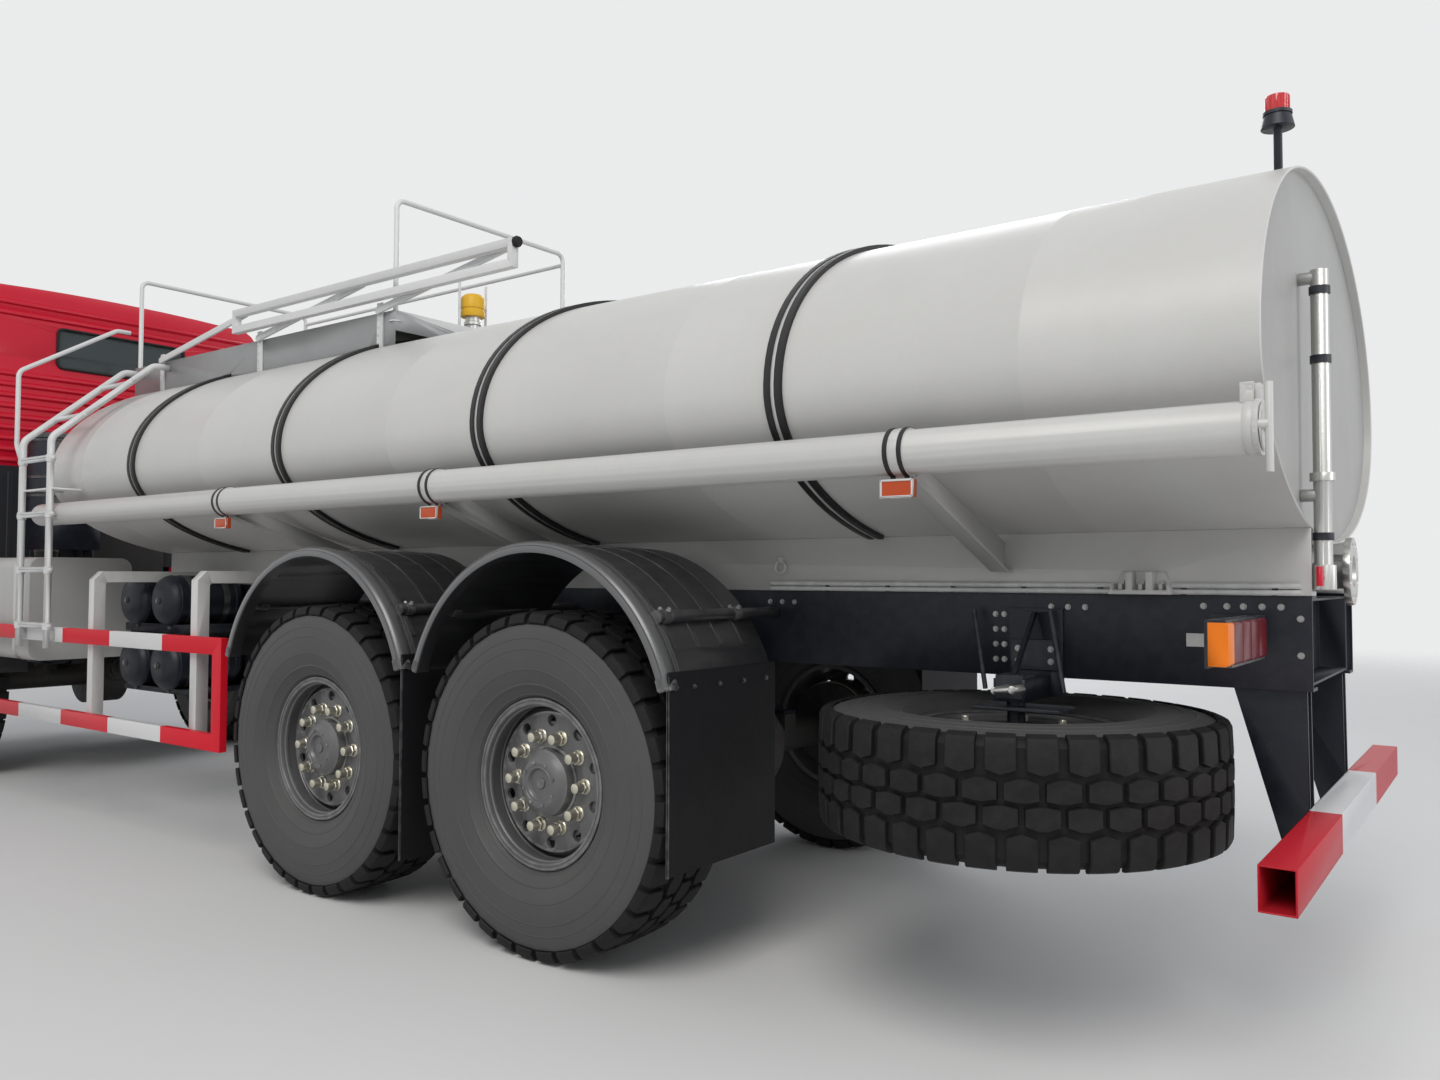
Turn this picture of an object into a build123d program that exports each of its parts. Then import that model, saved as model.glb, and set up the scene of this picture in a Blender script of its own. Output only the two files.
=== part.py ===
from build123d import *
import math
import os

os.makedirs("parts", exist_ok=True)

# Six-wheel-drive tanker truck, in millimetres.
# X runs forward, Y to the left and Z up. The tyres stand on Z = 0.
# The origin lies on the ground under the middle of the overall length.

# Axle places and overhangs
FRONT_OVERHANG = 1440.0
WHEELBASE = 4600.0
BOGIE_SPREAD = 1350.0
REAR_OVERHANG = 2430.0
OVERALL_LENGTH = FRONT_OVERHANG + WHEELBASE + BOGIE_SPREAD + REAR_OVERHANG
AXLE_3_X = REAR_OVERHANG - OVERALL_LENGTH / 2
AXLE_2_X = AXLE_3_X + BOGIE_SPREAD
AXLE_1_X = AXLE_2_X + WHEELBASE
FRONT_X = AXLE_1_X + FRONT_OVERHANG
REAR_X = AXLE_3_X - REAR_OVERHANG

# General clearances
SEAT_GAP = 0.3
RUNNING_GAP = 0.08
MOVING_GAP = 6.0

# Wheels: tyre, rim, hub and studs
TYRE_RADIUS = 620.0
TYRE_WIDTH = 375.0
TYRE_BEAD_RADIUS = 292.0
TYRE_SHOULDER_RADIUS = 604.0
WHEEL_CENTRE_Y = 1020.0
RIM_WIDTH = 270.0
RIM_FLANGE_RADIUS = 304.0
RIM_WALL = 12.0
RIM_DISC_THICKNESS = 16.0
RIM_DISC_OFFSET = 72.0
HAND_HOLE_COUNT = 10
HAND_HOLE_RADIUS = 21.0
HAND_HOLE_PCD = 440.0
STUD_COUNT = 10
STUD_PCD = 335.0
STUD_NUT_RADIUS = 18.0
STUD_NUT_LENGTH = 44.0
HUB_CAP_RADIUS = 118.0
HUB_CAP_LENGTH = 62.0
DRUM_RADIUS = 215.0
DRUM_LENGTH = 190.0
SPINDLE_RADIUS = 50.0
LUG_COUNT = 24
LUG_SLOT_WIDTH = 34.0
LUG_SLOT_DEPTH = 22.0
LUG_SLOT_REACH = 74.0

# Frame rails and crossmembers
RAIL_OUTER_Y = 430.0
RAIL_FLANGE = 80.0
RAIL_WALL = 9.0
RAIL_BOTTOM_Z = 1038.0
RAIL_DEPTH = 273.0
RAIL_TOP_Z = RAIL_BOTTOM_Z + RAIL_DEPTH
RAIL_REAR_X = AXLE_3_X - 2365.0
RAIL_FRONT_X = AXLE_1_X + 1280.0
CROSSMEMBER_WALL = 8.0
CROSSMEMBER_WIDTH = 90.0

# Tank shell: two half ellipses on one widest line
TANK_HALF_WIDTH = 1120.0
TANK_WAIST_Z = 1950.0
TANK_UPPER_HEIGHT = 650.0
TANK_LOWER_HEIGHT = 480.0
TANK_REAR_X = AXLE_3_X - 2365.0
TANK_LENGTH = 6475.0
TANK_FRONT_X = TANK_REAR_X + TANK_LENGTH
TANK_HEAD_DEPTH = 240.0
TANK_RIM_DEPTH = 28.0
TANK_RIM_WALL = 7.0
TANK_TOP_Z = TANK_WAIST_Z + TANK_UPPER_HEIGHT
TANK_BOTTOM_Z = TANK_WAIST_Z - TANK_LOWER_HEIGHT
BAND_WIDTH = 80.0
BAND_THICKNESS = 9.0
BAND_RIB_WIDTH = 26.0
BAND_RIB_HEIGHT = 7.0
BAND_X = [AXLE_3_X + offset for offset in (-985.0, 385.0, 1755.0, 3130.0)]

# Cradle between tank and rails
CRADLE_OUTER_Y = 432.0
CRADLE_WALL = 12.0
CRADLE_TOP_Z = 1640.0
CRADLE_WEB_COUNT = 6
CRADLE_FIRST_WEB = 340.0
FOOT_X = AXLE_3_X - 1903.0
FOOT_LENGTH = 190.0

# Hose tube along the left and right of the tank
TUBE_RADIUS = 63.0
TUBE_WALL = 4.0
TUBE_Y = 1165.0
TUBE_Z = 1712.0
TUBE_REAR_X = AXLE_3_X - 2362.0
TUBE_FRONT_X = AXLE_3_X + 4088.0
TUBE_STRAP_WIDTH = 60.0
TUBE_STRAP_THICKNESS = 6.0
TUBE_BRACKET_X = [AXLE_3_X + offset for offset in (-1450.0, 570.0, 2085.0)]
TUBE_BRACKET_THICKNESS = 8.0
CAP_HINGE_Z = TUBE_Z + TUBE_RADIUS + 26.0
MARKER_Z = TUBE_Z - TUBE_RADIUS - TUBE_STRAP_THICKNESS - 34.0
MARKER_OFFSET = 14.0

# Walkway, fixed rail frame and ladder on the tank
WALK_REAR_X = AXLE_3_X + 1600.0
WALK_FRONT_X = AXLE_3_X + 4220.0
WALK_HALF_WIDTH = 600.0
WALK_PLATE = 5.0
WALK_DECK_Z = TANK_TOP_Z + 12.0
KICK_PLATE_HEIGHT = 60.0
HOOP_TOP_Z = TANK_TOP_Z + 630.0
HOOP_TUBE_RADIUS = 13.0
POST_SIZE = 44.0
GUARD_POST_X = [AXLE_3_X + offset for offset in (1709.0, 2786.0, 3864.0)]
GUARD_POST_Y = 640.0
GUARD_PIVOT_Z = TANK_TOP_Z + 80.0
GUARD_LEG_LENGTH = 963.0
GUARD_LEG_LEAN = 9.1
GUARD_LEG_WIDTH = 34.0
GUARD_LEG_THICKNESS = 12.0
GUARD_BAR_SIZE = 38.0
GUARD_BAR_RISE = 92.0
GUARD_PIN_RADIUS = 9.0
LEG_Y = GUARD_POST_Y - POST_SIZE + 12 + 3
OPEN_PIN_SLACK = 1.0
LADDER_REAR_X = AXLE_3_X + 3798.0
LADDER_FRONT_X = AXLE_3_X + 4165.0
LADDER_RAIL_RADIUS = 19.0
LADDER_TUBE_GAP = 4.0
LADDER_Y = TUBE_Y + TUBE_RADIUS + LADDER_TUBE_GAP + LADDER_RAIL_RADIUS
LADDER_BOTTOM_Z = 956.0
LADDER_BEND_Z = 2139.0
LADDER_TOP_Z = TANK_TOP_Z + 28.0
LADDER_TOP_Y = 690.0
LADDER_RUNG_RADIUS = 13.0
LADDER_FIRST_RUNG_Z = 1077.0
LADDER_RUNG_PITCH = 314.0
LADDER_RUNG_COUNT = 4
LADDER_STAY_Z = 1850.0
HANDRAIL_BOTTOM_Z = 2000.0
HANDRAIL_TOP_Z = TANK_TOP_Z + 300.0
HANDRAIL_OFFSET = 90.0

# Manhole and vent
MANHOLE_X = AXLE_3_X + 2380.0
MANHOLE_RADIUS = 250.0
MANHOLE_HEIGHT = 120.0
MANHOLE_WALL = 10.0
MANHOLE_LID_THICKNESS = 14.0
MANHOLE_LID_OVERHANG = 25.0
MANHOLE_HINGE_OFFSET = 48.0
VENT_X = AXLE_3_X + 1655.0
VENT_Y = 60.0
VENT_STUB_RADIUS = 34.0
VENT_CAP_RADIUS = 62.0
VENT_CAP_HEIGHT = 120.0
VENT_HEIGHT = 265.0
VENT_TOP_Z = TANK_TOP_Z + VENT_HEIGHT
LID_HINGE_X = MANHOLE_X + MANHOLE_RADIUS + MANHOLE_HINGE_OFFSET
LID_HINGE_Z = TANK_TOP_Z + MANHOLE_HEIGHT + 12.0
LID_PIN_RADIUS = 10.0

# Level pipe and discharge outlet at the tank's rear
PIPE_X = TANK_REAR_X - 27.0
PIPE_Y = 400.0
PIPE_BOTTOM_Z = 1352.0
PIPE_TOP_Z = 2250.0
PIPE_RADIUS = 24.0
PIPE_ELBOW_Z = (1600.0, 2230.0)
PIPE_COLLAR_Z = (1640.0, 1664.0)
PIPE_VALVE_Z = (1330.0, 1400.0)
OUTLET_X = TANK_REAR_X - 40.0
OUTLET_LENGTH = 200.0
OUTLET_Y = -150.0
OUTLET_Z = 1385.0
OUTLET_RADIUS = 50.0
OUTLET_WALL = 6.0
FLANGE_RADIUS = 110.0
FLANGE_THICKNESS = 20.0
FLANGE_PCD = 180.0
FLANGE_BOLT_RADIUS = 9.0
FLANGE_BOLT_COUNT = 8

# Side guards
GUARD_REAR_X = AXLE_3_X + 2035.0
GUARD_FRONT_X = AXLE_3_X + 4785.0
GUARD_OUTER_Y = 1216.0
GUARD_RAIL_HEIGHT = 79.0
GUARD_RAIL_DEPTH = 34.0
GUARD_UPPER_Z = 1031.0
GUARD_LOWER_Z = 580.0
GUARD_UPRIGHT_X = [AXLE_3_X + offset for offset in (2347.0, 3426.0)]
GUARD_UPRIGHT_SIZE = 60.0
GUARD_UPRIGHT_BEND_Z = 1385.0

# Rear bumper and its plates
BUMPER_HEIGHT = 110.0
BUMPER_DEPTH = 84.0
BUMPER_TOP_Z = 700.0
BUMPER_HALF_WIDTH = 1150.0
BUMPER_PLATE_Y = [330.0, 395.0]
BUMPER_PLATE_THICKNESS = 12.0

# Rear lamps
LAMP_FACE_X = AXLE_3_X - 2262.0
LAMP_DEPTH = 62.0
LAMP_INNER_Y = 520.0
LAMP_OUTER_Y = 1010.0
LAMP_BOTTOM_Z = 1140.0
LAMP_TOP_Z = 1250.0
MARKER_LENGTH = 100.0
MARKER_HEIGHT = 50.0
MARKER_DEPTH = 24.0
LAMP_AMBER_WIDTH = 70.0
LAMP_BACK_WALL = 14.0
LAMP_HOOD = 6.0
BEACON_X = AXLE_3_X - 2290.0
BEACON_Y = 400.0
BEACON_STEM_Z = 2440.0
BEACON_BELL_Z = 2690.0
BEACON_BELL_HEIGHT = 44.0

# Mudguards over the rear wheels
MUDGUARD_RADIUS = 662.0
MUDGUARD_CENTRE_Z = 812.0
MUDGUARD_INNER_Y = 600.0
MUDGUARD_OUTER_Y = 1222.0
MUDGUARD_WALL = 5.0
MUDGUARD_LIP = 26.0
MUDGUARD_START = 16.0
MUDGUARD_END = 164.0
MUDGUARD_BAR_RADIUS = 21.0
MUDGUARD_BAR_ANGLES = (38.0, 142.0)
MUDGUARD_LIP_WIDTH = 62.0
MUDGUARD_LIP_ROUND = 11.0
MUDGUARD_RIB_Y = (720.0, 850.0, 980.0, 1110.0)
MUDGUARD_RIB_WIDTH = 16.0
MUDGUARD_RIB_HEIGHT = 4.0
MUDGUARD_RIB_SETBACK = 12.0
FLAP_THICKNESS = 8.0
FLAP_BOTTOM_Z = [400.0, 250.0]

# Air reservoirs and boxes on the frame sides
RESERVOIR_RADIUS = 140.0
RESERVOIR_INNER_Y = 455.0
RESERVOIR_OUTER_Y = 905.0
RESERVOIR_DOME = 55.0
RESERVOIR_X = (AXLE_3_X + 3250.0, AXLE_3_X + 3610.0)
RESERVOIR_Z = (865.0, 1222.0)
SHELF_X = (AXLE_3_X + 3100.0, AXLE_3_X + 3760.0)
SHELF_OUTER_Y = 840.0
FUEL_REAR_X = AXLE_3_X + 4293.0
FUEL_LENGTH = 885.0
FUEL_INNER_Y = 560.0
FUEL_OUTER_Y = 1150.0
FUEL_BOTTOM_Z = 853.0
FUEL_TOP_Z = 1471.0
FUEL_CORNER = 70.0
BATTERY_REAR_X = AXLE_3_X + 4330.0
BATTERY_LENGTH = 640.0

# Spare wheel under the left rail
SPARE_X = AXLE_3_X - 1561.0
SPARE_Y = 613.0
SPARE_Z = 772.0

# Axles, springs and drive line
AXLE_TUBE_RADIUS = 80.0
AXLE_TUBE_END_Y = 760.0
DIFF_RADIUS = 215.0
DIFF_WIDTH = 240.0
SPRING_Y = 385.0
SPRING_LEAF_WIDTH = 90.0
SPRING_LEAF_THICKNESS = 16.0
SPRING_LEAF_COUNT = 9
KINGPIN_Y = 815.0
KINGPIN_RADIUS = 30.0
KINGPIN_HALF_HEIGHT = 150.0
SHAFT_RADIUS = 55.0
PINION_Z = TYRE_RADIUS + 60.0
PINION_LENGTH = 330.0
PINION_RADIUS = 95.0
FRONT_SPRING_SEAT_Z = TYRE_RADIUS + AXLE_TUBE_RADIUS + 24.0
REAR_SPRING_SEAT_Z = TYRE_RADIUS + AXLE_TUBE_RADIUS + 24.0
REAR_SPRING_HALF = BOGIE_SPREAD / 2 + 70.0
FRONT_SPRING_HALF = 720.0
TRUNNION_X = (AXLE_2_X + AXLE_3_X) / 2
CASE_X = AXLE_1_X - 1500.0
CASE_HALF_LENGTH = 220.0
CASE_SHAFT_Z = 850.0
GEARBOX_REAR_X = AXLE_1_X - 900.0
GEARBOX_FRONT_X = AXLE_1_X - 330.0
GEARBOX_SHAFT_Z = 1130.0
DRUM_INNER_Y = WHEEL_CENTRE_Y + RIM_DISC_OFFSET - RIM_DISC_THICKNESS - DRUM_LENGTH
SPINDLE_END_Y = DRUM_INNER_Y + DRUM_LENGTH - 40.0

# Cab
CAB_REAR_X = AXLE_1_X - 265.0
CAB_FRONT_X = AXLE_1_X + 1400.0
CAB_BOTTOM_Z = 1390.0
CAB_FRONT_BOTTOM_Z = 1300.0
CAB_BELT_Z = 2260.0
CAB_TOP_Z = 3435.0
ROOF_SAG = 55.0
CAB_HALF_WIDTH = 1200.0
CAB_ROOF_HALF_WIDTH = CAB_HALF_WIDTH - 90.0
CAB_ROOF_EDGE_Z = CAB_TOP_Z - 175.0
CAB_SCREEN_TOP_X = AXLE_1_X + 1205.0
CAB_CORNER = 150.0
CAB_WALL = 45.0
CAB_ROOF_SPLIT_Z = CAB_ROOF_EDGE_Z - 35.0
DOOR_GAP = 10.0
DOOR_REAR_X = AXLE_1_X + 60.0
DOOR_FRONT_X = AXLE_1_X + 1095.0
DOOR_BOTTOM_Z = 1480.0
DOOR_TOP_Z = CAB_ROOF_EDGE_Z - 80.0
DOOR_WINDOW_INSET = 85.0
HINGE_RADIUS = 12.0
HINGE_LENGTH = 90.0
HINGE_X = DOOR_FRONT_X + 24.0
HINGE_Y = CAB_HALF_WIDTH + 14.0
HINGE_Z = (CAB_BELT_Z - 560.0, CAB_BELT_Z - 110.0)
REAR_WINDOW_WIDTH = 920.0
REAR_WINDOW_TOP_Z = CAB_ROOF_EDGE_Z - 110.0
REAR_WINDOW_BOTTOM_Z = REAR_WINDOW_TOP_Z - 285.0
SCREEN_BOTTOM_Z = CAB_BELT_Z + 130.0
SCREEN_TOP_Z = CAB_ROOF_EDGE_Z - 130.0
SCREEN_HALF_WIDTH = CAB_HALF_WIDTH - 190.0
GLASS_THICKNESS = 6.0
TILT_PIVOT_X = AXLE_1_X + 1225.0
TILT_PIVOT_Z = 1240.0
TILT_PIN_RADIUS = 20.0
ENGINE_LENGTH = 1450.0
ENGINE_WIDTH = 700.0
ENGINE_BOTTOM_Z = 880.0
ENGINE_TOP_Z = 1760.0
DASH_HALF_WIDTH = CAB_HALF_WIDTH - 200.0
SEAT_Y = CAB_HALF_WIDTH - 500.0
GRILLE_HALF_WIDTH = CAB_HALF_WIDTH - 380.0
GRILLE_BOTTOM_Z = 1420.0
GRILLE_TOP_Z = 1980.0
GRILLE_FRAME = 30.0
GRILLE_DEPTH = 22.0
GRILLE_SLAT_COUNT = 10
GRILLE_SLAT_HEIGHT = 26.0
GRILLE_POST_Y = (-395.0, 0.0, 395.0)
MIRROR_ARM_Z = CAB_BELT_Z - 55.0
MIRROR_TOP_Z = CAB_BELT_Z + 780.0
MIRROR_HEAD_Z = (CAB_BELT_Z + 220.0, CAB_BELT_Z + 670.0)

# Front bumper, tow eyes, headlamps, arches and steps
FRONT_BUMPER_LOW_Z = 560.0
FRONT_BUMPER_HIGH_Z = 1090.0
FRONT_BUMPER_HALF_WIDTH = CAB_HALF_WIDTH + 25.0
FRONT_BUMPER_FACE_HALF = CAB_HALF_WIDTH - 200.0
FRONT_BUMPER_RETURN = 400.0
FRONT_BUMPER_WALL = 30.0
BUMPER_BRACKET_Z = FRONT_BUMPER_LOW_Z + 330.0
TOW_EYE_WIDTH = 90.0
TOW_EYE_THICKNESS = 30.0
TOW_EYE_RADIUS = 20.0
TOW_EYE_Z = 525.0
LAMP_HOLE_LOW = 640.0
LAMP_HOLE_HIGH = 900.0
LAMP_HOLE_Z = (760.0, 960.0)
LAMP_HOLE_DEPTH = 36.0
ARCH_RADIUS = 740.0
ARCH_WALL = 6.0
ARCH_START = 8.0
ARCH_END = 172.0
ARCH_INNER_Y = 790.0
ARCH_OUTER_Y = CAB_HALF_WIDTH + 15.0
STEP_OUTER_Y = CAB_HALF_WIDTH + 10.0
STEP_FRONT_X = FRONT_X - 420.0
STEP_REAR_X = AXLE_1_X + 760.0
STEP_LOWER_Z = (560.0, 600.0)
STEP_UPPER_Z = (900.0, 930.0)

# Air cleaner and muffler
CANISTER_X = CAB_REAR_X - 330.0
CANISTER_Y = 560.0
CANISTER_RADIUS = 200.0
CANISTER_Z = (1760.0, 2330.0)
MUFFLER_X = AXLE_3_X + 3560.0
MUFFLER_Y = (-1100.0, -600.0)
MUFFLER_Z = 1000.0
MUFFLER_RADIUS = 190.0


def span(x, y, z):
    """A block between two corners; x, y and z are (low, high) pairs."""
    size = Box(x[1] - x[0], y[1] - y[0], z[1] - z[0])
    return Pos((x[0] + x[1]) / 2, (y[0] + y[1]) / 2, (z[0] + z[1]) / 2) * size


def rod(start, end, radius):
    """A round bar between two points."""
    along = Vector(*end) - Vector(*start)
    plane = Plane(origin=start, z_dir=along)
    return plane * Cylinder(radius, along.length, align=(Align.CENTER, Align.CENTER, Align.MIN))


def bent_rod(points, radius, bend):
    """A round bar along straight runs joined by arcs."""
    path = FilletPolyline(*points, radius=bend)
    plane = Plane(origin=path @ 0, z_dir=path % 0)
    return sweep(plane * Circle(radius), path=path)


def side_profile(points, y_low, y_high):
    """A plate cut to an outline of (X, Z) points and spanning two Y values."""
    plane = Plane(origin=(0, y_high, 0), x_dir=(1, 0, 0), z_dir=(0, -1, 0))
    return extrude(plane * make_face(Polyline(*points, close=True)), amount=y_high - y_low)


def end_profile(points, x_low, x_high):
    """A plate cut to an outline of (Y, Z) points and spanning two X values."""
    plane = Plane(origin=(x_low, 0, 0), x_dir=(0, 1, 0), z_dir=(1, 0, 0))
    return extrude(plane * make_face(Polyline(*points, close=True)), amount=x_high - x_low)


def plan_profile(points, z_low, z_high):
    """A plate cut to an outline of (X, Y) points and spanning two Z values."""
    return extrude(Pos(0, 0, z_low) * make_face(Polyline(*points, close=True)), amount=z_high - z_low)


def mirrored(shape):
    return mirror(shape, about=Plane.XZ)


def both_sides(shapes):
    return shapes + [mirrored(shape) for shape in shapes]


def joined(shapes):
    return shapes[0] + shapes[1:] if len(shapes) > 1 else shapes[0]


def save(node, shapes):
    solids = [solid for shape in shapes for solid in shape.solids()]
    model = solids[0] if len(solids) == 1 else Compound(solids)
    export_step(model, f"parts/{node}.step")


# Wheels


def tyre_model():
    """A tyre about the Y axis with a row of open slots across each shoulder, which leaves the lugs."""
    half = TYRE_WIDTH / 2
    bead = RIM_WIDTH / 2 - RIM_WALL - SEAT_GAP
    seat = TYRE_BEAD_RADIUS + SEAT_GAP
    heel = RIM_FLANGE_RADIUS + 2
    side = (TYRE_SHOULDER_RADIUS - 26, half - 14)
    edge = (TYRE_SHOULDER_RADIUS, half - 32)
    outline = [
        Line((seat, -bead), (seat, bead)),
        Line((seat, bead), (heel, bead)),
        ThreePointArc((heel, bead), (TYRE_RADIUS - 170, half), side),
        Line(side, edge),
        ThreePointArc(edge, (TYRE_RADIUS, 0), (edge[0], -edge[1])),
        Line((edge[0], -edge[1]), (side[0], -side[1])),
        ThreePointArc((side[0], -side[1]), (TYRE_RADIUS - 170, -half), (heel, -bead)),
        Line((heel, -bead), (seat, -bead)),
    ]
    ring = revolve(make_face(outline), axis=Axis.Y)
    floor = TYRE_SHOULDER_RADIUS - LUG_SLOT_DEPTH
    slots = []
    for index in range(LUG_COUNT):
        for end in (-1, 1):
            middle = end * (half + 1 - LUG_SLOT_REACH / 2)
            slot = Box(LUG_SLOT_DEPTH * 2 + 40, LUG_SLOT_REACH, LUG_SLOT_WIDTH,
                       align=(Align.MIN, Align.CENTER, Align.CENTER))
            turn = 360 / LUG_COUNT * (index + 0.25 * (1 + end))
            slots.append(Rot(0, turn, 0) * Pos(floor, middle, 0) * slot)
    return ring - slots


TYRE_MODEL = tyre_model()


def tyre(centre_x, side):
    """The tyre at one wheel; side is +1 on the left and -1 on the right."""
    return Pos(centre_x, side * WHEEL_CENTRE_Y, TYRE_RADIUS) * TYRE_MODEL


def rim(with_hub):
    """A wheel disc and rim about the Y axis, outer face towards +Y; with_hub adds hub, drum and nuts."""
    half = RIM_WIDTH / 2
    inner = TYRE_BEAD_RADIUS - RIM_WALL
    flange = half - RIM_WALL
    barrel_points = [
        (inner, -half), (RIM_FLANGE_RADIUS, -half), (RIM_FLANGE_RADIUS, -flange),
        (TYRE_BEAD_RADIUS, -flange), (TYRE_BEAD_RADIUS, flange), (RIM_FLANGE_RADIUS, flange),
        (RIM_FLANGE_RADIUS, half), (inner, half),
    ]
    wheel = revolve(make_face(Polyline(*barrel_points, close=True)), axis=Axis.Y)
    disc_low = RIM_DISC_OFFSET - RIM_DISC_THICKNESS
    dish_radius = HAND_HOLE_PCD / 2 + HAND_HOLE_RADIUS + 12
    dish_drop = 46.0
    disc_points = [
        (0, disc_low), (dish_radius, disc_low), (inner + 2, disc_low - dish_drop),
        (inner + 2, RIM_DISC_OFFSET - dish_drop), (dish_radius, RIM_DISC_OFFSET), (0, RIM_DISC_OFFSET),
    ]
    wheel += revolve(make_face(Polyline(*disc_points, close=True)), axis=Axis.Y)
    across = Rot(90, 0, 0)
    for index in range(HAND_HOLE_COUNT):
        angle = 360 / HAND_HOLE_COUNT * (index + 0.5)
        place = Rot(0, angle, 0) * Pos(HAND_HOLE_PCD / 2, disc_low, 0) * across
        wheel -= place * Cylinder(HAND_HOLE_RADIUS, 4 * RIM_DISC_THICKNESS)
    if not with_hub:
        wheel -= across * Cylinder(HUB_CAP_RADIUS + 14, 4 * RIM_WIDTH)
        return wheel
    cap_points = [
        (0, RIM_DISC_OFFSET - 2), (HUB_CAP_RADIUS, RIM_DISC_OFFSET - 2),
        (HUB_CAP_RADIUS, RIM_DISC_OFFSET + HUB_CAP_LENGTH * 0.6),
        (HUB_CAP_RADIUS - 16, RIM_DISC_OFFSET + HUB_CAP_LENGTH * 0.8),
        (HUB_CAP_RADIUS - 34, RIM_DISC_OFFSET + HUB_CAP_LENGTH), (56, RIM_DISC_OFFSET + HUB_CAP_LENGTH),
        (50, RIM_DISC_OFFSET + HUB_CAP_LENGTH - 12), (0, RIM_DISC_OFFSET + HUB_CAP_LENGTH - 12),
    ]
    wheel += revolve(make_face(Polyline(*cap_points, close=True)), axis=Axis.Y)
    drum_low = disc_low - DRUM_LENGTH
    wheel += Pos(0, disc_low - DRUM_LENGTH / 2 + 1, 0) * across * Cylinder(DRUM_RADIUS, DRUM_LENGTH + 2)
    nuts = []
    for index in range(STUD_COUNT):
        place = Rot(0, 360 / STUD_COUNT * index, 0) * Pos(STUD_PCD / 2, RIM_DISC_OFFSET, 0)
        nut = extrude(RegularPolygon(STUD_NUT_RADIUS, 6), amount=STUD_NUT_LENGTH + 2)
        nuts.append(place * Pos(0, -2, 0) * Rot(-90, 0, 0) * nut)
    wheel += nuts
    bore_depth = DRUM_LENGTH - 30
    bore = across * Cylinder(SPINDLE_RADIUS + RUNNING_GAP, bore_depth)
    return wheel - Pos(0, drum_low + bore_depth / 2, 0) * bore


WHEEL_MODEL = rim(with_hub=True)
def wheel_hub(centre_x, side):
    placed = Pos(centre_x, WHEEL_CENTRE_Y, TYRE_RADIUS) * WHEEL_MODEL
    return placed if side > 0 else mirrored(placed)


# Axles, knuckles, springs and drive line


def differential(centre_x, nose):
    """Axle housing with its drive head; nose is +1 when the pinion points forward."""
    bowl = Pos(centre_x, 0, TYRE_RADIUS) * Rot(90, 0, 0) * Cylinder(DIFF_RADIUS, DIFF_WIDTH)
    head = rod((centre_x, 0, PINION_Z), (centre_x + nose * PINION_LENGTH, 0, PINION_Z), PINION_RADIUS)
    return [bowl, head]


def rear_axle(centre_x):
    """Live axle with its spindles, back plates and spring pads."""
    tube = rod((centre_x, -AXLE_TUBE_END_Y, TYRE_RADIUS), (centre_x, AXLE_TUBE_END_Y, TYRE_RADIUS),
               AXLE_TUBE_RADIUS)
    spindle = rod((centre_x, -SPINDLE_END_Y, TYRE_RADIUS), (centre_x, SPINDLE_END_Y, TYRE_RADIUS),
                  SPINDLE_RADIUS)
    back_plate = rod((centre_x, DRUM_INNER_Y - MOVING_GAP - 14, TYRE_RADIUS),
                     (centre_x, DRUM_INNER_Y - MOVING_GAP, TYRE_RADIUS), DRUM_RADIUS - 6)
    pads = both_sides([span((centre_x - 75, centre_x + 75),
                            (SPRING_Y - SPRING_LEAF_WIDTH / 2, SPRING_Y + SPRING_LEAF_WIDTH / 2),
                            (TYRE_RADIUS, REAR_SPRING_SEAT_Z))])
    return joined([tube, spindle] + both_sides([back_plate]) + pads + differential(centre_x, 1))


def front_axle():
    """Steered axle with the jaws that hold the king pins."""
    end_y = KINGPIN_Y - 95
    tube = rod((AXLE_1_X, -end_y, TYRE_RADIUS), (AXLE_1_X, end_y, TYRE_RADIUS), AXLE_TUBE_RADIUS)
    jaw_top = KINGPIN_HALF_HEIGHT + 34
    jaw = span((AXLE_1_X - 55, AXLE_1_X + 55), (end_y - 40, end_y),
               (TYRE_RADIUS - jaw_top, TYRE_RADIUS + jaw_top))
    arms = []
    for level in (-1, 1):
        low = TYRE_RADIUS + level * KINGPIN_HALF_HEIGHT
        high = TYRE_RADIUS + level * jaw_top
        arm = span((AXLE_1_X - 45, AXLE_1_X + 45), (end_y - 1, KINGPIN_Y + 42),
                   (min(low, high), max(low, high)))
        bore = Cylinder(KINGPIN_RADIUS + RUNNING_GAP, 2 * jaw_top)
        arms.append(arm - Pos(AXLE_1_X, KINGPIN_Y, (low + high) / 2) * bore)
    pads = both_sides([span((AXLE_1_X - 75, AXLE_1_X + 75),
                            (SPRING_Y - SPRING_LEAF_WIDTH / 2, SPRING_Y + SPRING_LEAF_WIDTH / 2),
                            (TYRE_RADIUS, FRONT_SPRING_SEAT_Z))])
    return joined([tube] + both_sides([jaw] + arms) + pads + differential(AXLE_1_X, -1))


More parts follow.
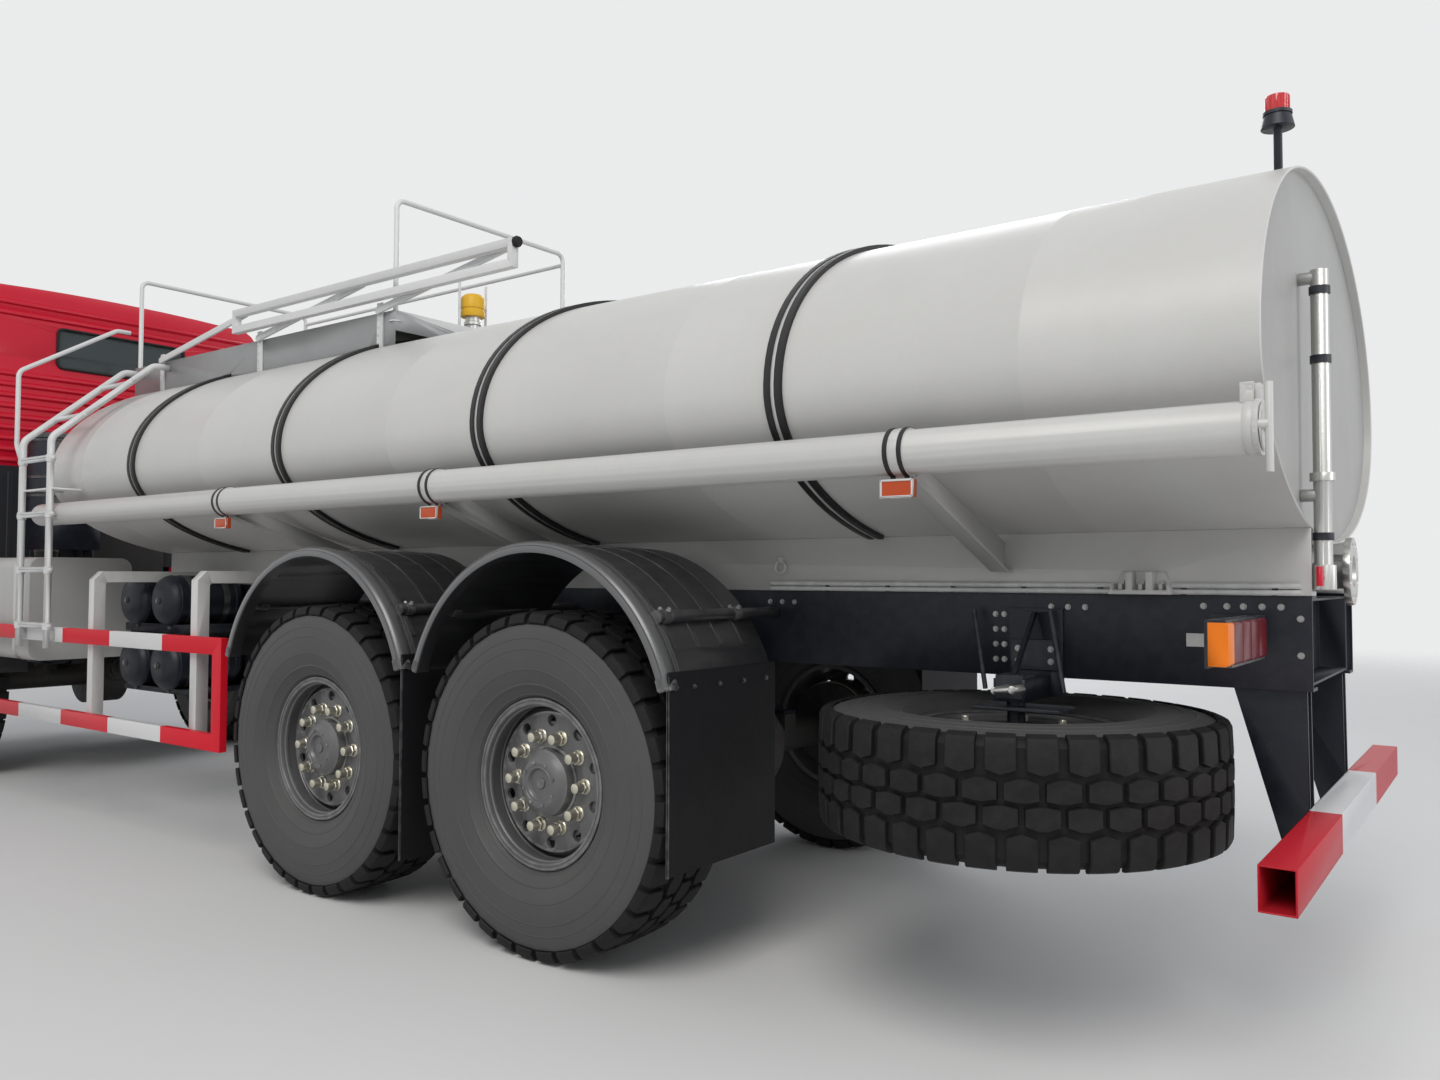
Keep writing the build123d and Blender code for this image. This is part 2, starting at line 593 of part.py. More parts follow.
def knuckle():
    """Left steering knuckle: king pins, yoke, spindle and steering arm."""
    pins = [rod((AXLE_1_X, KINGPIN_Y, TYRE_RADIUS + level * (KINGPIN_HALF_HEIGHT - 60)),
                (AXLE_1_X, KINGPIN_Y, TYRE_RADIUS + level * (KINGPIN_HALF_HEIGHT + 50)), KINGPIN_RADIUS)
            for level in (-1, 1)]
    yoke_height = KINGPIN_HALF_HEIGHT - 8
    yoke = span((AXLE_1_X - 60, AXLE_1_X + 60), (KINGPIN_Y - 60, DRUM_INNER_Y - MOVING_GAP),
                (TYRE_RADIUS - yoke_height, TYRE_RADIUS + yoke_height))
    spindle = rod((AXLE_1_X, KINGPIN_Y, TYRE_RADIUS), (AXLE_1_X, SPINDLE_END_Y, TYRE_RADIUS), SPINDLE_RADIUS)
    arm = plan_profile([(AXLE_1_X - 50, KINGPIN_Y - 30), (AXLE_1_X - 50, KINGPIN_Y + 30),
                        (AXLE_1_X - 300, KINGPIN_Y - 20), (AXLE_1_X - 300, KINGPIN_Y - 60)],
                       TYRE_RADIUS - 100, TYRE_RADIUS - 70)
    return joined([yoke, spindle, arm] + pins)


def leaf_spring(centre_x, half_length, seat_z, upside_down):
    """A stack of flat leaves, each shorter than the last; upside_down puts the short ones on top."""
    leaves = []
    for index in range(SPRING_LEAF_COUNT):
        step = index if upside_down else SPRING_LEAF_COUNT - 1 - index
        half = half_length * (1 - 0.085 * step)
        low = seat_z + index * SPRING_LEAF_THICKNESS
        leaves.append(span((centre_x - half, centre_x + half),
                           (SPRING_Y - SPRING_LEAF_WIDTH / 2, SPRING_Y + SPRING_LEAF_WIDTH / 2),
                           (low, low + SPRING_LEAF_THICKNESS)))
    return joined(leaves)


def springs():
    """Rear stacks on their trunnion saddles and front stacks on their hangers."""
    stack = SPRING_LEAF_COUNT * SPRING_LEAF_THICKNESS
    y_low = SPRING_Y - SPRING_LEAF_WIDTH / 2
    y_high = SPRING_Y + SPRING_LEAF_WIDTH / 2
    rear = leaf_spring(TRUNNION_X, REAR_SPRING_HALF, REAR_SPRING_SEAT_Z, True)
    rear_top = REAR_SPRING_SEAT_Z + stack
    saddle = side_profile([(TRUNNION_X - 90, rear_top), (TRUNNION_X + 90, rear_top),
                           (TRUNNION_X + 190, RAIL_BOTTOM_Z), (TRUNNION_X - 190, RAIL_BOTTOM_Z)],
                          y_low, y_high)
    front = leaf_spring(AXLE_1_X, FRONT_SPRING_HALF, FRONT_SPRING_SEAT_Z, False)
    main_leaf_top = FRONT_SPRING_SEAT_Z + stack
    hangers = []
    for end in (-1, 1):
        x_far = AXLE_1_X + end * FRONT_SPRING_HALF
        x_near = AXLE_1_X + end * (FRONT_SPRING_HALF - 110)
        hangers.append(span((min(x_far, x_near), max(x_far, x_near)), (y_low, y_high),
                            (main_leaf_top, RAIL_BOTTOM_Z)))
    rear_unit = joined([rear, saddle])
    front_unit = joined([front] + hangers)
    return both_sides([rear_unit, front_unit])


def driveline():
    """Gearbox, transfer case and the shafts to the three axles."""
    case = span((CASE_X - CASE_HALF_LENGTH, CASE_X + CASE_HALF_LENGTH), (-210, 210), (760, 1290))
    gearbox = span((GEARBOX_REAR_X, GEARBOX_FRONT_X), (-200, 200), (940, 1330))
    flange_back = PINION_LENGTH + SEAT_GAP
    flange_front = flange_back + 28
    flanges = [
        rod((AXLE_1_X - flange_front, 0, PINION_Z), (AXLE_1_X - flange_back, 0, PINION_Z), 80),
        rod((AXLE_2_X + flange_back, 0, PINION_Z), (AXLE_2_X + flange_front, 0, PINION_Z), 80),
    ]
    links = [
        ((CASE_X + CASE_HALF_LENGTH, 0, GEARBOX_SHAFT_Z), (GEARBOX_REAR_X, 0, GEARBOX_SHAFT_Z)),
        ((CASE_X + CASE_HALF_LENGTH - 20, 0, CASE_SHAFT_Z), (AXLE_1_X - flange_front + 10, 0, PINION_Z)),
        ((CASE_X - CASE_HALF_LENGTH + 20, 0, CASE_SHAFT_Z), (AXLE_2_X + flange_front - 10, 0, PINION_Z)),
    ]
    shafts = [rod(start, end, SHAFT_RADIUS) for start, end in links]
    rear_shaft = rod((AXLE_2_X - DIFF_RADIUS - SEAT_GAP, 0, PINION_Z), (AXLE_3_X + flange_back, 0, PINION_Z),
                     SHAFT_RADIUS)
    reach = RAIL_OUTER_Y - RAIL_WALL - SEAT_GAP
    hanger = span((CASE_X - 60, CASE_X + 60), (-reach, reach), (1180, 1240))
    return [joined([case, gearbox] + shafts + flanges + [hanger]), rear_shaft]


def engine():
    """One plain block ahead of the gearbox."""
    half = ENGINE_WIDTH / 2 - 40
    return [span((GEARBOX_FRONT_X + SEAT_GAP, GEARBOX_FRONT_X + ENGINE_LENGTH), (-half, half),
                 (ENGINE_BOTTOM_Z, ENGINE_TOP_Z))]


# Frame


def frame():
    """Two channel rails and the crossmembers between them."""
    outline = [
        (RAIL_OUTER_Y - RAIL_FLANGE, RAIL_BOTTOM_Z), (RAIL_OUTER_Y, RAIL_BOTTOM_Z),
        (RAIL_OUTER_Y, RAIL_TOP_Z), (RAIL_OUTER_Y - RAIL_FLANGE, RAIL_TOP_Z),
        (RAIL_OUTER_Y - RAIL_FLANGE, RAIL_TOP_Z - RAIL_WALL),
        (RAIL_OUTER_Y - RAIL_WALL, RAIL_TOP_Z - RAIL_WALL),
        (RAIL_OUTER_Y - RAIL_WALL, RAIL_BOTTOM_Z + RAIL_WALL),
        (RAIL_OUTER_Y - RAIL_FLANGE, RAIL_BOTTOM_Z + RAIL_WALL),
    ]
    rails = both_sides([end_profile(outline, RAIL_REAR_X, RAIL_FRONT_X)])
    inside = RAIL_OUTER_Y - RAIL_WALL
    # Columns: centre X, low Z and high Z of each crossmember
    members = [
        (RAIL_REAR_X + 60, RAIL_BOTTOM_Z + RAIL_WALL, RAIL_TOP_Z - RAIL_WALL),
        (AXLE_3_X - 1000, 1100, 1260),
        (AXLE_3_X - 120, 1100, 1260),
        (TRUNNION_X, RAIL_BOTTOM_Z + RAIL_WALL, 1250),
        (AXLE_2_X + 120, 1100, 1260),
        (AXLE_2_X + 1150, 1100, 1260),
        (RAIL_FRONT_X - 60, 1060, 1220),
    ]
    pieces = []
    for centre, low, high in members:
        half = CROSSMEMBER_WIDTH / 2
        block = span((centre - half, centre + half), (-inside, inside), (low, high))
        hollow = span((centre - half - 1, centre + half - CROSSMEMBER_WALL), (-inside + 40, inside - 40),
                      (low + CROSSMEMBER_WALL, high - CROSSMEMBER_WALL))
        pieces.append(block - hollow)
    return [joined(rails + pieces)]


# Tank


def tank_section(grow):
    """The shell's outline in the YZ plane, larger all round by grow."""
    wide = TANK_HALF_WIDTH + grow
    waist = (0, TANK_WAIST_Z)
    upper = EllipticalCenterArc(waist, wide, TANK_UPPER_HEIGHT + grow, start_angle=0, arc_size=180)
    lower = EllipticalCenterArc(waist, wide, TANK_LOWER_HEIGHT + grow, start_angle=180, arc_size=180)
    return make_face([upper, lower])


def tank_slice(grow, x_low, x_high):
    plane = Plane(origin=(x_low, 0, 0), x_dir=(0, 1, 0), z_dir=(1, 0, 0))
    return extrude(plane * tank_section(grow), amount=x_high - x_low)


def tank():
    """Shell with a recessed rear head and a dished front head."""
    shell = tank_slice(0, TANK_REAR_X, TANK_FRONT_X)
    shell -= tank_slice(-TANK_RIM_WALL, TANK_REAR_X, TANK_REAR_X + TANK_RIM_DEPTH)
    # Columns: share of the head's depth, inset of the section there
    steps = [(0.0, 0.0), (0.35, -30.0), (0.72, -130.0), (1.0, -330.0)]
    sections = []
    for share, inset in steps:
        x = TANK_FRONT_X + share * TANK_HEAD_DEPTH
        plane = Plane(origin=(x, 0, 0), x_dir=(0, 1, 0), z_dir=(1, 0, 0))
        sections.append(plane * tank_section(inset))
    shell += loft(sections)
    return [shell]


def manhole_neck():
    """Raised neck with its mouth and the two lugs of the lid's hinge."""
    neck = Pos(MANHOLE_X, 0, TANK_TOP_Z - 60) * Cylinder(
        MANHOLE_RADIUS, MANHOLE_HEIGHT + 60, align=(Align.CENTER, Align.CENTER, Align.MIN))
    mouth = Pos(MANHOLE_X, 0, TANK_TOP_Z - 61) * Cylinder(
        MANHOLE_RADIUS - MANHOLE_WALL, MANHOLE_HEIGHT + 70, align=(Align.CENTER, Align.CENTER, Align.MIN))
    top = TANK_TOP_Z + MANHOLE_HEIGHT
    lugs = [span((MANHOLE_X + MANHOLE_RADIUS - 8, LID_HINGE_X + 18), (y - 8, y + 8),
                 (top - 50, LID_HINGE_Z + 18)) for y in (-60, 60)]
    pin_bore = rod((LID_HINGE_X, -90, LID_HINGE_Z), (LID_HINGE_X, 90, LID_HINGE_Z),
                   LID_PIN_RADIUS + RUNNING_GAP)
    lugs = [lug - pin_bore for lug in lugs]
    body = (neck + lugs) - mouth
    return [body - tank_slice(SEAT_GAP, MANHOLE_X - 400, MANHOLE_X + 400)]


def manhole_lid():
    """Domed lid with its hinge arm, pin and handle."""
    outer = MANHOLE_RADIUS + MANHOLE_LID_OVERHANG
    low = TANK_TOP_Z + MANHOLE_HEIGHT + SEAT_GAP
    points = [(0, low), (outer, low), (outer, low + MANHOLE_LID_THICKNESS),
              (outer - 60, low + MANHOLE_LID_THICKNESS + 6), (0, low + MANHOLE_LID_THICKNESS + 30)]
    plane = Plane(origin=(0, 0, 0), x_dir=(1, 0, 0), z_dir=(0, -1, 0))
    lid = Pos(MANHOLE_X, 0, 0) * revolve(plane * make_face(Polyline(*points, close=True)), axis=Axis.Z)
    slot = span((MANHOLE_X + MANHOLE_RADIUS - 20, MANHOLE_X + outer + 1), (46, 74), (low - 1, low + 60))
    lid -= both_sides([slot])
    arm = span((MANHOLE_X + outer - 90, LID_HINGE_X), (-40, 40), (low + 3, low + 27))
    barrel = rod((LID_HINGE_X, -46, LID_HINGE_Z), (LID_HINGE_X, 46, LID_HINGE_Z), LID_PIN_RADIUS + 7)
    pin = rod((LID_HINGE_X, -75, LID_HINGE_Z), (LID_HINGE_X, 75, LID_HINGE_Z), LID_PIN_RADIUS)
    handle_x = MANHOLE_X - 170
    handle = bent_rod([(handle_x, -70, low + 12), (handle_x, -70, low + 74), (handle_x, 70, low + 74),
                       (handle_x, 70, low + 12)], 8, 25)
    return [joined([lid, arm, barrel, pin, handle])]


def tank_bands():
    """Straps over the shell, each with two raised ribs."""
    bands = []
    for centre in BAND_X:
        low = centre - BAND_WIDTH / 2
        high = centre + BAND_WIDTH / 2
        strap = tank_slice(SEAT_GAP + BAND_THICKNESS, low, high)
        rib_grow = SEAT_GAP + BAND_THICKNESS + BAND_RIB_HEIGHT
        for rib_low in (low, high - BAND_RIB_WIDTH):
            strap += tank_slice(rib_grow, rib_low, rib_low + BAND_RIB_WIDTH)
        strap -= tank_slice(SEAT_GAP, low - 1, high + 1)
        base = span((low - 2, high + 2), (-CRADLE_OUTER_Y - 22, CRADLE_OUTER_Y + 22),
                    (RAIL_BOTTOM_Z, TANK_WAIST_Z - 250))
        bands.append(strap - base)
    return bands


def tank_cradle():
    """Long side plates with cross webs under the tank, and the cast feet on the rails."""
    inner = CRADLE_OUTER_Y - CRADLE_WALL
    low = RAIL_TOP_Z + SEAT_GAP
    start = TANK_REAR_X
    end = TANK_FRONT_X - 60
    side = span((start, end), (inner, CRADLE_OUTER_Y), (low, CRADLE_TOP_Z))
    flange = span((start, end), (RAIL_OUTER_Y - RAIL_FLANGE, CRADLE_OUTER_Y), (low, low + 14))
    webs = []
    for index in range(CRADLE_WEB_COUNT):
        x = start + CRADLE_FIRST_WEB + (end - start - CRADLE_FIRST_WEB - 40) * index / (CRADLE_WEB_COUNT - 1)
        webs.append(span((x, x + 10), (-inner - 1, inner + 1), (low + 60, CRADLE_TOP_Z)))
    body = joined(both_sides([side, flange]) + webs) - tank_slice(SEAT_GAP, start - 1, end + 1)
    half = FOOT_LENGTH / 2
    foot = side_profile([(FOOT_X - half, low), (FOOT_X + half, low), (FOOT_X + half - 30, low + 70),
                         (FOOT_X - half + 30, low + 70)], CRADLE_OUTER_Y - 2, CRADLE_OUTER_Y + 60)
    for offset in (-60, 0, 60):
        foot -= span((FOOT_X + offset - 20, FOOT_X + offset + 20), (CRADLE_OUTER_Y + 14, CRADLE_OUTER_Y + 61),
                     (low + 14, low + 71))
    return [joined([body] + both_sides([foot]))]


# Hose tube on the left of the tank


def hose_tube():
    """Tube with a domed front end, its straps and the sloping brackets that carry it."""
    outer = rod((TUBE_REAR_X, TUBE_Y, TUBE_Z), (TUBE_FRONT_X, TUBE_Y, TUBE_Z), TUBE_RADIUS)
    dome = Pos(TUBE_FRONT_X, TUBE_Y, TUBE_Z) * Sphere(TUBE_RADIUS)
    bore = rod((TUBE_REAR_X - 1, TUBE_Y, TUBE_Z), (TUBE_FRONT_X, TUBE_Y, TUBE_Z), TUBE_RADIUS - TUBE_WALL)
    pieces = [outer, dome]
    for x in TUBE_BRACKET_X:
        half = TUBE_STRAP_WIDTH / 2
        pieces.append(rod((x - half, TUBE_Y, TUBE_Z), (x + half, TUBE_Y, TUBE_Z),
                          TUBE_RADIUS + TUBE_STRAP_THICKNESS))
        near = CRADLE_OUTER_Y + SEAT_GAP
        foot_z = RAIL_TOP_Z + 110
        plate = end_profile([(near, foot_z - 40), (CRADLE_OUTER_Y + 40, foot_z - 40),
                             (TUBE_Y + 10, TUBE_Z - TUBE_RADIUS), (TUBE_Y - 60, TUBE_Z - 10),
                             (near, foot_z + 60)],
                            x - TUBE_BRACKET_THICKNESS / 2, x + TUBE_BRACKET_THICKNESS / 2)
        flange = end_profile([(near, foot_z - 40), (CRADLE_OUTER_Y + 40, foot_z - 40),
                              (TUBE_Y + 10, TUBE_Z - TUBE_RADIUS), (TUBE_Y - 4, TUBE_Z - TUBE_RADIUS),
                              (CRADLE_OUTER_Y + 36, foot_z - 32), (near, foot_z - 32)],
                             x - 30, x + 30)
        room = tank_slice(SEAT_GAP, x - 40, x + 40)
        pieces += [plate - room, flange - room]
        pieces.append(span((x - 30, x + 30), (TUBE_Y + 4, TUBE_Y + MARKER_OFFSET - SEAT_GAP),
                           (MARKER_Z - 26, TUBE_Z - TUBE_RADIUS)))
    return [joined(pieces + tube_hinge_ears()) - bore]


def tube_hinge_ears():
    """Two ears over the tube's mouth that hold the cap's pin."""
    ears = [span((TUBE_REAR_X, TUBE_REAR_X + 30), (TUBE_Y + y - 5, TUBE_Y + y + 5),
                 (TUBE_Z + TUBE_RADIUS - 8, CAP_HINGE_Z + 14)) for y in (-28, 28)]
    pin = rod((TUBE_REAR_X + 8, TUBE_Y - 40, CAP_HINGE_Z), (TUBE_REAR_X + 8, TUBE_Y + 40, CAP_HINGE_Z),
              6 + RUNNING_GAP)
    return [ear - pin for ear in ears]


def tube_cap():
    """Round end cap with its locking handle and hinge arm."""
    face = TUBE_REAR_X - SEAT_GAP
    cap = rod((face - 12, TUBE_Y, TUBE_Z), (face, TUBE_Y, TUBE_Z), TUBE_RADIUS + 4)
    arm = span((face - 12, TUBE_REAR_X + 14), (TUBE_Y - 20, TUBE_Y + 20),
               (CAP_HINGE_Z - 11, CAP_HINGE_Z + 11))
    riser = span((face - 12, face), (TUBE_Y - 20, TUBE_Y + 20), (TUBE_Z, CAP_HINGE_Z + 11))
    pin = rod((TUBE_REAR_X + 8, TUBE_Y - 33, CAP_HINGE_Z), (TUBE_REAR_X + 8, TUBE_Y + 33, CAP_HINGE_Z), 6)
    handle_y = TUBE_Y + 48
    handle = rod((face - 34, handle_y, TUBE_Z - 110), (face - 34, handle_y, TUBE_Z + 96), 9)
    stalk = rod((face - 34, handle_y, TUBE_Z), (face - 2, handle_y, TUBE_Z), 12)
    return [joined([cap, arm, riser, pin, handle, stalk])]


# Walkway, fixed frame, folding guard rail and ladder


def walkway():
    """Deck plates, kick plates, short posts and the fixed tube frame."""
    deck = span((WALK_REAR_X, WALK_FRONT_X), (-WALK_HALF_WIDTH, WALK_HALF_WIDTH),
                (WALK_DECK_Z, WALK_DECK_Z + WALK_PLATE))
    hole = Pos(MANHOLE_X, 0, WALK_DECK_Z) * Cylinder(MANHOLE_RADIUS + MANHOLE_LID_OVERHANG + 60, 60)
    lug_room = span((MANHOLE_X, MANHOLE_X + MANHOLE_RADIUS + MANHOLE_HINGE_OFFSET + 200), (-110, 110),
                    (WALK_DECK_Z - 20, WALK_DECK_Z + 20))
    vent_hole = Pos(VENT_X, VENT_Y, WALK_DECK_Z) * Cylinder(VENT_STUB_RADIUS + 30, 60)
    deck -= [hole, lug_room, vent_hole]
    pieces = [deck]
    for side in (-1, 1):
        y = side * WALK_HALF_WIDTH
        low_z = TANK_TOP_Z - 130
        pieces.append(span((WALK_REAR_X, WALK_FRONT_X), (min(y, y - side * 6), max(y, y - side * 6)),
                           (low_z, WALK_DECK_Z + KICK_PLATE_HEIGHT)))
    for x in (WALK_REAR_X, WALK_FRONT_X - 6):
        pieces.append(span((x, x + 6), (-WALK_HALF_WIDTH, WALK_HALF_WIDTH),
                           (WALK_DECK_Z - 40, WALK_DECK_Z + KICK_PLATE_HEIGHT)))
    posts = []
    for x in GUARD_POST_X:
        y = GUARD_POST_Y - POST_SIZE
        post = span((x - POST_SIZE / 2, x + POST_SIZE / 2), (y + 6, y + 12),
                    (TANK_TOP_Z - 120, GUARD_PIVOT_Z + 40))
        web = span((x - POST_SIZE / 2, x - POST_SIZE / 2 + 6), (WALK_HALF_WIDTH - 20, y + 10),
                   (TANK_TOP_Z - 120, WALK_DECK_Z + KICK_PLATE_HEIGHT))
        pin_bore = rod((x, y - 20, GUARD_PIVOT_Z), (x, y + 40, GUARD_PIVOT_Z), GUARD_PIN_RADIUS + RUNNING_GAP)
        posts += [post - pin_bore, web - pin_bore]
    corner_y = WALK_HALF_WIDTH - HOOP_TUBE_RADIUS - 8
    foot_z = WALK_DECK_Z
    hoops = []
    for x in (WALK_REAR_X + HOOP_TUBE_RADIUS + 8, WALK_FRONT_X - HOOP_TUBE_RADIUS - 8):
        hoops.append(bent_rod([(x, -corner_y, foot_z), (x, -corner_y, HOOP_TOP_Z), (x, corner_y, HOOP_TOP_Z),
                               (x, corner_y, foot_z)], HOOP_TUBE_RADIUS, 45))
    long_rail = rod((WALK_REAR_X + HOOP_TUBE_RADIUS + 8, -corner_y, HOOP_TOP_Z - 60),
                    (WALK_FRONT_X - HOOP_TUBE_RADIUS - 8, -corner_y, HOOP_TOP_Z - 60), HOOP_TUBE_RADIUS - 2)
    frame_body = joined(pieces + posts + hoops + [long_rail])
    frame_body -= tank_slice(SEAT_GAP, WALK_REAR_X - 50, WALK_FRONT_X + 50)
    for x in BAND_X:
        half = BAND_WIDTH / 2 + 3
        frame_body -= tank_slice(BAND_THICKNESS + BAND_RIB_HEIGHT + 2, x - half, x + half)
    return [frame_body]


def leg_tip(x):
    """Where a folded leg's upper pin lies, leaning back from the pivot on its post."""
    lean = math.radians(GUARD_LEG_LEAN)
    return x - GUARD_LEG_LENGTH * math.cos(lean), GUARD_PIVOT_Z + GUARD_LEG_LENGTH * math.sin(lean)


def guard_leg(x):
    """One leg of the folding guard rail, with its lower pin and the bore for its upper pin."""
    tip_x, tip_z = leg_tip(x)
    along = (tip_x - x, 0, tip_z - GUARD_PIVOT_Z)
    plane = Plane(origin=(x, LEG_Y, GUARD_PIVOT_Z), x_dir=along, z_dir=(0, 1, 0))
    flat = SlotCenterToCenter(GUARD_LEG_LENGTH, GUARD_LEG_WIDTH)
    blade = extrude(plane * Pos(GUARD_LEG_LENGTH / 2, 0) * flat, amount=GUARD_LEG_THICKNESS)
    pin = rod((x, LEG_Y - 9, GUARD_PIVOT_Z), (x, LEG_Y + 2, GUARD_PIVOT_Z), GUARD_PIN_RADIUS)
    bore = rod((tip_x, LEG_Y - 5, tip_z), (tip_x, LEG_Y + 40, tip_z), GUARD_PIN_RADIUS + RUNNING_GAP)
    return [(blade - bore) + pin]


def guard_bar():
    """The folding rail: two parallel bars joined by end plates, with a pin at each leg."""
    tips = [leg_tip(x) for x in GUARD_POST_X]
    rear = tips[0][0] - 60
    front = tips[-1][0] + 60
    z = tips[0][1]
    y_low = LEG_Y + GUARD_LEG_THICKNESS + 4
    y_high = y_low + GUARD_BAR_SIZE
    top = span((rear, front), (y_low, y_high), (z - GUARD_BAR_SIZE / 2, z + GUARD_BAR_SIZE / 2))
    low = z - GUARD_BAR_RISE
    lower = span((rear, front), (y_low, y_high), (low - GUARD_BAR_SIZE / 2, low + GUARD_BAR_SIZE / 2))
    ends = [span((x, x + 30), (y_low, y_high), (low, z)) for x in (rear, front - 30)]
    slack = [OPEN_PIN_SLACK, OPEN_PIN_SLACK, 0]
    pins = [rod((tip_x, LEG_Y + 1, tip_z), (tip_x, y_low + 4, tip_z), GUARD_PIN_RADIUS - less)
            for (tip_x, tip_z), less in zip(tips, slack)]
    return [joined([top, lower] + ends + pins)]


def ladder():
    """Side ladder bent in over the tank's shoulder, with rungs and a taller front handrail."""
    pieces = []
    for x in (LADDER_REAR_X, LADDER_FRONT_X):
        pieces.append(bent_rod([(x, LADDER_Y, LADDER_BOTTOM_Z), (x, LADDER_Y, LADDER_BEND_Z),
                                (x, LADDER_TOP_Y, LADDER_TOP_Z),
                                (x, WALK_HALF_WIDTH + SEAT_GAP, LADDER_TOP_Z)], LADDER_RAIL_RADIUS, 70))
    rung_low = LADDER_REAR_X - 40
    rung_high = LADDER_FRONT_X + 40
    for index in range(LADDER_RUNG_COUNT):
        z = LADDER_FIRST_RUNG_Z + index * LADDER_RUNG_PITCH
        pieces.append(rod((rung_low, LADDER_Y, z), (rung_high, LADDER_Y, z), LADDER_RUNG_RADIUS))
    for share in (0.3, 0.75):
        y = LADDER_Y + (LADDER_TOP_Y - LADDER_Y) * share
        z = LADDER_BEND_Z + (LADDER_TOP_Z - LADDER_BEND_Z) * share
        pieces.append(rod((LADDER_REAR_X - 20, y, z), (LADDER_FRONT_X + 20, y, z), LADDER_RUNG_RADIUS))
    rail_x = LADDER_FRONT_X + HANDRAIL_OFFSET
    pieces.append(bent_rod([(LADDER_FRONT_X, LADDER_Y, HANDRAIL_BOTTOM_Z),
                            (rail_x, LADDER_Y, HANDRAIL_BOTTOM_Z + 120),
                            (rail_x, LADDER_Y, HANDRAIL_TOP_Z - 340), (rail_x, 700, HANDRAIL_TOP_Z),
                            (rail_x, 620, HANDRAIL_TOP_Z)], HOOP_TUBE_RADIUS, 60))
    reach = TANK_HALF_WIDTH - 60
    stay_z = (LADDER_STAY_Z - 5, LADDER_STAY_Z + 5)
    for x in (LADDER_REAR_X, LADDER_REAR_X + 230):
        pieces.append(span((x - 20, x + 20), (reach, LADDER_Y), stay_z))
    for x in (LADDER_REAR_X, LADDER_FRONT_X):
        pieces.append(span((x - 15, x + 15), (GUARD_OUTER_Y + SEAT_GAP, LADDER_Y),
                           (GUARD_UPPER_Z - 30, GUARD_UPPER_Z + 30)))
    pieces.append(span((LADDER_REAR_X - 20, LADDER_FRONT_X + 20), (LADDER_Y - 30, LADDER_Y), stay_z))
    body = joined(pieces)
    return [body - tank_slice(SEAT_GAP, LADDER_REAR_X - 300, TANK_FRONT_X)]


def vent_valve():
    """Breather stub with its round cap."""
    base = TANK_TOP_Z - 20
    points = [(0, base), (VENT_STUB_RADIUS, base), (VENT_STUB_RADIUS, VENT_TOP_Z - VENT_CAP_HEIGHT),
              (VENT_CAP_RADIUS, VENT_TOP_Z - VENT_CAP_HEIGHT), (VENT_CAP_RADIUS, VENT_TOP_Z - 20),
              (VENT_CAP_RADIUS - 20, VENT_TOP_Z), (0, VENT_TOP_Z)]
    plane = Plane(origin=(0, 0, 0), x_dir=(1, 0, 0), z_dir=(0, -1, 0))
    body = Pos(VENT_X, VENT_Y, 0) * revolve(plane * make_face(Polyline(*points, close=True)), axis=Axis.Z)
    return [body - tank_slice(SEAT_GAP, VENT_X - 200, VENT_X + 200)]


# Rear pipework, bumper and lamps


def rear_pipework():
    """Level pipe with its end fittings, and the flanged discharge outlet."""
    pipe = rod((PIPE_X, PIPE_Y, PIPE_BOTTOM_Z), (PIPE_X, PIPE_Y, PIPE_TOP_Z), PIPE_RADIUS)
    collar = rod((PIPE_X, PIPE_Y, PIPE_COLLAR_Z[0]), (PIPE_X, PIPE_Y, PIPE_COLLAR_Z[1]), PIPE_RADIUS + 9)
    valve = rod((PIPE_X, PIPE_Y, PIPE_VALVE_Z[0]), (PIPE_X, PIPE_Y, PIPE_VALVE_Z[1]), PIPE_RADIUS + 8)
    head_x = TANK_REAR_X + TANK_RIM_DEPTH - SEAT_GAP
    elbows = [rod((PIPE_X, PIPE_Y, z), (head_x, PIPE_Y, z), PIPE_RADIUS - 6) for z in PIPE_ELBOW_Z]
    gauge = joined([pipe, collar, valve] + elbows)
    inner_end = OUTLET_X + OUTLET_LENGTH
    riser_x = inner_end - 60
    outer = OUTLET_RADIUS + OUTLET_WALL
    neck = rod((OUTLET_X, OUTLET_Y, OUTLET_Z), (inner_end, OUTLET_Y, OUTLET_Z), outer)
    flange = rod((OUTLET_X, OUTLET_Y, OUTLET_Z), (OUTLET_X + FLANGE_THICKNESS, OUTLET_Y, OUTLET_Z),
                 FLANGE_RADIUS)
    riser = rod((riser_x, OUTLET_Y, OUTLET_Z), (riser_x, OUTLET_Y, TANK_BOTTOM_Z + 40), outer)
    outlet = joined([neck, flange, riser])
    outlet -= rod((OUTLET_X - 1, OUTLET_Y, OUTLET_Z), (OUTLET_X + 80, OUTLET_Y, OUTLET_Z), OUTLET_RADIUS)
    for index in range(FLANGE_BOLT_COUNT):
        angle = math.radians(360 / FLANGE_BOLT_COUNT * (index + 0.5))
        y = OUTLET_Y + FLANGE_PCD / 2 * math.cos(angle)
        z = OUTLET_Z + FLANGE_PCD / 2 * math.sin(angle)
        outlet -= rod((OUTLET_X - 1, y, z), (OUTLET_X + FLANGE_THICKNESS + 1, y, z), FLANGE_BOLT_RADIUS)
    outlet -= tank_slice(SEAT_GAP, TANK_REAR_X, TANK_REAR_X + 600)
    return [gauge, outlet]


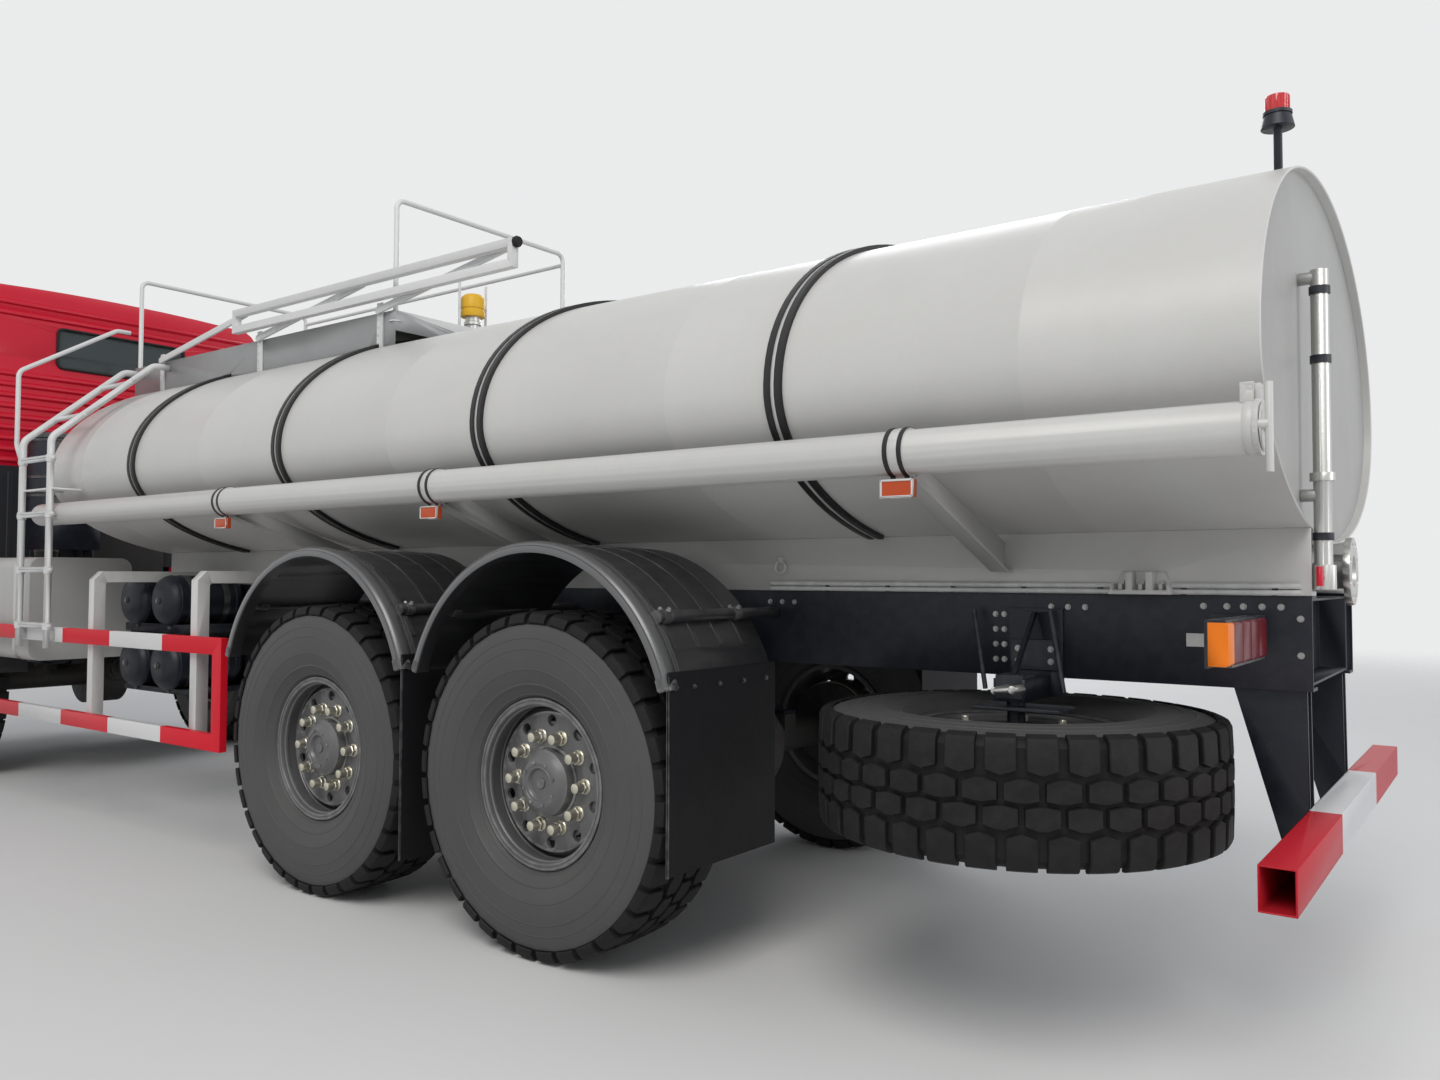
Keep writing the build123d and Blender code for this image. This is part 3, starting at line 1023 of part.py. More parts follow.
def rear_bumper():
    """Hollow bar on two pairs of tapered plates."""
    bar = span((REAR_X, REAR_X + BUMPER_DEPTH), (-BUMPER_HALF_WIDTH, BUMPER_HALF_WIDTH),
               (BUMPER_TOP_Z - BUMPER_HEIGHT, BUMPER_TOP_Z))
    bar -= span((REAR_X + 5, REAR_X + BUMPER_DEPTH - 5), (-BUMPER_HALF_WIDTH - 1, BUMPER_HALF_WIDTH + 1),
                (BUMPER_TOP_Z - BUMPER_HEIGHT + 5, BUMPER_TOP_Z - 5))
    plates = []
    for y in BUMPER_PLATE_Y:
        plates.append(side_profile(
            [(REAR_X + BUMPER_DEPTH - 2, BUMPER_TOP_Z - BUMPER_HEIGHT),
             (REAR_X + BUMPER_DEPTH + 70, BUMPER_TOP_Z - BUMPER_HEIGHT),
             (RAIL_REAR_X + 215, RAIL_BOTTOM_Z - SEAT_GAP), (RAIL_REAR_X + 20, RAIL_BOTTOM_Z - SEAT_GAP),
             (REAR_X + BUMPER_DEPTH - 2, BUMPER_TOP_Z)],
            y - BUMPER_PLATE_THICKNESS / 2, y + BUMPER_PLATE_THICKNESS / 2))
    return [joined([bar] + both_sides(plates))]


def lamps_red():
    """Red parts of the rear lamp clusters, with grooves between their lenses."""
    inner_end = LAMP_OUTER_Y - LAMP_AMBER_WIDTH
    cluster = span((LAMP_FACE_X, LAMP_FACE_X + LAMP_DEPTH - LAMP_BACK_WALL), (LAMP_INNER_Y, inner_end),
                   (LAMP_BOTTOM_Z, LAMP_TOP_Z))
    cluster = fillet(cluster.edges().filter_by(Axis.Y).group_by(Axis.X)[0], 8)
    for share in (0.25, 0.5, 0.75):
        y = LAMP_INNER_Y + (inner_end - LAMP_INNER_Y) * share
        cluster -= span((LAMP_FACE_X - 1, LAMP_FACE_X + 6), (y - 3, y + 3),
                        (LAMP_BOTTOM_Z - 1, LAMP_TOP_Z + 1))
    return both_sides([cluster])


def lamps_amber():
    """Amber ends of the rear clusters and the side markers under the tube."""
    end = span((LAMP_FACE_X, LAMP_FACE_X + LAMP_DEPTH - LAMP_BACK_WALL),
               (LAMP_OUTER_Y - LAMP_AMBER_WIDTH + SEAT_GAP, LAMP_OUTER_Y), (LAMP_BOTTOM_Z, LAMP_TOP_Z))
    end = fillet(end.edges().filter_by(Axis.Y).group_by(Axis.X)[0], 8)
    pieces = both_sides([end])
    for x in TUBE_BRACKET_X:
        pieces.append(span((x - MARKER_LENGTH / 2, x + MARKER_LENGTH / 2),
                           (TUBE_Y + MARKER_OFFSET, TUBE_Y + MARKER_OFFSET + MARKER_DEPTH),
                           (MARKER_Z - MARKER_HEIGHT / 2, MARKER_Z + MARKER_HEIGHT / 2)))
    return pieces


def lamp_brackets():
    """Plates from the rails that carry the rear clusters, with hoods, and the beacon's post."""
    back = LAMP_FACE_X + LAMP_DEPTH - LAMP_BACK_WALL + SEAT_GAP
    near = RAIL_OUTER_Y + SEAT_GAP
    tray = span((back, back + 8), (near, LAMP_OUTER_Y), (LAMP_BOTTOM_Z - 6, LAMP_TOP_Z + LAMP_HOOD))
    hood = span((LAMP_FACE_X + 6, back + 2), (LAMP_INNER_Y, LAMP_OUTER_Y),
                (LAMP_TOP_Z + SEAT_GAP, LAMP_TOP_Z + LAMP_HOOD))
    foot = span((back, back + 120), (near, RAIL_OUTER_Y + 10), (LAMP_BOTTOM_Z - 6, LAMP_TOP_Z + LAMP_HOOD))
    pieces = both_sides([joined([tray, hood, foot])])
    stem = rod((BEACON_X, BEACON_Y, BEACON_STEM_Z), (BEACON_X, BEACON_Y, BEACON_BELL_Z), 12)
    bell = Pos(BEACON_X, BEACON_Y, BEACON_BELL_Z) * Cone(
        46, 36, BEACON_BELL_HEIGHT, align=(Align.CENTER, Align.CENTER, Align.MIN))
    beacon = joined([stem, bell]) - tank_slice(SEAT_GAP, BEACON_X - 60, BEACON_X + 60)
    return pieces + [beacon]


def beacon_lens():
    """Red lens of the beacon on the tank's top."""
    base = BEACON_BELL_Z + BEACON_BELL_HEIGHT + SEAT_GAP
    return Pos(BEACON_X, BEACON_Y, base) * Cylinder(32, 50, align=(Align.CENTER, Align.CENTER, Align.MIN))


# Mudguards and flaps


def arch(centre_x, centre_z, radius, wall, start, end, y_low, y_high):
    """A curved sheet over a wheel, from one angle to another, both in degrees above level."""
    plane = Plane(origin=(0, y_high, 0), x_dir=(1, 0, 0), z_dir=(0, -1, 0))
    outer = radius + wall
    a = math.radians(start)
    b = math.radians(end)
    middle = (a + b) / 2

    def at(r, angle):
        return centre_x + r * math.cos(angle), centre_z + r * math.sin(angle)

    edges = [
        ThreePointArc(at(outer, a), at(outer, middle), at(outer, b)),
        Line(at(outer, b), at(radius, b)),
        ThreePointArc(at(radius, b), at(radius, middle), at(radius, a)),
        Line(at(radius, a), at(outer, a)),
    ]
    return extrude(plane * make_face(edges), amount=y_high - y_low)


def mudguards():
    """Guards over the four rear wheels with rounded lips, pressed ribs and the bars that carry them."""
    pieces = []
    for axle in (AXLE_3_X, AXLE_2_X):
        sheet = arch(axle, MUDGUARD_CENTRE_Z, MUDGUARD_RADIUS - MUDGUARD_WALL, MUDGUARD_WALL,
                     MUDGUARD_START, MUDGUARD_END, MUDGUARD_INNER_Y, MUDGUARD_OUTER_Y)
        lip = arch(axle, MUDGUARD_CENTRE_Z, MUDGUARD_RADIUS - MUDGUARD_LIP, MUDGUARD_LIP,
                   MUDGUARD_START, MUDGUARD_END, MUDGUARD_OUTER_Y - MUDGUARD_LIP_WIDTH, MUDGUARD_OUTER_Y)
        rims = lip.edges().filter_by(GeomType.CIRCLE).group_by(Axis.Y)[-1]
        lip = fillet(rims, MUDGUARD_LIP_ROUND)
        half = MUDGUARD_RIB_WIDTH / 2
        ribs = [arch(axle, MUDGUARD_CENTRE_Z, MUDGUARD_RADIUS - 1, MUDGUARD_RIB_HEIGHT + 1,
                     MUDGUARD_START + MUDGUARD_RIB_SETBACK, MUDGUARD_END - MUDGUARD_RIB_SETBACK,
                     y - half, y + half) for y in MUDGUARD_RIB_Y]
        bars = []
        for angle in MUDGUARD_BAR_ANGLES:
            reach = MUDGUARD_RADIUS + MUDGUARD_BAR_RADIUS - 8
            x = axle + reach * math.cos(math.radians(angle))
            z = min(MUDGUARD_CENTRE_Z + reach * math.sin(math.radians(angle)), RAIL_TOP_Z - 40)
            bars.append(rod((x, RAIL_OUTER_Y + SEAT_GAP, z), (x, MUDGUARD_OUTER_Y - 80, z),
                            MUDGUARD_BAR_RADIUS))
        pieces.append(joined([sheet, lip] + ribs + bars))
    return both_sides(pieces)


def mudflaps():
    """Rubber flaps hanging from the rear ends of the guards."""
    pieces = []
    for axle, bottom in zip((AXLE_3_X, AXLE_2_X), FLAP_BOTTOM_Z):
        angle = math.radians(MUDGUARD_END)
        end_x = axle + MUDGUARD_RADIUS * math.cos(angle)
        top = MUDGUARD_CENTRE_Z + MUDGUARD_RADIUS * math.sin(angle) + 60
        x = end_x - FLAP_THICKNESS - SEAT_GAP
        pieces.append(span((x, x + FLAP_THICKNESS), (MUDGUARD_INNER_Y, MUDGUARD_OUTER_Y - 8), (bottom, top)))
    return both_sides(pieces)


# Side guards, reservoirs and boxes


def side_guards():
    """Two rails a side on bent square uprights that reach in to the frame."""
    inner = GUARD_OUTER_Y - GUARD_RAIL_DEPTH
    pieces = []
    for z in (GUARD_UPPER_Z, GUARD_LOWER_Z):
        pieces.append(span((GUARD_REAR_X, GUARD_FRONT_X), (inner, GUARD_OUTER_Y),
                           (z - GUARD_RAIL_HEIGHT / 2, z + GUARD_RAIL_HEIGHT / 2)))
    pieces.append(span((GUARD_REAR_X, GUARD_REAR_X + GUARD_RAIL_HEIGHT), (inner, GUARD_OUTER_Y),
                       (GUARD_LOWER_Z, GUARD_UPPER_Z)))
    half = GUARD_UPRIGHT_SIZE / 2
    top = GUARD_UPRIGHT_BEND_Z
    near = CRADLE_OUTER_Y + SEAT_GAP
    for x in GUARD_UPRIGHT_X:
        pieces.append(end_profile(
            [(inner, GUARD_LOWER_Z - 40), (inner, top - 45), (inner - 45, top), (near, top),
             (near, top - 130), (CRADLE_OUTER_Y + 18, top - 130), (CRADLE_OUTER_Y + 18, top - 60),
             (inner - 70, top - 60), (inner - 60, top - 70), (inner - 60, GUARD_LOWER_Z - 40)],
            x - half, x + half))
    return both_sides([joined(pieces)])


def air_reservoirs():
    """Domed cylinders across the left side of the frame, on their shelves."""
    low_z, high_z = RESERVOIR_Z
    cap_points = [(0, 0), (RESERVOIR_RADIUS, 0), (RESERVOIR_RADIUS * 0.8, RESERVOIR_DOME * 0.7),
                  (RESERVOIR_RADIUS * 0.35, RESERVOIR_DOME), (0, RESERVOIR_DOME)]
    dome = revolve(make_face(Polyline(*cap_points, close=True)), axis=Axis.Y)
    inner = RESERVOIR_INNER_Y + RESERVOIR_DOME
    outer = RESERVOIR_OUTER_Y - RESERVOIR_DOME
    pieces = []
    for x in RESERVOIR_X:
        for z in RESERVOIR_Z:
            barrel = rod((x, inner, z), (x, outer, z), RESERVOIR_RADIUS)
            pieces.append(joined([barrel, Pos(x, outer, z) * dome, mirrored(Pos(x, -inner, z) * dome)]))
    shelves = [span(SHELF_X, (RAIL_OUTER_Y + 10, SHELF_OUTER_Y), (high_z - 178, high_z - 132)),
               span(SHELF_X, (RAIL_OUTER_Y + 10, SHELF_OUTER_Y), (low_z - 160, low_z - 132))]
    hanger = span(SHELF_X, (RAIL_OUTER_Y + SEAT_GAP, RAIL_OUTER_Y + 16),
                  (low_z - 160, GUARD_UPRIGHT_BEND_Z - 140))
    return [joined(pieces + [hanger] + shelves)]


def side_box(rear, length, side):
    """A box with rounded long edges on hangers from the rail."""
    y_low = min(side * FUEL_INNER_Y, side * FUEL_OUTER_Y)
    y_high = max(side * FUEL_INNER_Y, side * FUEL_OUTER_Y)
    body = span((rear, rear + length), (y_low, y_high), (FUEL_BOTTOM_Z, FUEL_TOP_Z))
    return fillet(body.edges().filter_by(Axis.X), FUEL_CORNER)


def fuel_tank():
    """Fuel tank on the left with its two hangers and filler cap."""
    body = side_box(FUEL_REAR_X, FUEL_LENGTH, 1)
    pieces = [body]
    for share in (0.22, 0.78):
        x = FUEL_REAR_X + FUEL_LENGTH * share
        pieces.append(end_profile([(RAIL_OUTER_Y + SEAT_GAP, RAIL_BOTTOM_Z),
                                   (FUEL_INNER_Y + 1, RAIL_BOTTOM_Z - 60), (FUEL_INNER_Y + 1, RAIL_TOP_Z),
                                   (RAIL_OUTER_Y + SEAT_GAP, RAIL_TOP_Z)], x - 25, x + 25))
    filler = Pos(FUEL_REAR_X + 160, FUEL_OUTER_Y - 150, FUEL_TOP_Z - 4) * Cylinder(
        60, 50, align=(Align.CENTER, Align.CENTER, Align.MIN))
    return [joined(pieces + [filler])]


def battery_box():
    """Battery and tool box on the right with its hangers."""
    body = side_box(BATTERY_REAR_X, BATTERY_LENGTH, -1)
    pieces = [body]
    for share in (0.25, 0.75):
        x = BATTERY_REAR_X + BATTERY_LENGTH * share
        pieces.append(end_profile([(-RAIL_OUTER_Y - SEAT_GAP, RAIL_BOTTOM_Z),
                                   (-RAIL_OUTER_Y - SEAT_GAP, RAIL_TOP_Z), (-FUEL_INNER_Y - 1, RAIL_TOP_Z),
                                   (-FUEL_INNER_Y - 1, RAIL_BOTTOM_Z - 60)], x - 25, x + 25))
    return [joined(pieces)]


# Spare wheel


def spare_tyre():
    """The spare's tyre, lying flat."""
    return [Pos(SPARE_X, SPARE_Y, SPARE_Z) * Rot(90, 0, 0) * TYRE_MODEL]


def spare_rim():
    """The spare's rim, without a hub."""
    return [Pos(SPARE_X, SPARE_Y, SPARE_Z) * Rot(90, 0, 0) * rim(with_hub=False)]


def spare_carrier():
    """Cross beam, hoist block and clamp plate that hold the spare wheel under the rail."""
    disc_top = SPARE_Z + RIM_DISC_OFFSET + SEAT_GAP
    plate = span((SPARE_X - 150, SPARE_X + 150), (SPARE_Y - 150, SPARE_Y + 150), (disc_top, disc_top + 14))
    post = Pos(SPARE_X, SPARE_Y, disc_top) * Cylinder(28, 200, align=(Align.CENTER, Align.CENTER, Align.MIN))
    beam_low = SPARE_Z + TYRE_WIDTH / 2 + 18
    beam = span((SPARE_X - 50, SPARE_X + 50), (RAIL_OUTER_Y + SEAT_GAP, SPARE_Y + 60),
                (beam_low, beam_low + 70))
    web = span((SPARE_X - 90, SPARE_X + 90), (RAIL_OUTER_Y + SEAT_GAP, RAIL_OUTER_Y + 12),
               (beam_low, RAIL_TOP_Z - 50))
    brace = end_profile([(RAIL_OUTER_Y + 8, RAIL_TOP_Z - 60), (RAIL_OUTER_Y + 28, RAIL_TOP_Z - 60),
                         (SPARE_Y + 50, beam_low + 60), (SPARE_Y + 20, beam_low + 60)],
                        SPARE_X - 6, SPARE_X + 6)
    return [joined([plate, post, beam, web, brace])]


# Front of the chassis


def front_bumper():
    """Bumper bar with lamp recesses, its brackets, the cab's tilt pins and two tow eyes."""
    half = FRONT_BUMPER_HALF_WIDTH
    face = FRONT_BUMPER_FACE_HALF
    wall = FRONT_BUMPER_WALL
    back = FRONT_X - FRONT_BUMPER_RETURN
    corner = [(FRONT_X, face), (FRONT_X - 260, half), (back, half), (back, half - wall),
              (FRONT_X - 275, half - wall), (FRONT_X - 45, face - 15)]
    outline = corner + [(x, -y) for x, y in reversed(corner)]
    bar = plan_profile(outline, FRONT_BUMPER_LOW_Z, FRONT_BUMPER_HIGH_Z)
    recess = span((FRONT_X - LAMP_HOLE_DEPTH, FRONT_X + 1), (LAMP_HOLE_LOW, LAMP_HOLE_HIGH), LAMP_HOLE_Z)
    bar -= both_sides([recess])
    low = BUMPER_BRACKET_Z
    high = FRONT_BUMPER_HIGH_Z
    near = RAIL_OUTER_Y + SEAT_GAP
    brackets = both_sides([
        span((RAIL_FRONT_X + SEAT_GAP, FRONT_X - 44), (RAIL_OUTER_Y - RAIL_FLANGE, RAIL_OUTER_Y),
             (low, high)),
        span((RAIL_FRONT_X - 240, RAIL_FRONT_X + 2), (near, RAIL_OUTER_Y + 12), (low, RAIL_TOP_Z - 30)),
        span((RAIL_FRONT_X + SEAT_GAP, RAIL_FRONT_X + 14), (RAIL_OUTER_Y - 2, RAIL_OUTER_Y + 12),
             (low, high)),
        rod((TILT_PIVOT_X, RAIL_OUTER_Y + 6, TILT_PIVOT_Z), (TILT_PIVOT_X, RAIL_OUTER_Y + 64, TILT_PIVOT_Z),
            TILT_PIN_RADIUS),
        rod((TILT_PIVOT_X, RAIL_OUTER_Y + 6, TILT_PIVOT_Z), (TILT_PIVOT_X, RAIL_OUTER_Y + 18, TILT_PIVOT_Z),
            TILT_PIN_RADIUS + 8),
    ])
    eye_y = RAIL_OUTER_Y - RAIL_FLANGE / 2
    eye_front = FRONT_X - 46
    eye_rear = eye_front - TOW_EYE_WIDTH
    eye_x = (eye_front + eye_rear) / 2
    eye = span((eye_rear, eye_front), (eye_y - TOW_EYE_THICKNESS / 2, eye_y + TOW_EYE_THICKNESS / 2),
               (TOW_EYE_Z - 35, low + 10))
    eye -= rod((eye_x, eye_y - 40, TOW_EYE_Z), (eye_x, eye_y + 40, TOW_EYE_Z), TOW_EYE_RADIUS)
    return [joined([bar] + brackets + both_sides([eye]))]


def headlamps():
    """Lamp blocks in the bumper's recesses, each with two round bowls and their domed lenses."""
    back = FRONT_X - LAMP_HOLE_DEPTH + SEAT_GAP
    front = FRONT_X - 6
    low_y = LAMP_HOLE_LOW + 4
    high_y = LAMP_HOLE_HIGH - 4
    middle_z = (LAMP_HOLE_Z[0] + LAMP_HOLE_Z[1]) / 2
    block = span((back, front), (low_y, high_y), (LAMP_HOLE_Z[0] + 4, LAMP_HOLE_Z[1] - 4))
    for y, radius in ((low_y + 78, 62), (high_y - 55, 44)):
        bowl = Pos(front - 18, y, middle_z) * Rot(0, 90, 0) * Cone(
            radius - 10, radius, 19, align=(Align.CENTER, Align.CENTER, Align.MIN))
        lens = Pos(front - 19, y, middle_z) * Rot(0, 90, 0) * Cone(
            radius - 14, radius - 26, 14, align=(Align.CENTER, Align.CENTER, Align.MIN))
        block = (block - bowl) + lens
    return both_sides([block])


def front_arches():
    """Front wheel arches, with the cab steps ahead of them."""
    near = RAIL_OUTER_Y + SEAT_GAP
    sheet = arch(AXLE_1_X, TYRE_RADIUS, ARCH_RADIUS, ARCH_WALL, ARCH_START, ARCH_END, ARCH_INNER_Y,
                 ARCH_OUTER_Y)
    steps = (STEP_REAR_X, STEP_FRONT_X)
    lower = span(steps, (STEP_OUTER_Y - 310, STEP_OUTER_Y), STEP_LOWER_Z)
    upper = span(steps, (STEP_OUTER_Y - 250, STEP_OUTER_Y), STEP_UPPER_Z)
    cheek = span((STEP_REAR_X - 30, STEP_REAR_X + 2), (ARCH_INNER_Y, STEP_OUTER_Y),
                 (STEP_LOWER_Z[0], STEP_UPPER_Z[1]))
    inner = span(steps, (near, STEP_OUTER_Y - 244), STEP_UPPER_Z)
    hanger = span((STEP_REAR_X + 40, STEP_REAR_X + 120), (near, RAIL_OUTER_Y + 12),
                  (STEP_UPPER_Z[0], RAIL_TOP_Z - 111))
    stay_x = (AXLE_1_X - 30, AXLE_1_X + 30)
    stay_top = TYRE_RADIUS + ARCH_RADIUS + 1
    stay = span(stay_x, (near, ARCH_INNER_Y + 2), (stay_top - 41, stay_top))
    drop = span(stay_x, (near, RAIL_OUTER_Y + 12), (RAIL_TOP_Z - 100, stay_top))
    return both_sides([joined([sheet, lower, upper, cheek, inner, hanger, stay, drop])])


def air_cleaner():
    """Air cleaner canister and exhaust box behind the cab."""
    canister = rod((CANISTER_X, CANISTER_Y, CANISTER_Z[0]), (CANISTER_X, CANISTER_Y, CANISTER_Z[1]),
                   CANISTER_RADIUS)
    foot = span((CANISTER_X - 190, CANISTER_X + 190), (RAIL_OUTER_Y - 60, CANISTER_Y + 160),
                (CANISTER_Z[0] - 220, CANISTER_Z[0] + 2))
    leg = span((CANISTER_X - 70, CANISTER_X + 70), (RAIL_OUTER_Y - 70, RAIL_OUTER_Y),
               (RAIL_TOP_Z + SEAT_GAP, CANISTER_Z[0] - 200))
    muffler = rod((MUFFLER_X, MUFFLER_Y[1], MUFFLER_Z), (MUFFLER_X, MUFFLER_Y[0], MUFFLER_Z), MUFFLER_RADIUS)
    hook = span((MUFFLER_X - 60, MUFFLER_X + 60), (MUFFLER_Y[1] - 40, -RAIL_OUTER_Y - SEAT_GAP),
                (MUFFLER_Z + 60, MUFFLER_Z + 150))
    return [joined([canister, foot, leg]), joined([muffler, hook])]


# Cab


def cab_block(inset):
    """The cab's outer form, or its hollow when inset by the wall thickness."""
    half = CAB_HALF_WIDTH - inset
    roof_half = CAB_ROOF_HALF_WIDTH - inset
    top = CAB_TOP_Z - inset
    roof_edge = CAB_ROOF_EDGE_Z - inset * 0.6
    shoulder = top - 40
    bottom = CAB_BOTTOM_Z + inset
    rear = CAB_REAR_X + inset
    front = CAB_FRONT_X - inset
    corner = 120 - inset
    section_edges = [
        Polyline((-roof_half, roof_edge), (-half, CAB_BELT_Z), (-half, bottom), (half, bottom),
                 (half, CAB_BELT_Z), (roof_half, roof_edge)),
        Line((roof_half, roof_edge), (roof_half - corner, shoulder)),
        ThreePointArc((roof_half - corner, shoulder), (0, top), (corner - roof_half, shoulder)),
        Line((corner - roof_half, shoulder), (-roof_half, roof_edge)),
    ]
    plane = Plane(origin=(rear - 10, 0, 0), x_dir=(0, 1, 0), z_dir=(1, 0, 0))
    body = extrude(plane * make_face(section_edges), amount=front - rear + 20)
    side = side_profile([(rear, bottom), (front, bottom), (front, CAB_BELT_Z + 70),
                         (CAB_SCREEN_TOP_X - inset, roof_edge),
                         (CAB_SCREEN_TOP_X - inset - 190, top + 5), (rear + 60, top + 5), (rear, top - 80)],
                        -half - 10, half + 10)
    plan = span((rear, front), (-half, half), (bottom - 10, top + 10))
    plan = fillet(plan.edges().filter_by(Axis.Z).group_by(Axis.X)[-1], CAB_CORNER - inset)
    plan = fillet(plan.edges().filter_by(Axis.Z).group_by(Axis.X)[0], 60 - inset)
    return body & side & plan


def door_prism(grow, y_low, y_high):
    """The door's outline as seen from the side, larger all round by grow."""
    return side_profile([
        (DOOR_REAR_X - grow, DOOR_BOTTOM_Z - grow), (DOOR_FRONT_X + grow, DOOR_BOTTOM_Z - grow),
        (DOOR_FRONT_X + grow, CAB_BELT_Z + 60), (DOOR_FRONT_X - 175 + grow, DOOR_TOP_Z + grow),
        (DOOR_REAR_X - grow, DOOR_TOP_Z + grow)], y_low, y_high)


def door_window_prism(y_low, y_high, shrink):
    """The door window's outline as seen from the side, smaller all round by shrink."""
    low = CAB_BELT_Z + 70 + shrink
    top = DOOR_TOP_Z - DOOR_WINDOW_INSET - shrink
    rear = DOOR_REAR_X + DOOR_WINDOW_INSET + shrink
    front = DOOR_FRONT_X - DOOR_WINDOW_INSET - 20 - shrink
    return side_profile([(rear, low), (front, low), (front - 135, top), (rear, top)], y_low, y_high)


CAB_OUTER = cab_block(0)
CAB_INNER = cab_block(CAB_WALL)
CAB_HOLLOW = CAB_OUTER - CAB_INNER
DOOR_SIDE_Y = (CAB_ROOF_HALF_WIDTH - 260, CAB_HALF_WIDTH + 60)


def screen_prism(shrink, x_low, x_high):
    """The windscreen's outline as seen from the front, smaller all round by shrink."""
    half = SCREEN_HALF_WIDTH - shrink
    block = span((x_low, x_high), (-half, half), (SCREEN_BOTTOM_Z + shrink, SCREEN_TOP_Z - shrink))
    return fillet(block.edges().filter_by(Axis.X), 60)


def rear_window_prism(shrink):
    """The rear window's outline as seen from behind, smaller all round by shrink."""
    half = REAR_WINDOW_WIDTH / 2 - shrink
    block = span((CAB_REAR_X - 30, CAB_REAR_X + CAB_WALL + 30), (-half, half),
                 (REAR_WINDOW_BOTTOM_Z + shrink, REAR_WINDOW_TOP_Z - shrink))
    return fillet(block.edges().filter_by(Axis.X), 45)


def cab_pieces():
    """Lower shell and roof, cut where the pressings meet, with all openings."""
    shell = CAB_HOLLOW
    for prism in (door_prism(DOOR_GAP, *DOOR_SIDE_Y), mirrored(door_prism(DOOR_GAP, *DOOR_SIDE_Y))):
        shell -= prism
    shell -= screen_prism(0, CAB_SCREEN_TOP_X - 200, CAB_FRONT_X + 40)
    shell -= rear_window_prism(0)
    tunnel_half = ENGINE_WIDTH / 2 + 30
    tunnel_front = CAB_FRONT_X - 260
    shell -= span((CAB_REAR_X - 1, tunnel_front), (-tunnel_half, tunnel_half),
                  (CAB_BOTTOM_Z - 1, CAB_BOTTOM_Z + CAB_WALL + 1))
    hood_top = ENGINE_TOP_Z + 110
    hood_half = tunnel_half + 30
    hood_room = (CAB_BOTTOM_Z - 1, hood_top - 30)
    hood = span((CAB_REAR_X + CAB_WALL - 1, tunnel_front + 30), (-hood_half, hood_half),
                (CAB_BOTTOM_Z, hood_top))
    hood -= span((CAB_REAR_X - 1, tunnel_front), (-tunnel_half, tunnel_half), hood_room)
    rear_cut = span((CAB_REAR_X - 1, CAB_REAR_X + CAB_WALL + 1), (-tunnel_half, tunnel_half), hood_room)
    shell = (shell + hood) - rear_cut
    around_x = (CAB_REAR_X - 50, CAB_FRONT_X + 50)
    around_y = (-CAB_HALF_WIDTH - 50, CAB_HALF_WIDTH + 50)
    above = span(around_x, around_y, (CAB_ROOF_SPLIT_Z, CAB_TOP_Z + 50))
    below = span(around_x, around_y, (CAB_FRONT_BOTTOM_Z - 200, CAB_ROOF_SPLIT_Z - SEAT_GAP))
    skirt_half = CAB_HALF_WIDTH - 160
    skirt = span((CAB_FRONT_X - CAB_WALL, CAB_FRONT_X), (-skirt_half, skirt_half),
                 (CAB_FRONT_BOTTOM_Z, CAB_BOTTOM_Z + 20))
    ear = span((TILT_PIVOT_X - 40, TILT_PIVOT_X + 40), (RAIL_OUTER_Y + 24, RAIL_OUTER_Y + 54),
               (TILT_PIVOT_Z - 36, CAB_BOTTOM_Z + 2))
    ear -= rod((TILT_PIVOT_X, RAIL_OUTER_Y, TILT_PIVOT_Z), (TILT_PIVOT_X, RAIL_OUTER_Y + 90, TILT_PIVOT_Z),
               TILT_PIN_RADIUS + RUNNING_GAP)
    lower = joined([shell & below, skirt] + both_sides([ear]) + door_hinge_brackets())
    ribs = []
    for share in (-0.65, -0.43, -0.22, 0.0, 0.22, 0.43, 0.65):
        y = share * CAB_HALF_WIDTH
        sag = ROOF_SAG * (share * CAB_HALF_WIDTH / CAB_ROOF_HALF_WIDTH) ** 2
        ribs.append(span((CAB_REAR_X + 90, CAB_SCREEN_TOP_X - 260), (y - 55, y + 55),
                         (CAB_TOP_Z - 30 - sag, CAB_TOP_Z + 1 - sag)))
    roof = joined([shell & above] + ribs)
    return [lower], [roof]


def cab_glass():
    """Windscreen and rear window panes."""
    band_outer = cab_block(12)
    band_inner = cab_block(12 + GLASS_THICKNESS)
    sheet = band_outer - band_inner
    windscreen = sheet & screen_prism(SEAT_GAP, CAB_SCREEN_TOP_X - 200, CAB_FRONT_X + 40)
    rear = sheet & rear_window_prism(SEAT_GAP)
    return [windscreen, rear]


def door(side):
    """A door shell cut from the cab side, with its window opening, hinges and handle."""
    y_low, y_high = DOOR_SIDE_Y
    leaf = CAB_HOLLOW & door_prism(0, y_low, y_high)
    leaf -= door_window_prism(y_low, y_high, 0)
    hinges = []
    for z in HINGE_Z:
        hinges.append(rod((HINGE_X, HINGE_Y, z - HINGE_LENGTH / 2), (HINGE_X, HINGE_Y, z + HINGE_LENGTH / 2),
                          HINGE_RADIUS))
        hinges.append(span((HINGE_X - 50, HINGE_X), (HINGE_Y - 10, HINGE_Y), (z - 30, z + 30)))
        hinges.append(span((HINGE_X - 50, DOOR_FRONT_X - 1), (CAB_HALF_WIDTH - 1, HINGE_Y - 9),
                           (z - 30, z + 30)))
    handle = span((DOOR_REAR_X + 60, DOOR_REAR_X + 230), (CAB_HALF_WIDTH - 1, CAB_HALF_WIDTH + 26),
                  (CAB_BELT_Z - 150, CAB_BELT_Z - 118))
    whole = joined([leaf, handle] + hinges)
    return [whole] if side > 0 else [mirrored(whole)]


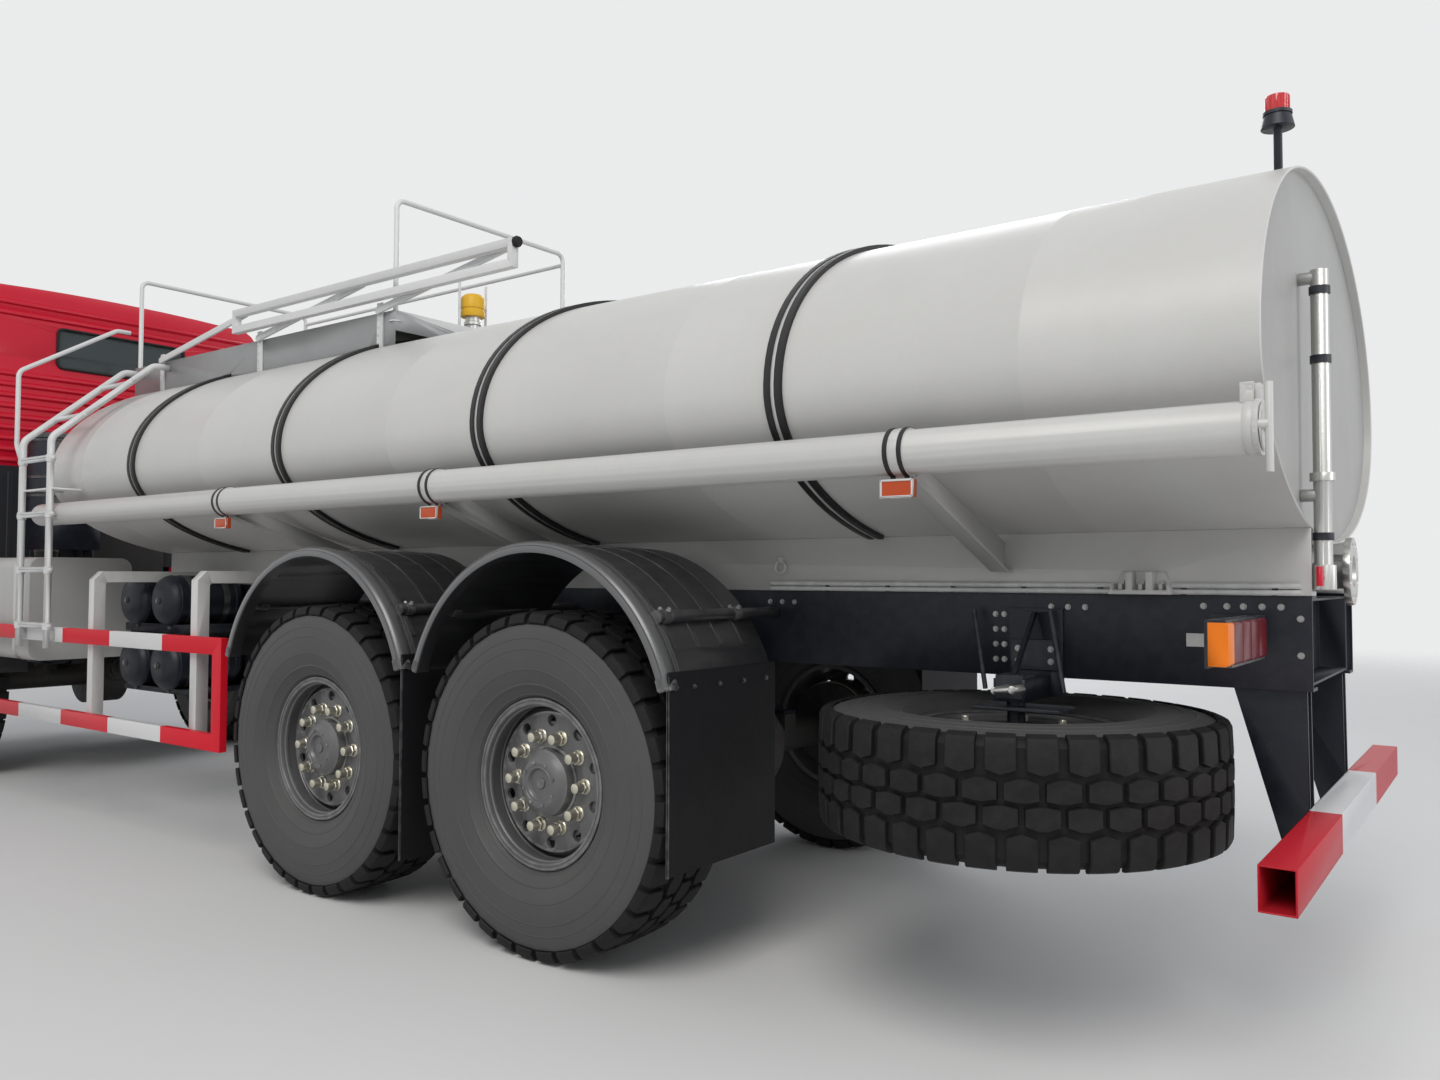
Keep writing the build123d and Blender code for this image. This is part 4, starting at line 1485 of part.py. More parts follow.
def door_hinge_brackets():
    """Fixed leaves of the door hinges, one above and one below each door leaf."""
    pieces = []
    for z in HINGE_Z:
        for end in (-1, 1):
            edge = z + end * (HINGE_LENGTH / 2 + SEAT_GAP)
            far = edge + end * 22
            pieces.append(span((HINGE_X - 12, HINGE_X + 30), (CAB_HALF_WIDTH - 2, HINGE_Y + 12),
                               (min(edge, far), max(edge, far))))
    return both_sides(pieces)


def door_glass(side):
    """The pane of one door's window."""
    y_low, y_high = DOOR_SIDE_Y
    pane = (cab_block(16) - cab_block(16 + GLASS_THICKNESS)) & door_window_prism(y_low, y_high, SEAT_GAP)
    return [pane] if side > 0 else [mirrored(pane)]


def cab_grille():
    """Grille panel on the cab front: a frame, leaning slats and upright posts before a back plate."""
    back = CAB_FRONT_X + SEAT_GAP
    front = back + GRILLE_DEPTH
    half = GRILLE_HALF_WIDTH
    inner = half - GRILLE_FRAME
    low = GRILLE_BOTTOM_Z + GRILLE_FRAME
    high = GRILLE_TOP_Z - GRILLE_FRAME
    border = span((back, front), (-half, half), (GRILLE_BOTTOM_Z, GRILLE_TOP_Z))
    border -= span((back - 1, front + 1), (-inner, inner), (low, high))
    plate = span((back, back + 4), (-inner - 5, inner + 5), (low - 5, high + 5))
    pitch = (high - low) / GRILLE_SLAT_COUNT
    slats = []
    for index in range(GRILLE_SLAT_COUNT):
        z = low + pitch * (index + 0.5) - GRILLE_SLAT_HEIGHT / 2
        slats.append(side_profile([(back + 3, z + 8), (front - 4, z), (front - 4, z + 8),
                                   (back + 8, z + GRILLE_SLAT_HEIGHT), (back + 3, z + GRILLE_SLAT_HEIGHT)],
                                  -inner - 5, inner + 5))
    posts = [span((back + 3, front - 2), (y - 9, y + 9), (low - 5, high + 5)) for y in GRILLE_POST_Y]
    return [joined([border, plate] + slats + posts)]


def cab_seats():
    """Two seats with squabs on their boxes, the dash and the steering wheel."""
    pieces = []
    floor = CAB_BOTTOM_Z + CAB_WALL + SEAT_GAP
    for y in (-SEAT_Y, SEAT_Y):
        base = span((CAB_REAR_X + 200, CAB_REAR_X + 640), (y - 220, y + 220), (floor, floor + 420))
        cushion = span((CAB_REAR_X + 170, CAB_REAR_X + 690), (y - 245, y + 245), (floor + 420, floor + 540))
        back = side_profile([(CAB_REAR_X + 170, floor + 500), (CAB_REAR_X + 300, floor + 500),
                             (CAB_REAR_X + 200, floor + 1150), (CAB_REAR_X + 90, floor + 1150)],
                            y - 235, y + 235)
        pieces.append(joined([base, cushion, back]))
    front = CAB_FRONT_X - CAB_WALL - SEAT_GAP
    dash = side_profile([(front - 300, CAB_BELT_Z - 140), (front, CAB_BELT_Z - 140), (front, CAB_BELT_Z + 50),
                         (front - 120, CAB_BELT_Z + 70), (front - 300, CAB_BELT_Z + 30)],
                        -DASH_HALF_WIDTH, DASH_HALF_WIDTH)
    column = rod((front - 280, SEAT_Y, CAB_BELT_Z - 80), (front - 484, SEAT_Y, CAB_BELT_Z + 81), 30)
    wheel_plane = Plane(origin=(front - 480, SEAT_Y, CAB_BELT_Z + 78), z_dir=(-0.785, 0, 0.62))
    ring = wheel_plane * Torus(210, 15)
    spoke = wheel_plane * Box(420, 36, 12)
    spoke_2 = wheel_plane * Box(36, 420, 12)
    pieces.append(joined([dash, column, spoke, spoke_2, ring]))
    return pieces


def mirrors():
    """Wing mirrors on tube arms from the front pillars."""
    foot = span((CAB_FRONT_X - 230, CAB_FRONT_X - 170), (CAB_HALF_WIDTH + SEAT_GAP, CAB_HALF_WIDTH + 14),
                (MIRROR_ARM_Z - 35, MIRROR_ARM_Z + 35))
    elbow_x = CAB_FRONT_X - 60
    elbow_y = CAB_HALF_WIDTH + 120
    arm = bent_rod([(CAB_FRONT_X - 200, CAB_HALF_WIDTH + 13, MIRROR_ARM_Z), (elbow_x, elbow_y, MIRROR_ARM_Z),
                    (elbow_x, elbow_y, MIRROR_TOP_Z)], 11, 40)
    head = span((CAB_FRONT_X - 125, CAB_FRONT_X - 55), (CAB_HALF_WIDTH + 30, CAB_HALF_WIDTH + 210),
                MIRROR_HEAD_Z)
    head = fillet(head.edges().filter_by(Axis.X), 35)
    return both_sides([joined([head, arm, foot])])


CAB_LOWER, CAB_ROOF = cab_pieces()


NODES = [
    ("frame", frame()),
    ("tank", tank()),
    ("manhole_neck", manhole_neck()),
    ("tank_bands", tank_bands()),
    ("tank_cradle", tank_cradle()),
    ("hose_tube", hose_tube()),
    ("tube_cap", tube_cap()),
    ("walkway", walkway()),
    ("guard_leg_rear", guard_leg(GUARD_POST_X[0])),
    ("guard_leg_middle", guard_leg(GUARD_POST_X[1])),
    ("guard_leg_front", guard_leg(GUARD_POST_X[2])),
    ("guard_bar", guard_bar()),
    ("ladder", ladder()),
    ("manhole_lid", manhole_lid()),
    ("vent_valve", vent_valve()),
    ("rear_pipework", rear_pipework()),
    ("rear_bumper", rear_bumper()),
    ("lamps_red", lamps_red() + [beacon_lens()]),
    ("lamps_amber", lamps_amber()),
    ("mudguards", mudguards() + front_arches()),
    ("mudflaps", mudflaps()),
    ("side_guards", side_guards()),
    ("air_reservoirs", air_reservoirs()),
    ("side_boxes", fuel_tank() + battery_box()),
    ("spare_tyre", spare_tyre()),
    ("spare_rim", spare_rim()),
    ("rear_brackets", spare_carrier() + lamp_brackets()),
    ("engine", engine()),
    ("driveline", driveline()),
    ("axle_beams", [rear_axle(AXLE_3_X), rear_axle(AXLE_2_X), front_axle()]),
    ("springs", springs()),
    ("front_bumper", front_bumper()),
    ("headlamps", headlamps()),
    ("air_cleaner", air_cleaner()),
    ("cab_shell", CAB_LOWER),
    ("cab_roof", CAB_ROOF),
    ("cab_glass", cab_glass()),
    ("cab_grille", cab_grille()),
    ("cab_seats", cab_seats()),
    ("mirrors", mirrors()),
    ("door_left", door(1)),
    ("door_right", door(-1)),
    ("door_glass_left", door_glass(1)),
    ("door_glass_right", door_glass(-1)),
    ("knuckle_left", [knuckle()]),
    ("knuckle_right", [mirrored(knuckle())]),
]

# Columns: name of the wheel, axle place, side
WHEELS = [
    ("front_left", AXLE_1_X, 1), ("front_right", AXLE_1_X, -1),
    ("middle_left", AXLE_2_X, 1), ("middle_right", AXLE_2_X, -1),
    ("rear_left", AXLE_3_X, 1), ("rear_right", AXLE_3_X, -1),
]
for name, axle, side in WHEELS:
    NODES.append((f"tyre_{name}", [tyre(axle, side)]))
    NODES.append((f"wheel_{name}", [wheel_hub(axle, side)]))

for node, shapes in NODES:
    save(node, shapes)
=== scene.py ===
"""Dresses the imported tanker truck: tyres, wheels, tank, rails, cab fittings, finishes and stage."""

import math

import bmesh
import bpy
from mathutils import Matrix, Vector


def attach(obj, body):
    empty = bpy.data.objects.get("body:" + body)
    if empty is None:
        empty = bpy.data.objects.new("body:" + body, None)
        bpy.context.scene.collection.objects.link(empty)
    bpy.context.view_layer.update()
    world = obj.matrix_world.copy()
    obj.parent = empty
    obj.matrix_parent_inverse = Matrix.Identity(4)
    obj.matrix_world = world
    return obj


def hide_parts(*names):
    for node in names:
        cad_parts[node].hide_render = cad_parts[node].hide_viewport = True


bl_info = {
    "name": "Tanker Truck Dressing",
    "version": (1, 0, 0),
    "blender": (4, 5, 0),
    "location": "View3D > Sidebar > Tanker Truck",
    "description": "Adds the tread, fittings, paint and stage to a six-wheel tanker truck",
    "category": "Object",
}

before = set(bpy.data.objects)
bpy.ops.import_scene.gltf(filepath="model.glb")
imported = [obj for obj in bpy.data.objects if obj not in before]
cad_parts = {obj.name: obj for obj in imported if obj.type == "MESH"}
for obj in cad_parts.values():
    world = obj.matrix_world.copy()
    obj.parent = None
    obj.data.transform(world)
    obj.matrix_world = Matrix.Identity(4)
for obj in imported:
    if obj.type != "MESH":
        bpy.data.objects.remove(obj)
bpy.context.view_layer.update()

TAU = 2 * math.pi

# Places taken over from the CAD model, in metres
AXLE_3_X = -2.48
AXLE_2_X = -1.13
AXLE_1_X = 3.47
TYRE_RADIUS = 0.62
WHEEL_Y = 1.02
TANK_REAR_X = -4.845
TANK_FRONT_X = 1.63
TANK_HALF = 1.12
TANK_WAIST_Z = 1.95
TANK_UP = 0.65
TANK_DOWN = 0.48
BAND_PLACES = (-3.465, -2.095, -0.725, 0.65)
RAIL_Y = 0.43
RAIL_HIGH = 1.311
TUBE_Y = 1.165
TUBE_Z = 1.712
TUBE_STRAPS = (-3.93, -1.91, -0.395)
MARKER_Z = 1.609
POST_PLACES = (-0.771, 0.306, 1.384)
MANHOLE_X = -0.1
LID_TOP_Z = 2.7345
VENT_X, VENT_Y = -0.825, 0.06
DECK_Z = 2.617
BEACON_PLACE = (-4.77, 0.4, 0.0)
PIPE_X, PIPE_Y = -4.872, 0.4
DISC_FACE = 0.072
NUT_RING = 0.1675
SPARE_PLACE = (-4.041, 0.613, 0.772)

# Columns: name, axle X, side (+1 left)
WHEELS = [
    ("front_left", AXLE_1_X, 1), ("front_right", AXLE_1_X, -1),
    ("middle_left", AXLE_2_X, 1), ("middle_right", AXLE_2_X, -1),
    ("rear_left", AXLE_3_X, 1), ("rear_right", AXLE_3_X, -1),
]


# Mesh making


def quarter_turned(spot, axis, side=1):
    """A place turned a quarter about an axis, so that local Z points sideways."""
    return Matrix.Translation(spot) @ Matrix.Rotation(side * math.pi / 2, 4, axis)


class Shape:
    """Collects points and faces of one piece; each face keeps the number of its finish."""

    def __init__(self):
        self.points = []
        self.faces = []
        self.finishes = []

    def add(self, points, faces, finish=0, place=None):
        """Adds points with the faces between them."""
        start = len(self.points)
        if place is not None:
            points = [place @ Vector(p) for p in points]
        self.points.extend(tuple(p) for p in points)
        self.faces.extend(tuple(start + i for i in face) for face in faces)
        self.finishes.extend([finish] * len(faces))
        return self

    def block(self, x, y, z, finish=0, place=None):
        """A box between low and high values along each axis."""
        corners = [(a, b, c) for a in x for b in y for c in z]
        faces = [(0, 1, 3, 2), (4, 6, 7, 5), (0, 4, 5, 1), (2, 3, 7, 6), (0, 2, 6, 4), (1, 5, 7, 3)]
        return self.add(corners, faces, finish, place)

    def prism(self, outline, low, high, axis="Z", finish=0, place=None):
        """An outline of two coordinates pushed along an axis; the two are the other axes in X, Y, Z order."""
        count = len(outline)
        points = []
        for level in (low, high):
            for a, b in outline:
                points.append({"X": (level, a, b), "Y": (a, level, b), "Z": (a, b, level)}[axis])
        faces = [tuple(range(count)), tuple(range(2 * count - 1, count - 1, -1))]
        faces += [(i, (i + 1) % count, count + (i + 1) % count, count + i) for i in range(count)]
        return self.add(points, faces, finish, place)

    def turned(self, profile, steps=48, finish=0, place=None, start=0.0, sweep=TAU, closed_profile=False):
        """A profile of (radius, height) turned about local Z."""
        full = abs(sweep - TAU) < 1e-6
        rings = steps if full else steps + 1
        points = []
        for step in range(rings):
            angle = start + sweep * step / steps
            cosine, sine = math.cos(angle), math.sin(angle)
            points.extend((r * cosine, r * sine, h) for r, h in profile)
        size = len(profile)
        faces = []
        spans = size if closed_profile else size - 1
        for step in range(steps):
            here = step * size
            there = ((step + 1) % rings) * size
            for i in range(spans):
                j = (i + 1) % size
                faces.append((here + i, there + i, there + j, here + j))
        if closed_profile and not full:
            faces += [tuple(range(size)), tuple(range((steps + 1) * size - 1, steps * size - 1, -1))]
        return self.add(points, faces, finish, place)

    def rod(self, start, end, radius, finish=0, steps=16):
        """A round bar with closed ends."""
        along = Vector(end) - Vector(start)
        place = Matrix.Translation(start) @ along.to_track_quat("Z", "Y").to_matrix().to_4x4()
        return self.turned([(0.0, 0.0), (radius, 0.0), (radius, along.length), (0.0, along.length)],
                           steps, finish, place)

    def skin(self, sections, finish=0, closed=False):
        """Joins equal rings of points into one skin, with flat ends unless it runs round."""
        size, count = len(sections[0]), len(sections)
        faces = []
        for k in range(count if closed else count - 1):
            here, there = k * size, (k + 1) % count * size
            faces.extend((here + i, here + (i + 1) % size, there + (i + 1) % size, there + i) for i in range(size))
        if not closed:
            faces += [tuple(range(size - 1, -1, -1)), tuple(range((count - 1) * size, count * size))]
        return self.add([point for section in sections for point in section], faces, finish)

    def tube(self, path, radius, finish=0, steps=14, closed=False, profile=None):
        """A tube, or a bar of another section, along a path of points."""
        path = [Vector(p) for p in path]
        count = len(path)
        section = profile or [(radius * math.cos(TAU * i / steps), radius * math.sin(TAU * i / steps))
                              for i in range(steps)]
        tangents = []
        for i in range(count):
            before = path[i - 1] if i or closed else path[i]
            after = path[(i + 1) % count] if i < count - 1 or closed else path[i]
            tangents.append((after - before).normalized())
        side = Vector((0, 0, 1))
        if abs(side.dot(tangents[0])) > 0.95:
            side = Vector((0, 1, 0))
        sections = []
        for point, tangent in zip(path, tangents):
            side = (side - tangent * side.dot(tangent)).normalized()
            other = tangent.cross(side)
            sections.append([point + side * a + other * b for a, b in section])
        return self.skin(sections, finish, closed)


def round_corner(first, middle, last):
    """Points of a soft curve from the first to the last that bends towards the middle one."""
    shares = [i / 6 for i in range(7)]
    return [first * (1 - t) ** 2 + middle * 2 * t * (1 - t) + last * t ** 2 for t in shares]


def bent(points, radius):
    """A path of straight runs with round corners."""
    points = [Vector(p) for p in points]
    path = [points[0]]
    for before, corner, after in zip(points, points[1:], points[2:]):
        a = (before - corner).normalized()
        b = (after - corner).normalized()
        half = a.angle(b) / 2
        reach = min(radius / math.tan(half), (before - corner).length * 0.49, (after - corner).length * 0.49)
        path += round_corner(corner + a * reach, corner, corner + b * reach)
    path.append(points[-1])
    return path


def rounded_loop(points, corner):
    """A closed path through corner points with round corners."""
    points = [Vector(p) for p in points]
    path = []
    for i, middle in enumerate(points):
        before = (points[i - 1] - middle).normalized()
        after = (points[(i + 1) % len(points)] - middle).normalized()
        reach = corner / math.tan(before.angle(after) / 2)
        path += round_corner(middle + before * reach, middle, middle + after * reach)
    return path


def side_span(side, near, far):
    """Low and high Y of a strip on one side of the truck."""
    return sorted((side * near, side * far))


def arc_points(centre, radius, start, end, steps):
    """Points (x, z) along an arc, angles in degrees."""
    angles = [math.radians(start + (end - start) * i / steps) for i in range(steps + 1)]
    return [(centre[0] + radius * math.cos(angle), centre[1] + radius * math.sin(angle)) for angle in angles]


def tank_point(angle, grow):
    """Point (y, z) of the tank's section, larger all round by grow."""
    height = TANK_UP if math.sin(angle) >= 0 else TANK_DOWN
    return (TANK_HALF + grow) * math.cos(angle), TANK_WAIST_Z + (height + grow) * math.sin(angle)


def finished_mesh(obj):
    """Turns an object with modifiers into one with a plain mesh."""
    depsgraph = bpy.context.evaluated_depsgraph_get()
    depsgraph.update()
    mesh = bpy.data.meshes.new_from_object(obj.evaluated_get(depsgraph), depsgraph=depsgraph)
    obj.modifiers.clear()
    old = obj.data
    obj.data = mesh
    bpy.data.meshes.remove(old)
    return obj


def outward(mesh):
    """Merges doubled points and turns every face outwards."""
    work = bmesh.new()
    work.from_mesh(mesh)
    bmesh.ops.remove_doubles(work, verts=work.verts, dist=1e-5)
    bmesh.ops.recalc_face_normals(work, faces=work.faces)
    work.to_mesh(mesh)
    work.free()


def linked(name, data):
    """A new object in the scene for a mesh, light or camera."""
    obj = bpy.data.objects.new(name, data)
    bpy.context.scene.collection.objects.link(obj)
    return obj


def shape_object(name, shape, finishes=()):
    """A new object from a Shape."""
    mesh = bpy.data.meshes.new(name)
    mesh.from_pydata(shape.points, [], shape.faces)
    mesh.polygons.foreach_set("material_index", shape.finishes)
    for finish in finishes:
        mesh.materials.append(FINISHES[finish])
    outward(mesh)
    return linked(name, mesh)


def piece(name, shape, finishes, body, replaces=(), bevel=0.0, angle=32.0, segments=2):
    """Makes a finished piece from a Shape and lets it ride on its body."""
    return settled(shape_object(name, shape, finishes), body, replaces, bevel, angle, segments)


def settled(obj, body, replaces=(), bevel=0.0, angle=32.0, segments=2):
    """Rounds and shades an object, and gives it its body and the CAD nodes it stands for."""
    if bevel:
        rounding = obj.modifiers.new("Rounding", "BEVEL")
        rounding.width = bevel
        rounding.segments = segments
        rounding.limit_method = "ANGLE"
        rounding.angle_limit = math.radians(40)
        rounding.miter_outer = "MITER_ARC"
        rounding.harden_normals = True
        finished_mesh(obj)
    obj.data.polygons.foreach_set("use_smooth", [True] * len(obj.data.polygons))
    obj.data.set_sharp_from_angle(angle=math.radians(angle))
    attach(obj, body)
    if replaces:
        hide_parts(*replaces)
    return obj


def cad_copy(source, name, finishes, body, bevel=0.0, angle=30.0, pick=None):
    """A merged, rounded copy of a CAD node; pick gives a face's finish from its centre and normal."""
    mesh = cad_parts[source].data.copy()
    mesh.name = name
    mesh.materials.clear()
    for finish in finishes:
        mesh.materials.append(FINISHES[finish])
    work = bmesh.new()
    work.from_mesh(mesh)
    bmesh.ops.remove_doubles(work, verts=work.verts, dist=2e-5)
    bmesh.ops.dissolve_limit(work, angle_limit=math.radians(0.6), verts=work.verts, edges=work.edges,
                             delimit={"NORMAL"})
    # A flat face round a hole would cross itself when its edges are rounded, so it is cut into triangles
    bmesh.ops.triangulate(work, faces=[face for face in work.faces if len(face.verts) > 4])
    for face in work.faces:
        face.material_index = pick(face.calc_center_median(), face.normal) if pick else 0
    work.to_mesh(mesh)
    work.free()
    return settled(linked(name, mesh), body, (source,), bevel, angle)


# Finishes

FINISHES = {}


def new_group(name, inputs, outputs):
    """A shader node group with named sockets; gives the tree, its input node and its output node."""
    tree = bpy.data.node_groups.new(name, "ShaderNodeTree")
    kinds = {"color": "NodeSocketColor", "value": "NodeSocketFloat", "vector": "NodeSocketVector"}
    for label, kind, default in inputs:
        socket = tree.interface.new_socket(name=label, in_out="INPUT", socket_type=kinds[kind])
        if default is not None:
            socket.default_value = default
    for label, kind in outputs:
        tree.interface.new_socket(name=label, in_out="OUTPUT", socket_type=kinds[kind])
    return tree, tree.nodes.new("NodeGroupInput"), tree.nodes.new("NodeGroupOutput")


def node(tree, kind, links=(), **settings):
    """Adds a node, sets its fields, and joins (input name or number, socket) pairs or plain values."""
    made = tree.nodes.new(kind)
    for key, value in settings.items():
        setattr(made, key, value)
    for target, source in links:
        socket = made.inputs[target]
        if isinstance(source, bpy.types.NodeSocket):
            tree.links.new(source, socket)
        else:
            socket.default_value = source
    return made


def use_group(tree, group, links):
    """Adds a node that uses a group."""
    return node(tree, "ShaderNodeGroup", links, node_tree=group)


def math_node(tree, operation, *values, clamp=False):
    """A sum, product or other operation on values or sockets."""
    return node(tree, "ShaderNodeMath", list(enumerate(values)), operation=operation, use_clamp=clamp).outputs[0]


def mix_colour(tree, share, first, second):
    """A blend of two colours."""
    return node(tree, "ShaderNodeMix", [(0, share), (6, first), (7, second)], data_type="RGBA").outputs[2]


def rgb(colour, share=1.0):
    """A colour with its opacity, darkened by a share."""
    return (*(part * share for part in colour), 1.0)


def new_material(name):
    """A material, its node tree and its shader."""
    material = bpy.data.materials.new(name)
    material.use_nodes = True
    return material, material.node_tree, material.node_tree.nodes["Principled BSDF"]


def make_weathering():
    """Colour drift, streaks down the sides and road dust that thins out with height."""
    tree, given, out = new_group("Weathering", [
        ("Clean", "color", rgb((0.5, 0.5, 0.5))), ("Second", "color", rgb((0.4, 0.4, 0.4))),
        ("Dust", "color", rgb((0.2, 0.175, 0.15))), ("Scale", "value", 3.0), ("Drift", "value", 0.3),
        ("Dust Amount", "value", 0.2), ("Dust Height", "value", 1.2), ("Rough Low", "value", 0.3),
        ("Rough High", "value", 0.5)], [("Color", "color"), ("Roughness", "value")])
    place = node(tree, "ShaderNodeTexCoord").outputs["Object"]
    cloud = node(tree, "ShaderNodeTexNoise", [("Vector", place), ("Scale", given.outputs["Scale"]),
                                              ("Detail", 5.0), ("Roughness", 0.6)]).outputs["Fac"]
    squeezed = node(tree, "ShaderNodeMapping", [("Vector", place), ("Scale", (14.0, 14.0, 0.7))]).outputs[0]
    streak = node(tree, "ShaderNodeTexNoise", [("Vector", squeezed), ("Scale", 1.3), ("Detail", 3.0)]).outputs["Fac"]
    fine = node(tree, "ShaderNodeTexNoise", [("Vector", place), ("Scale", 38.0), ("Detail", 4.0)]).outputs["Fac"]
    drift = math_node(tree, "MULTIPLY", node(tree, "ShaderNodeMapRange", [
        ("Value", cloud), ("From Min", 0.35), ("From Max", 0.7)]).outputs[0], given.outputs["Drift"])
    base = mix_colour(tree, drift, given.outputs["Clean"], given.outputs["Second"])
    height = node(tree, "ShaderNodeSeparateXYZ", [("Vector", place)]).outputs["Z"]
    low = node(tree, "ShaderNodeMapRange", [("Value", height), ("From Min", given.outputs["Dust Height"]),
                                            ("From Max", 0.0), ("To Min", 0.25), ("To Max", 1.0)]).outputs[0]
    facing = node(tree, "ShaderNodeSeparateXYZ", [("Vector", node(tree, "ShaderNodeNewGeometry").outputs["Normal"])])
    level = math_node(tree, "MAXIMUM", facing.outputs["Z"], 0.0)
    settled_dust = math_node(tree, "ADD", low, math_node(tree, "MULTIPLY", level, 0.35))
    spread = math_node(tree, "MULTIPLY", math_node(tree, "MULTIPLY_ADD", streak, 0.9, fine), 0.72)
    amount = math_node(tree, "MULTIPLY", math_node(tree, "MULTIPLY", settled_dust, spread),
                       given.outputs["Dust Amount"], clamp=True)
    tree.links.new(mix_colour(tree, amount, base, given.outputs["Dust"]), out.inputs["Color"])
    span = math_node(tree, "SUBTRACT", given.outputs["Rough High"], given.outputs["Rough Low"])
    share = math_node(tree, "ADD", math_node(tree, "MULTIPLY", cloud, 0.7), amount, clamp=True)
    tree.links.new(math_node(tree, "MULTIPLY_ADD", share, span, given.outputs["Rough Low"]), out.inputs["Roughness"])
    return tree


def make_grain():
    """Small unevenness of a surface, as a normal."""
    tree, given, out = new_group("Surface Grain", [("Scale", "value", 200.0), ("Strength", "value", 0.2),
                                                   ("Wave", "value", 3.0)], [("Normal", "vector")])
    place = node(tree, "ShaderNodeTexCoord").outputs["Object"]
    fine = node(tree, "ShaderNodeTexNoise", [("Vector", place), ("Scale", given.outputs["Scale"]),
                                             ("Detail", 3.0)]).outputs["Fac"]
    broad = node(tree, "ShaderNodeTexNoise", [("Vector", place), ("Scale", given.outputs["Wave"]),
                                              ("Detail", 1.0)]).outputs["Fac"]
    total = math_node(tree, "MULTIPLY_ADD", broad, 1.5, fine)
    bump = node(tree, "ShaderNodeBump", [("Strength", given.outputs["Strength"]), ("Distance", 0.002),
                                         ("Height", total)])
    tree.links.new(bump.outputs[0], out.inputs["Normal"])
    return tree


def make_edge_wear():
    """Lighter worn edges, laid over a colour."""
    tree, given, out = new_group("Edge Wear", [("Color", "color", None), ("Bare", "color", rgb((0.4, 0.4, 0.4))),
                                               ("Amount", "value", 0.4)], [("Color", "color"), ("Mask", "value")])
    place = node(tree, "ShaderNodeTexCoord").outputs["Object"]
    sharp = node(tree, "ShaderNodeNewGeometry").outputs["Pointiness"]
    edge = node(tree, "ShaderNodeMapRange", [("Value", sharp), ("From Min", 0.52), ("From Max", 0.62)]).outputs[0]
    patch = node(tree, "ShaderNodeTexNoise", [("Vector", place), ("Scale", 24.0), ("Detail", 5.0)]).outputs["Fac"]
    broken = node(tree, "ShaderNodeMapRange", [("Value", patch), ("From Min", 0.42), ("From Max", 0.6)]).outputs[0]
    mask = math_node(tree, "MULTIPLY", math_node(tree, "MULTIPLY", edge, broken), given.outputs["Amount"], clamp=True)
    tree.links.new(mix_colour(tree, mask, given.outputs["Color"], given.outputs["Bare"]), out.inputs["Color"])
    tree.links.new(mask, out.inputs["Mask"])
    return tree


def make_stripes():
    """Two colours by turns along a direction, from a start and with one length."""
    tree, given, out = new_group("Stripe Paint", [
        ("First", "color", rgb((0.7, 0.05, 0.06))), ("Other", "color", rgb((0.8, 0.8, 0.78))),
        ("Direction", "vector", (1.0, 0.0, 0.0)), ("Start", "value", 0.0), ("Length", "value", 0.5)],
        [("Color", "color")])
    place = node(tree, "ShaderNodeTexCoord").outputs["Object"]
    along = node(tree, "ShaderNodeVectorMath", [(0, place), (1, given.outputs["Direction"])],
                 operation="DOT_PRODUCT").outputs["Value"]
    count = math_node(tree, "FLOOR", math_node(tree, "DIVIDE", math_node(tree, "SUBTRACT", along,
                                                                         given.outputs["Start"]),
                                               given.outputs["Length"]))
    turn = math_node(tree, "ABSOLUTE", math_node(tree, "MODULO", count, 2.0))
    tree.links.new(mix_colour(tree, turn, given.outputs["First"], given.outputs["Other"]), out.inputs["Color"])
    return tree


# Further shader sockets that finishes share
DULL = {"Specular IOR Level": 0.22}
SATIN = {"Specular IOR Level": 0.38}
LENS = {"Coat Weight": 0.8, "Coat Roughness": 0.05}
TAIL_LENS = {"Coat Weight": 0.12, "Coat Roughness": 0.12, "Specular IOR Level": 0.25}
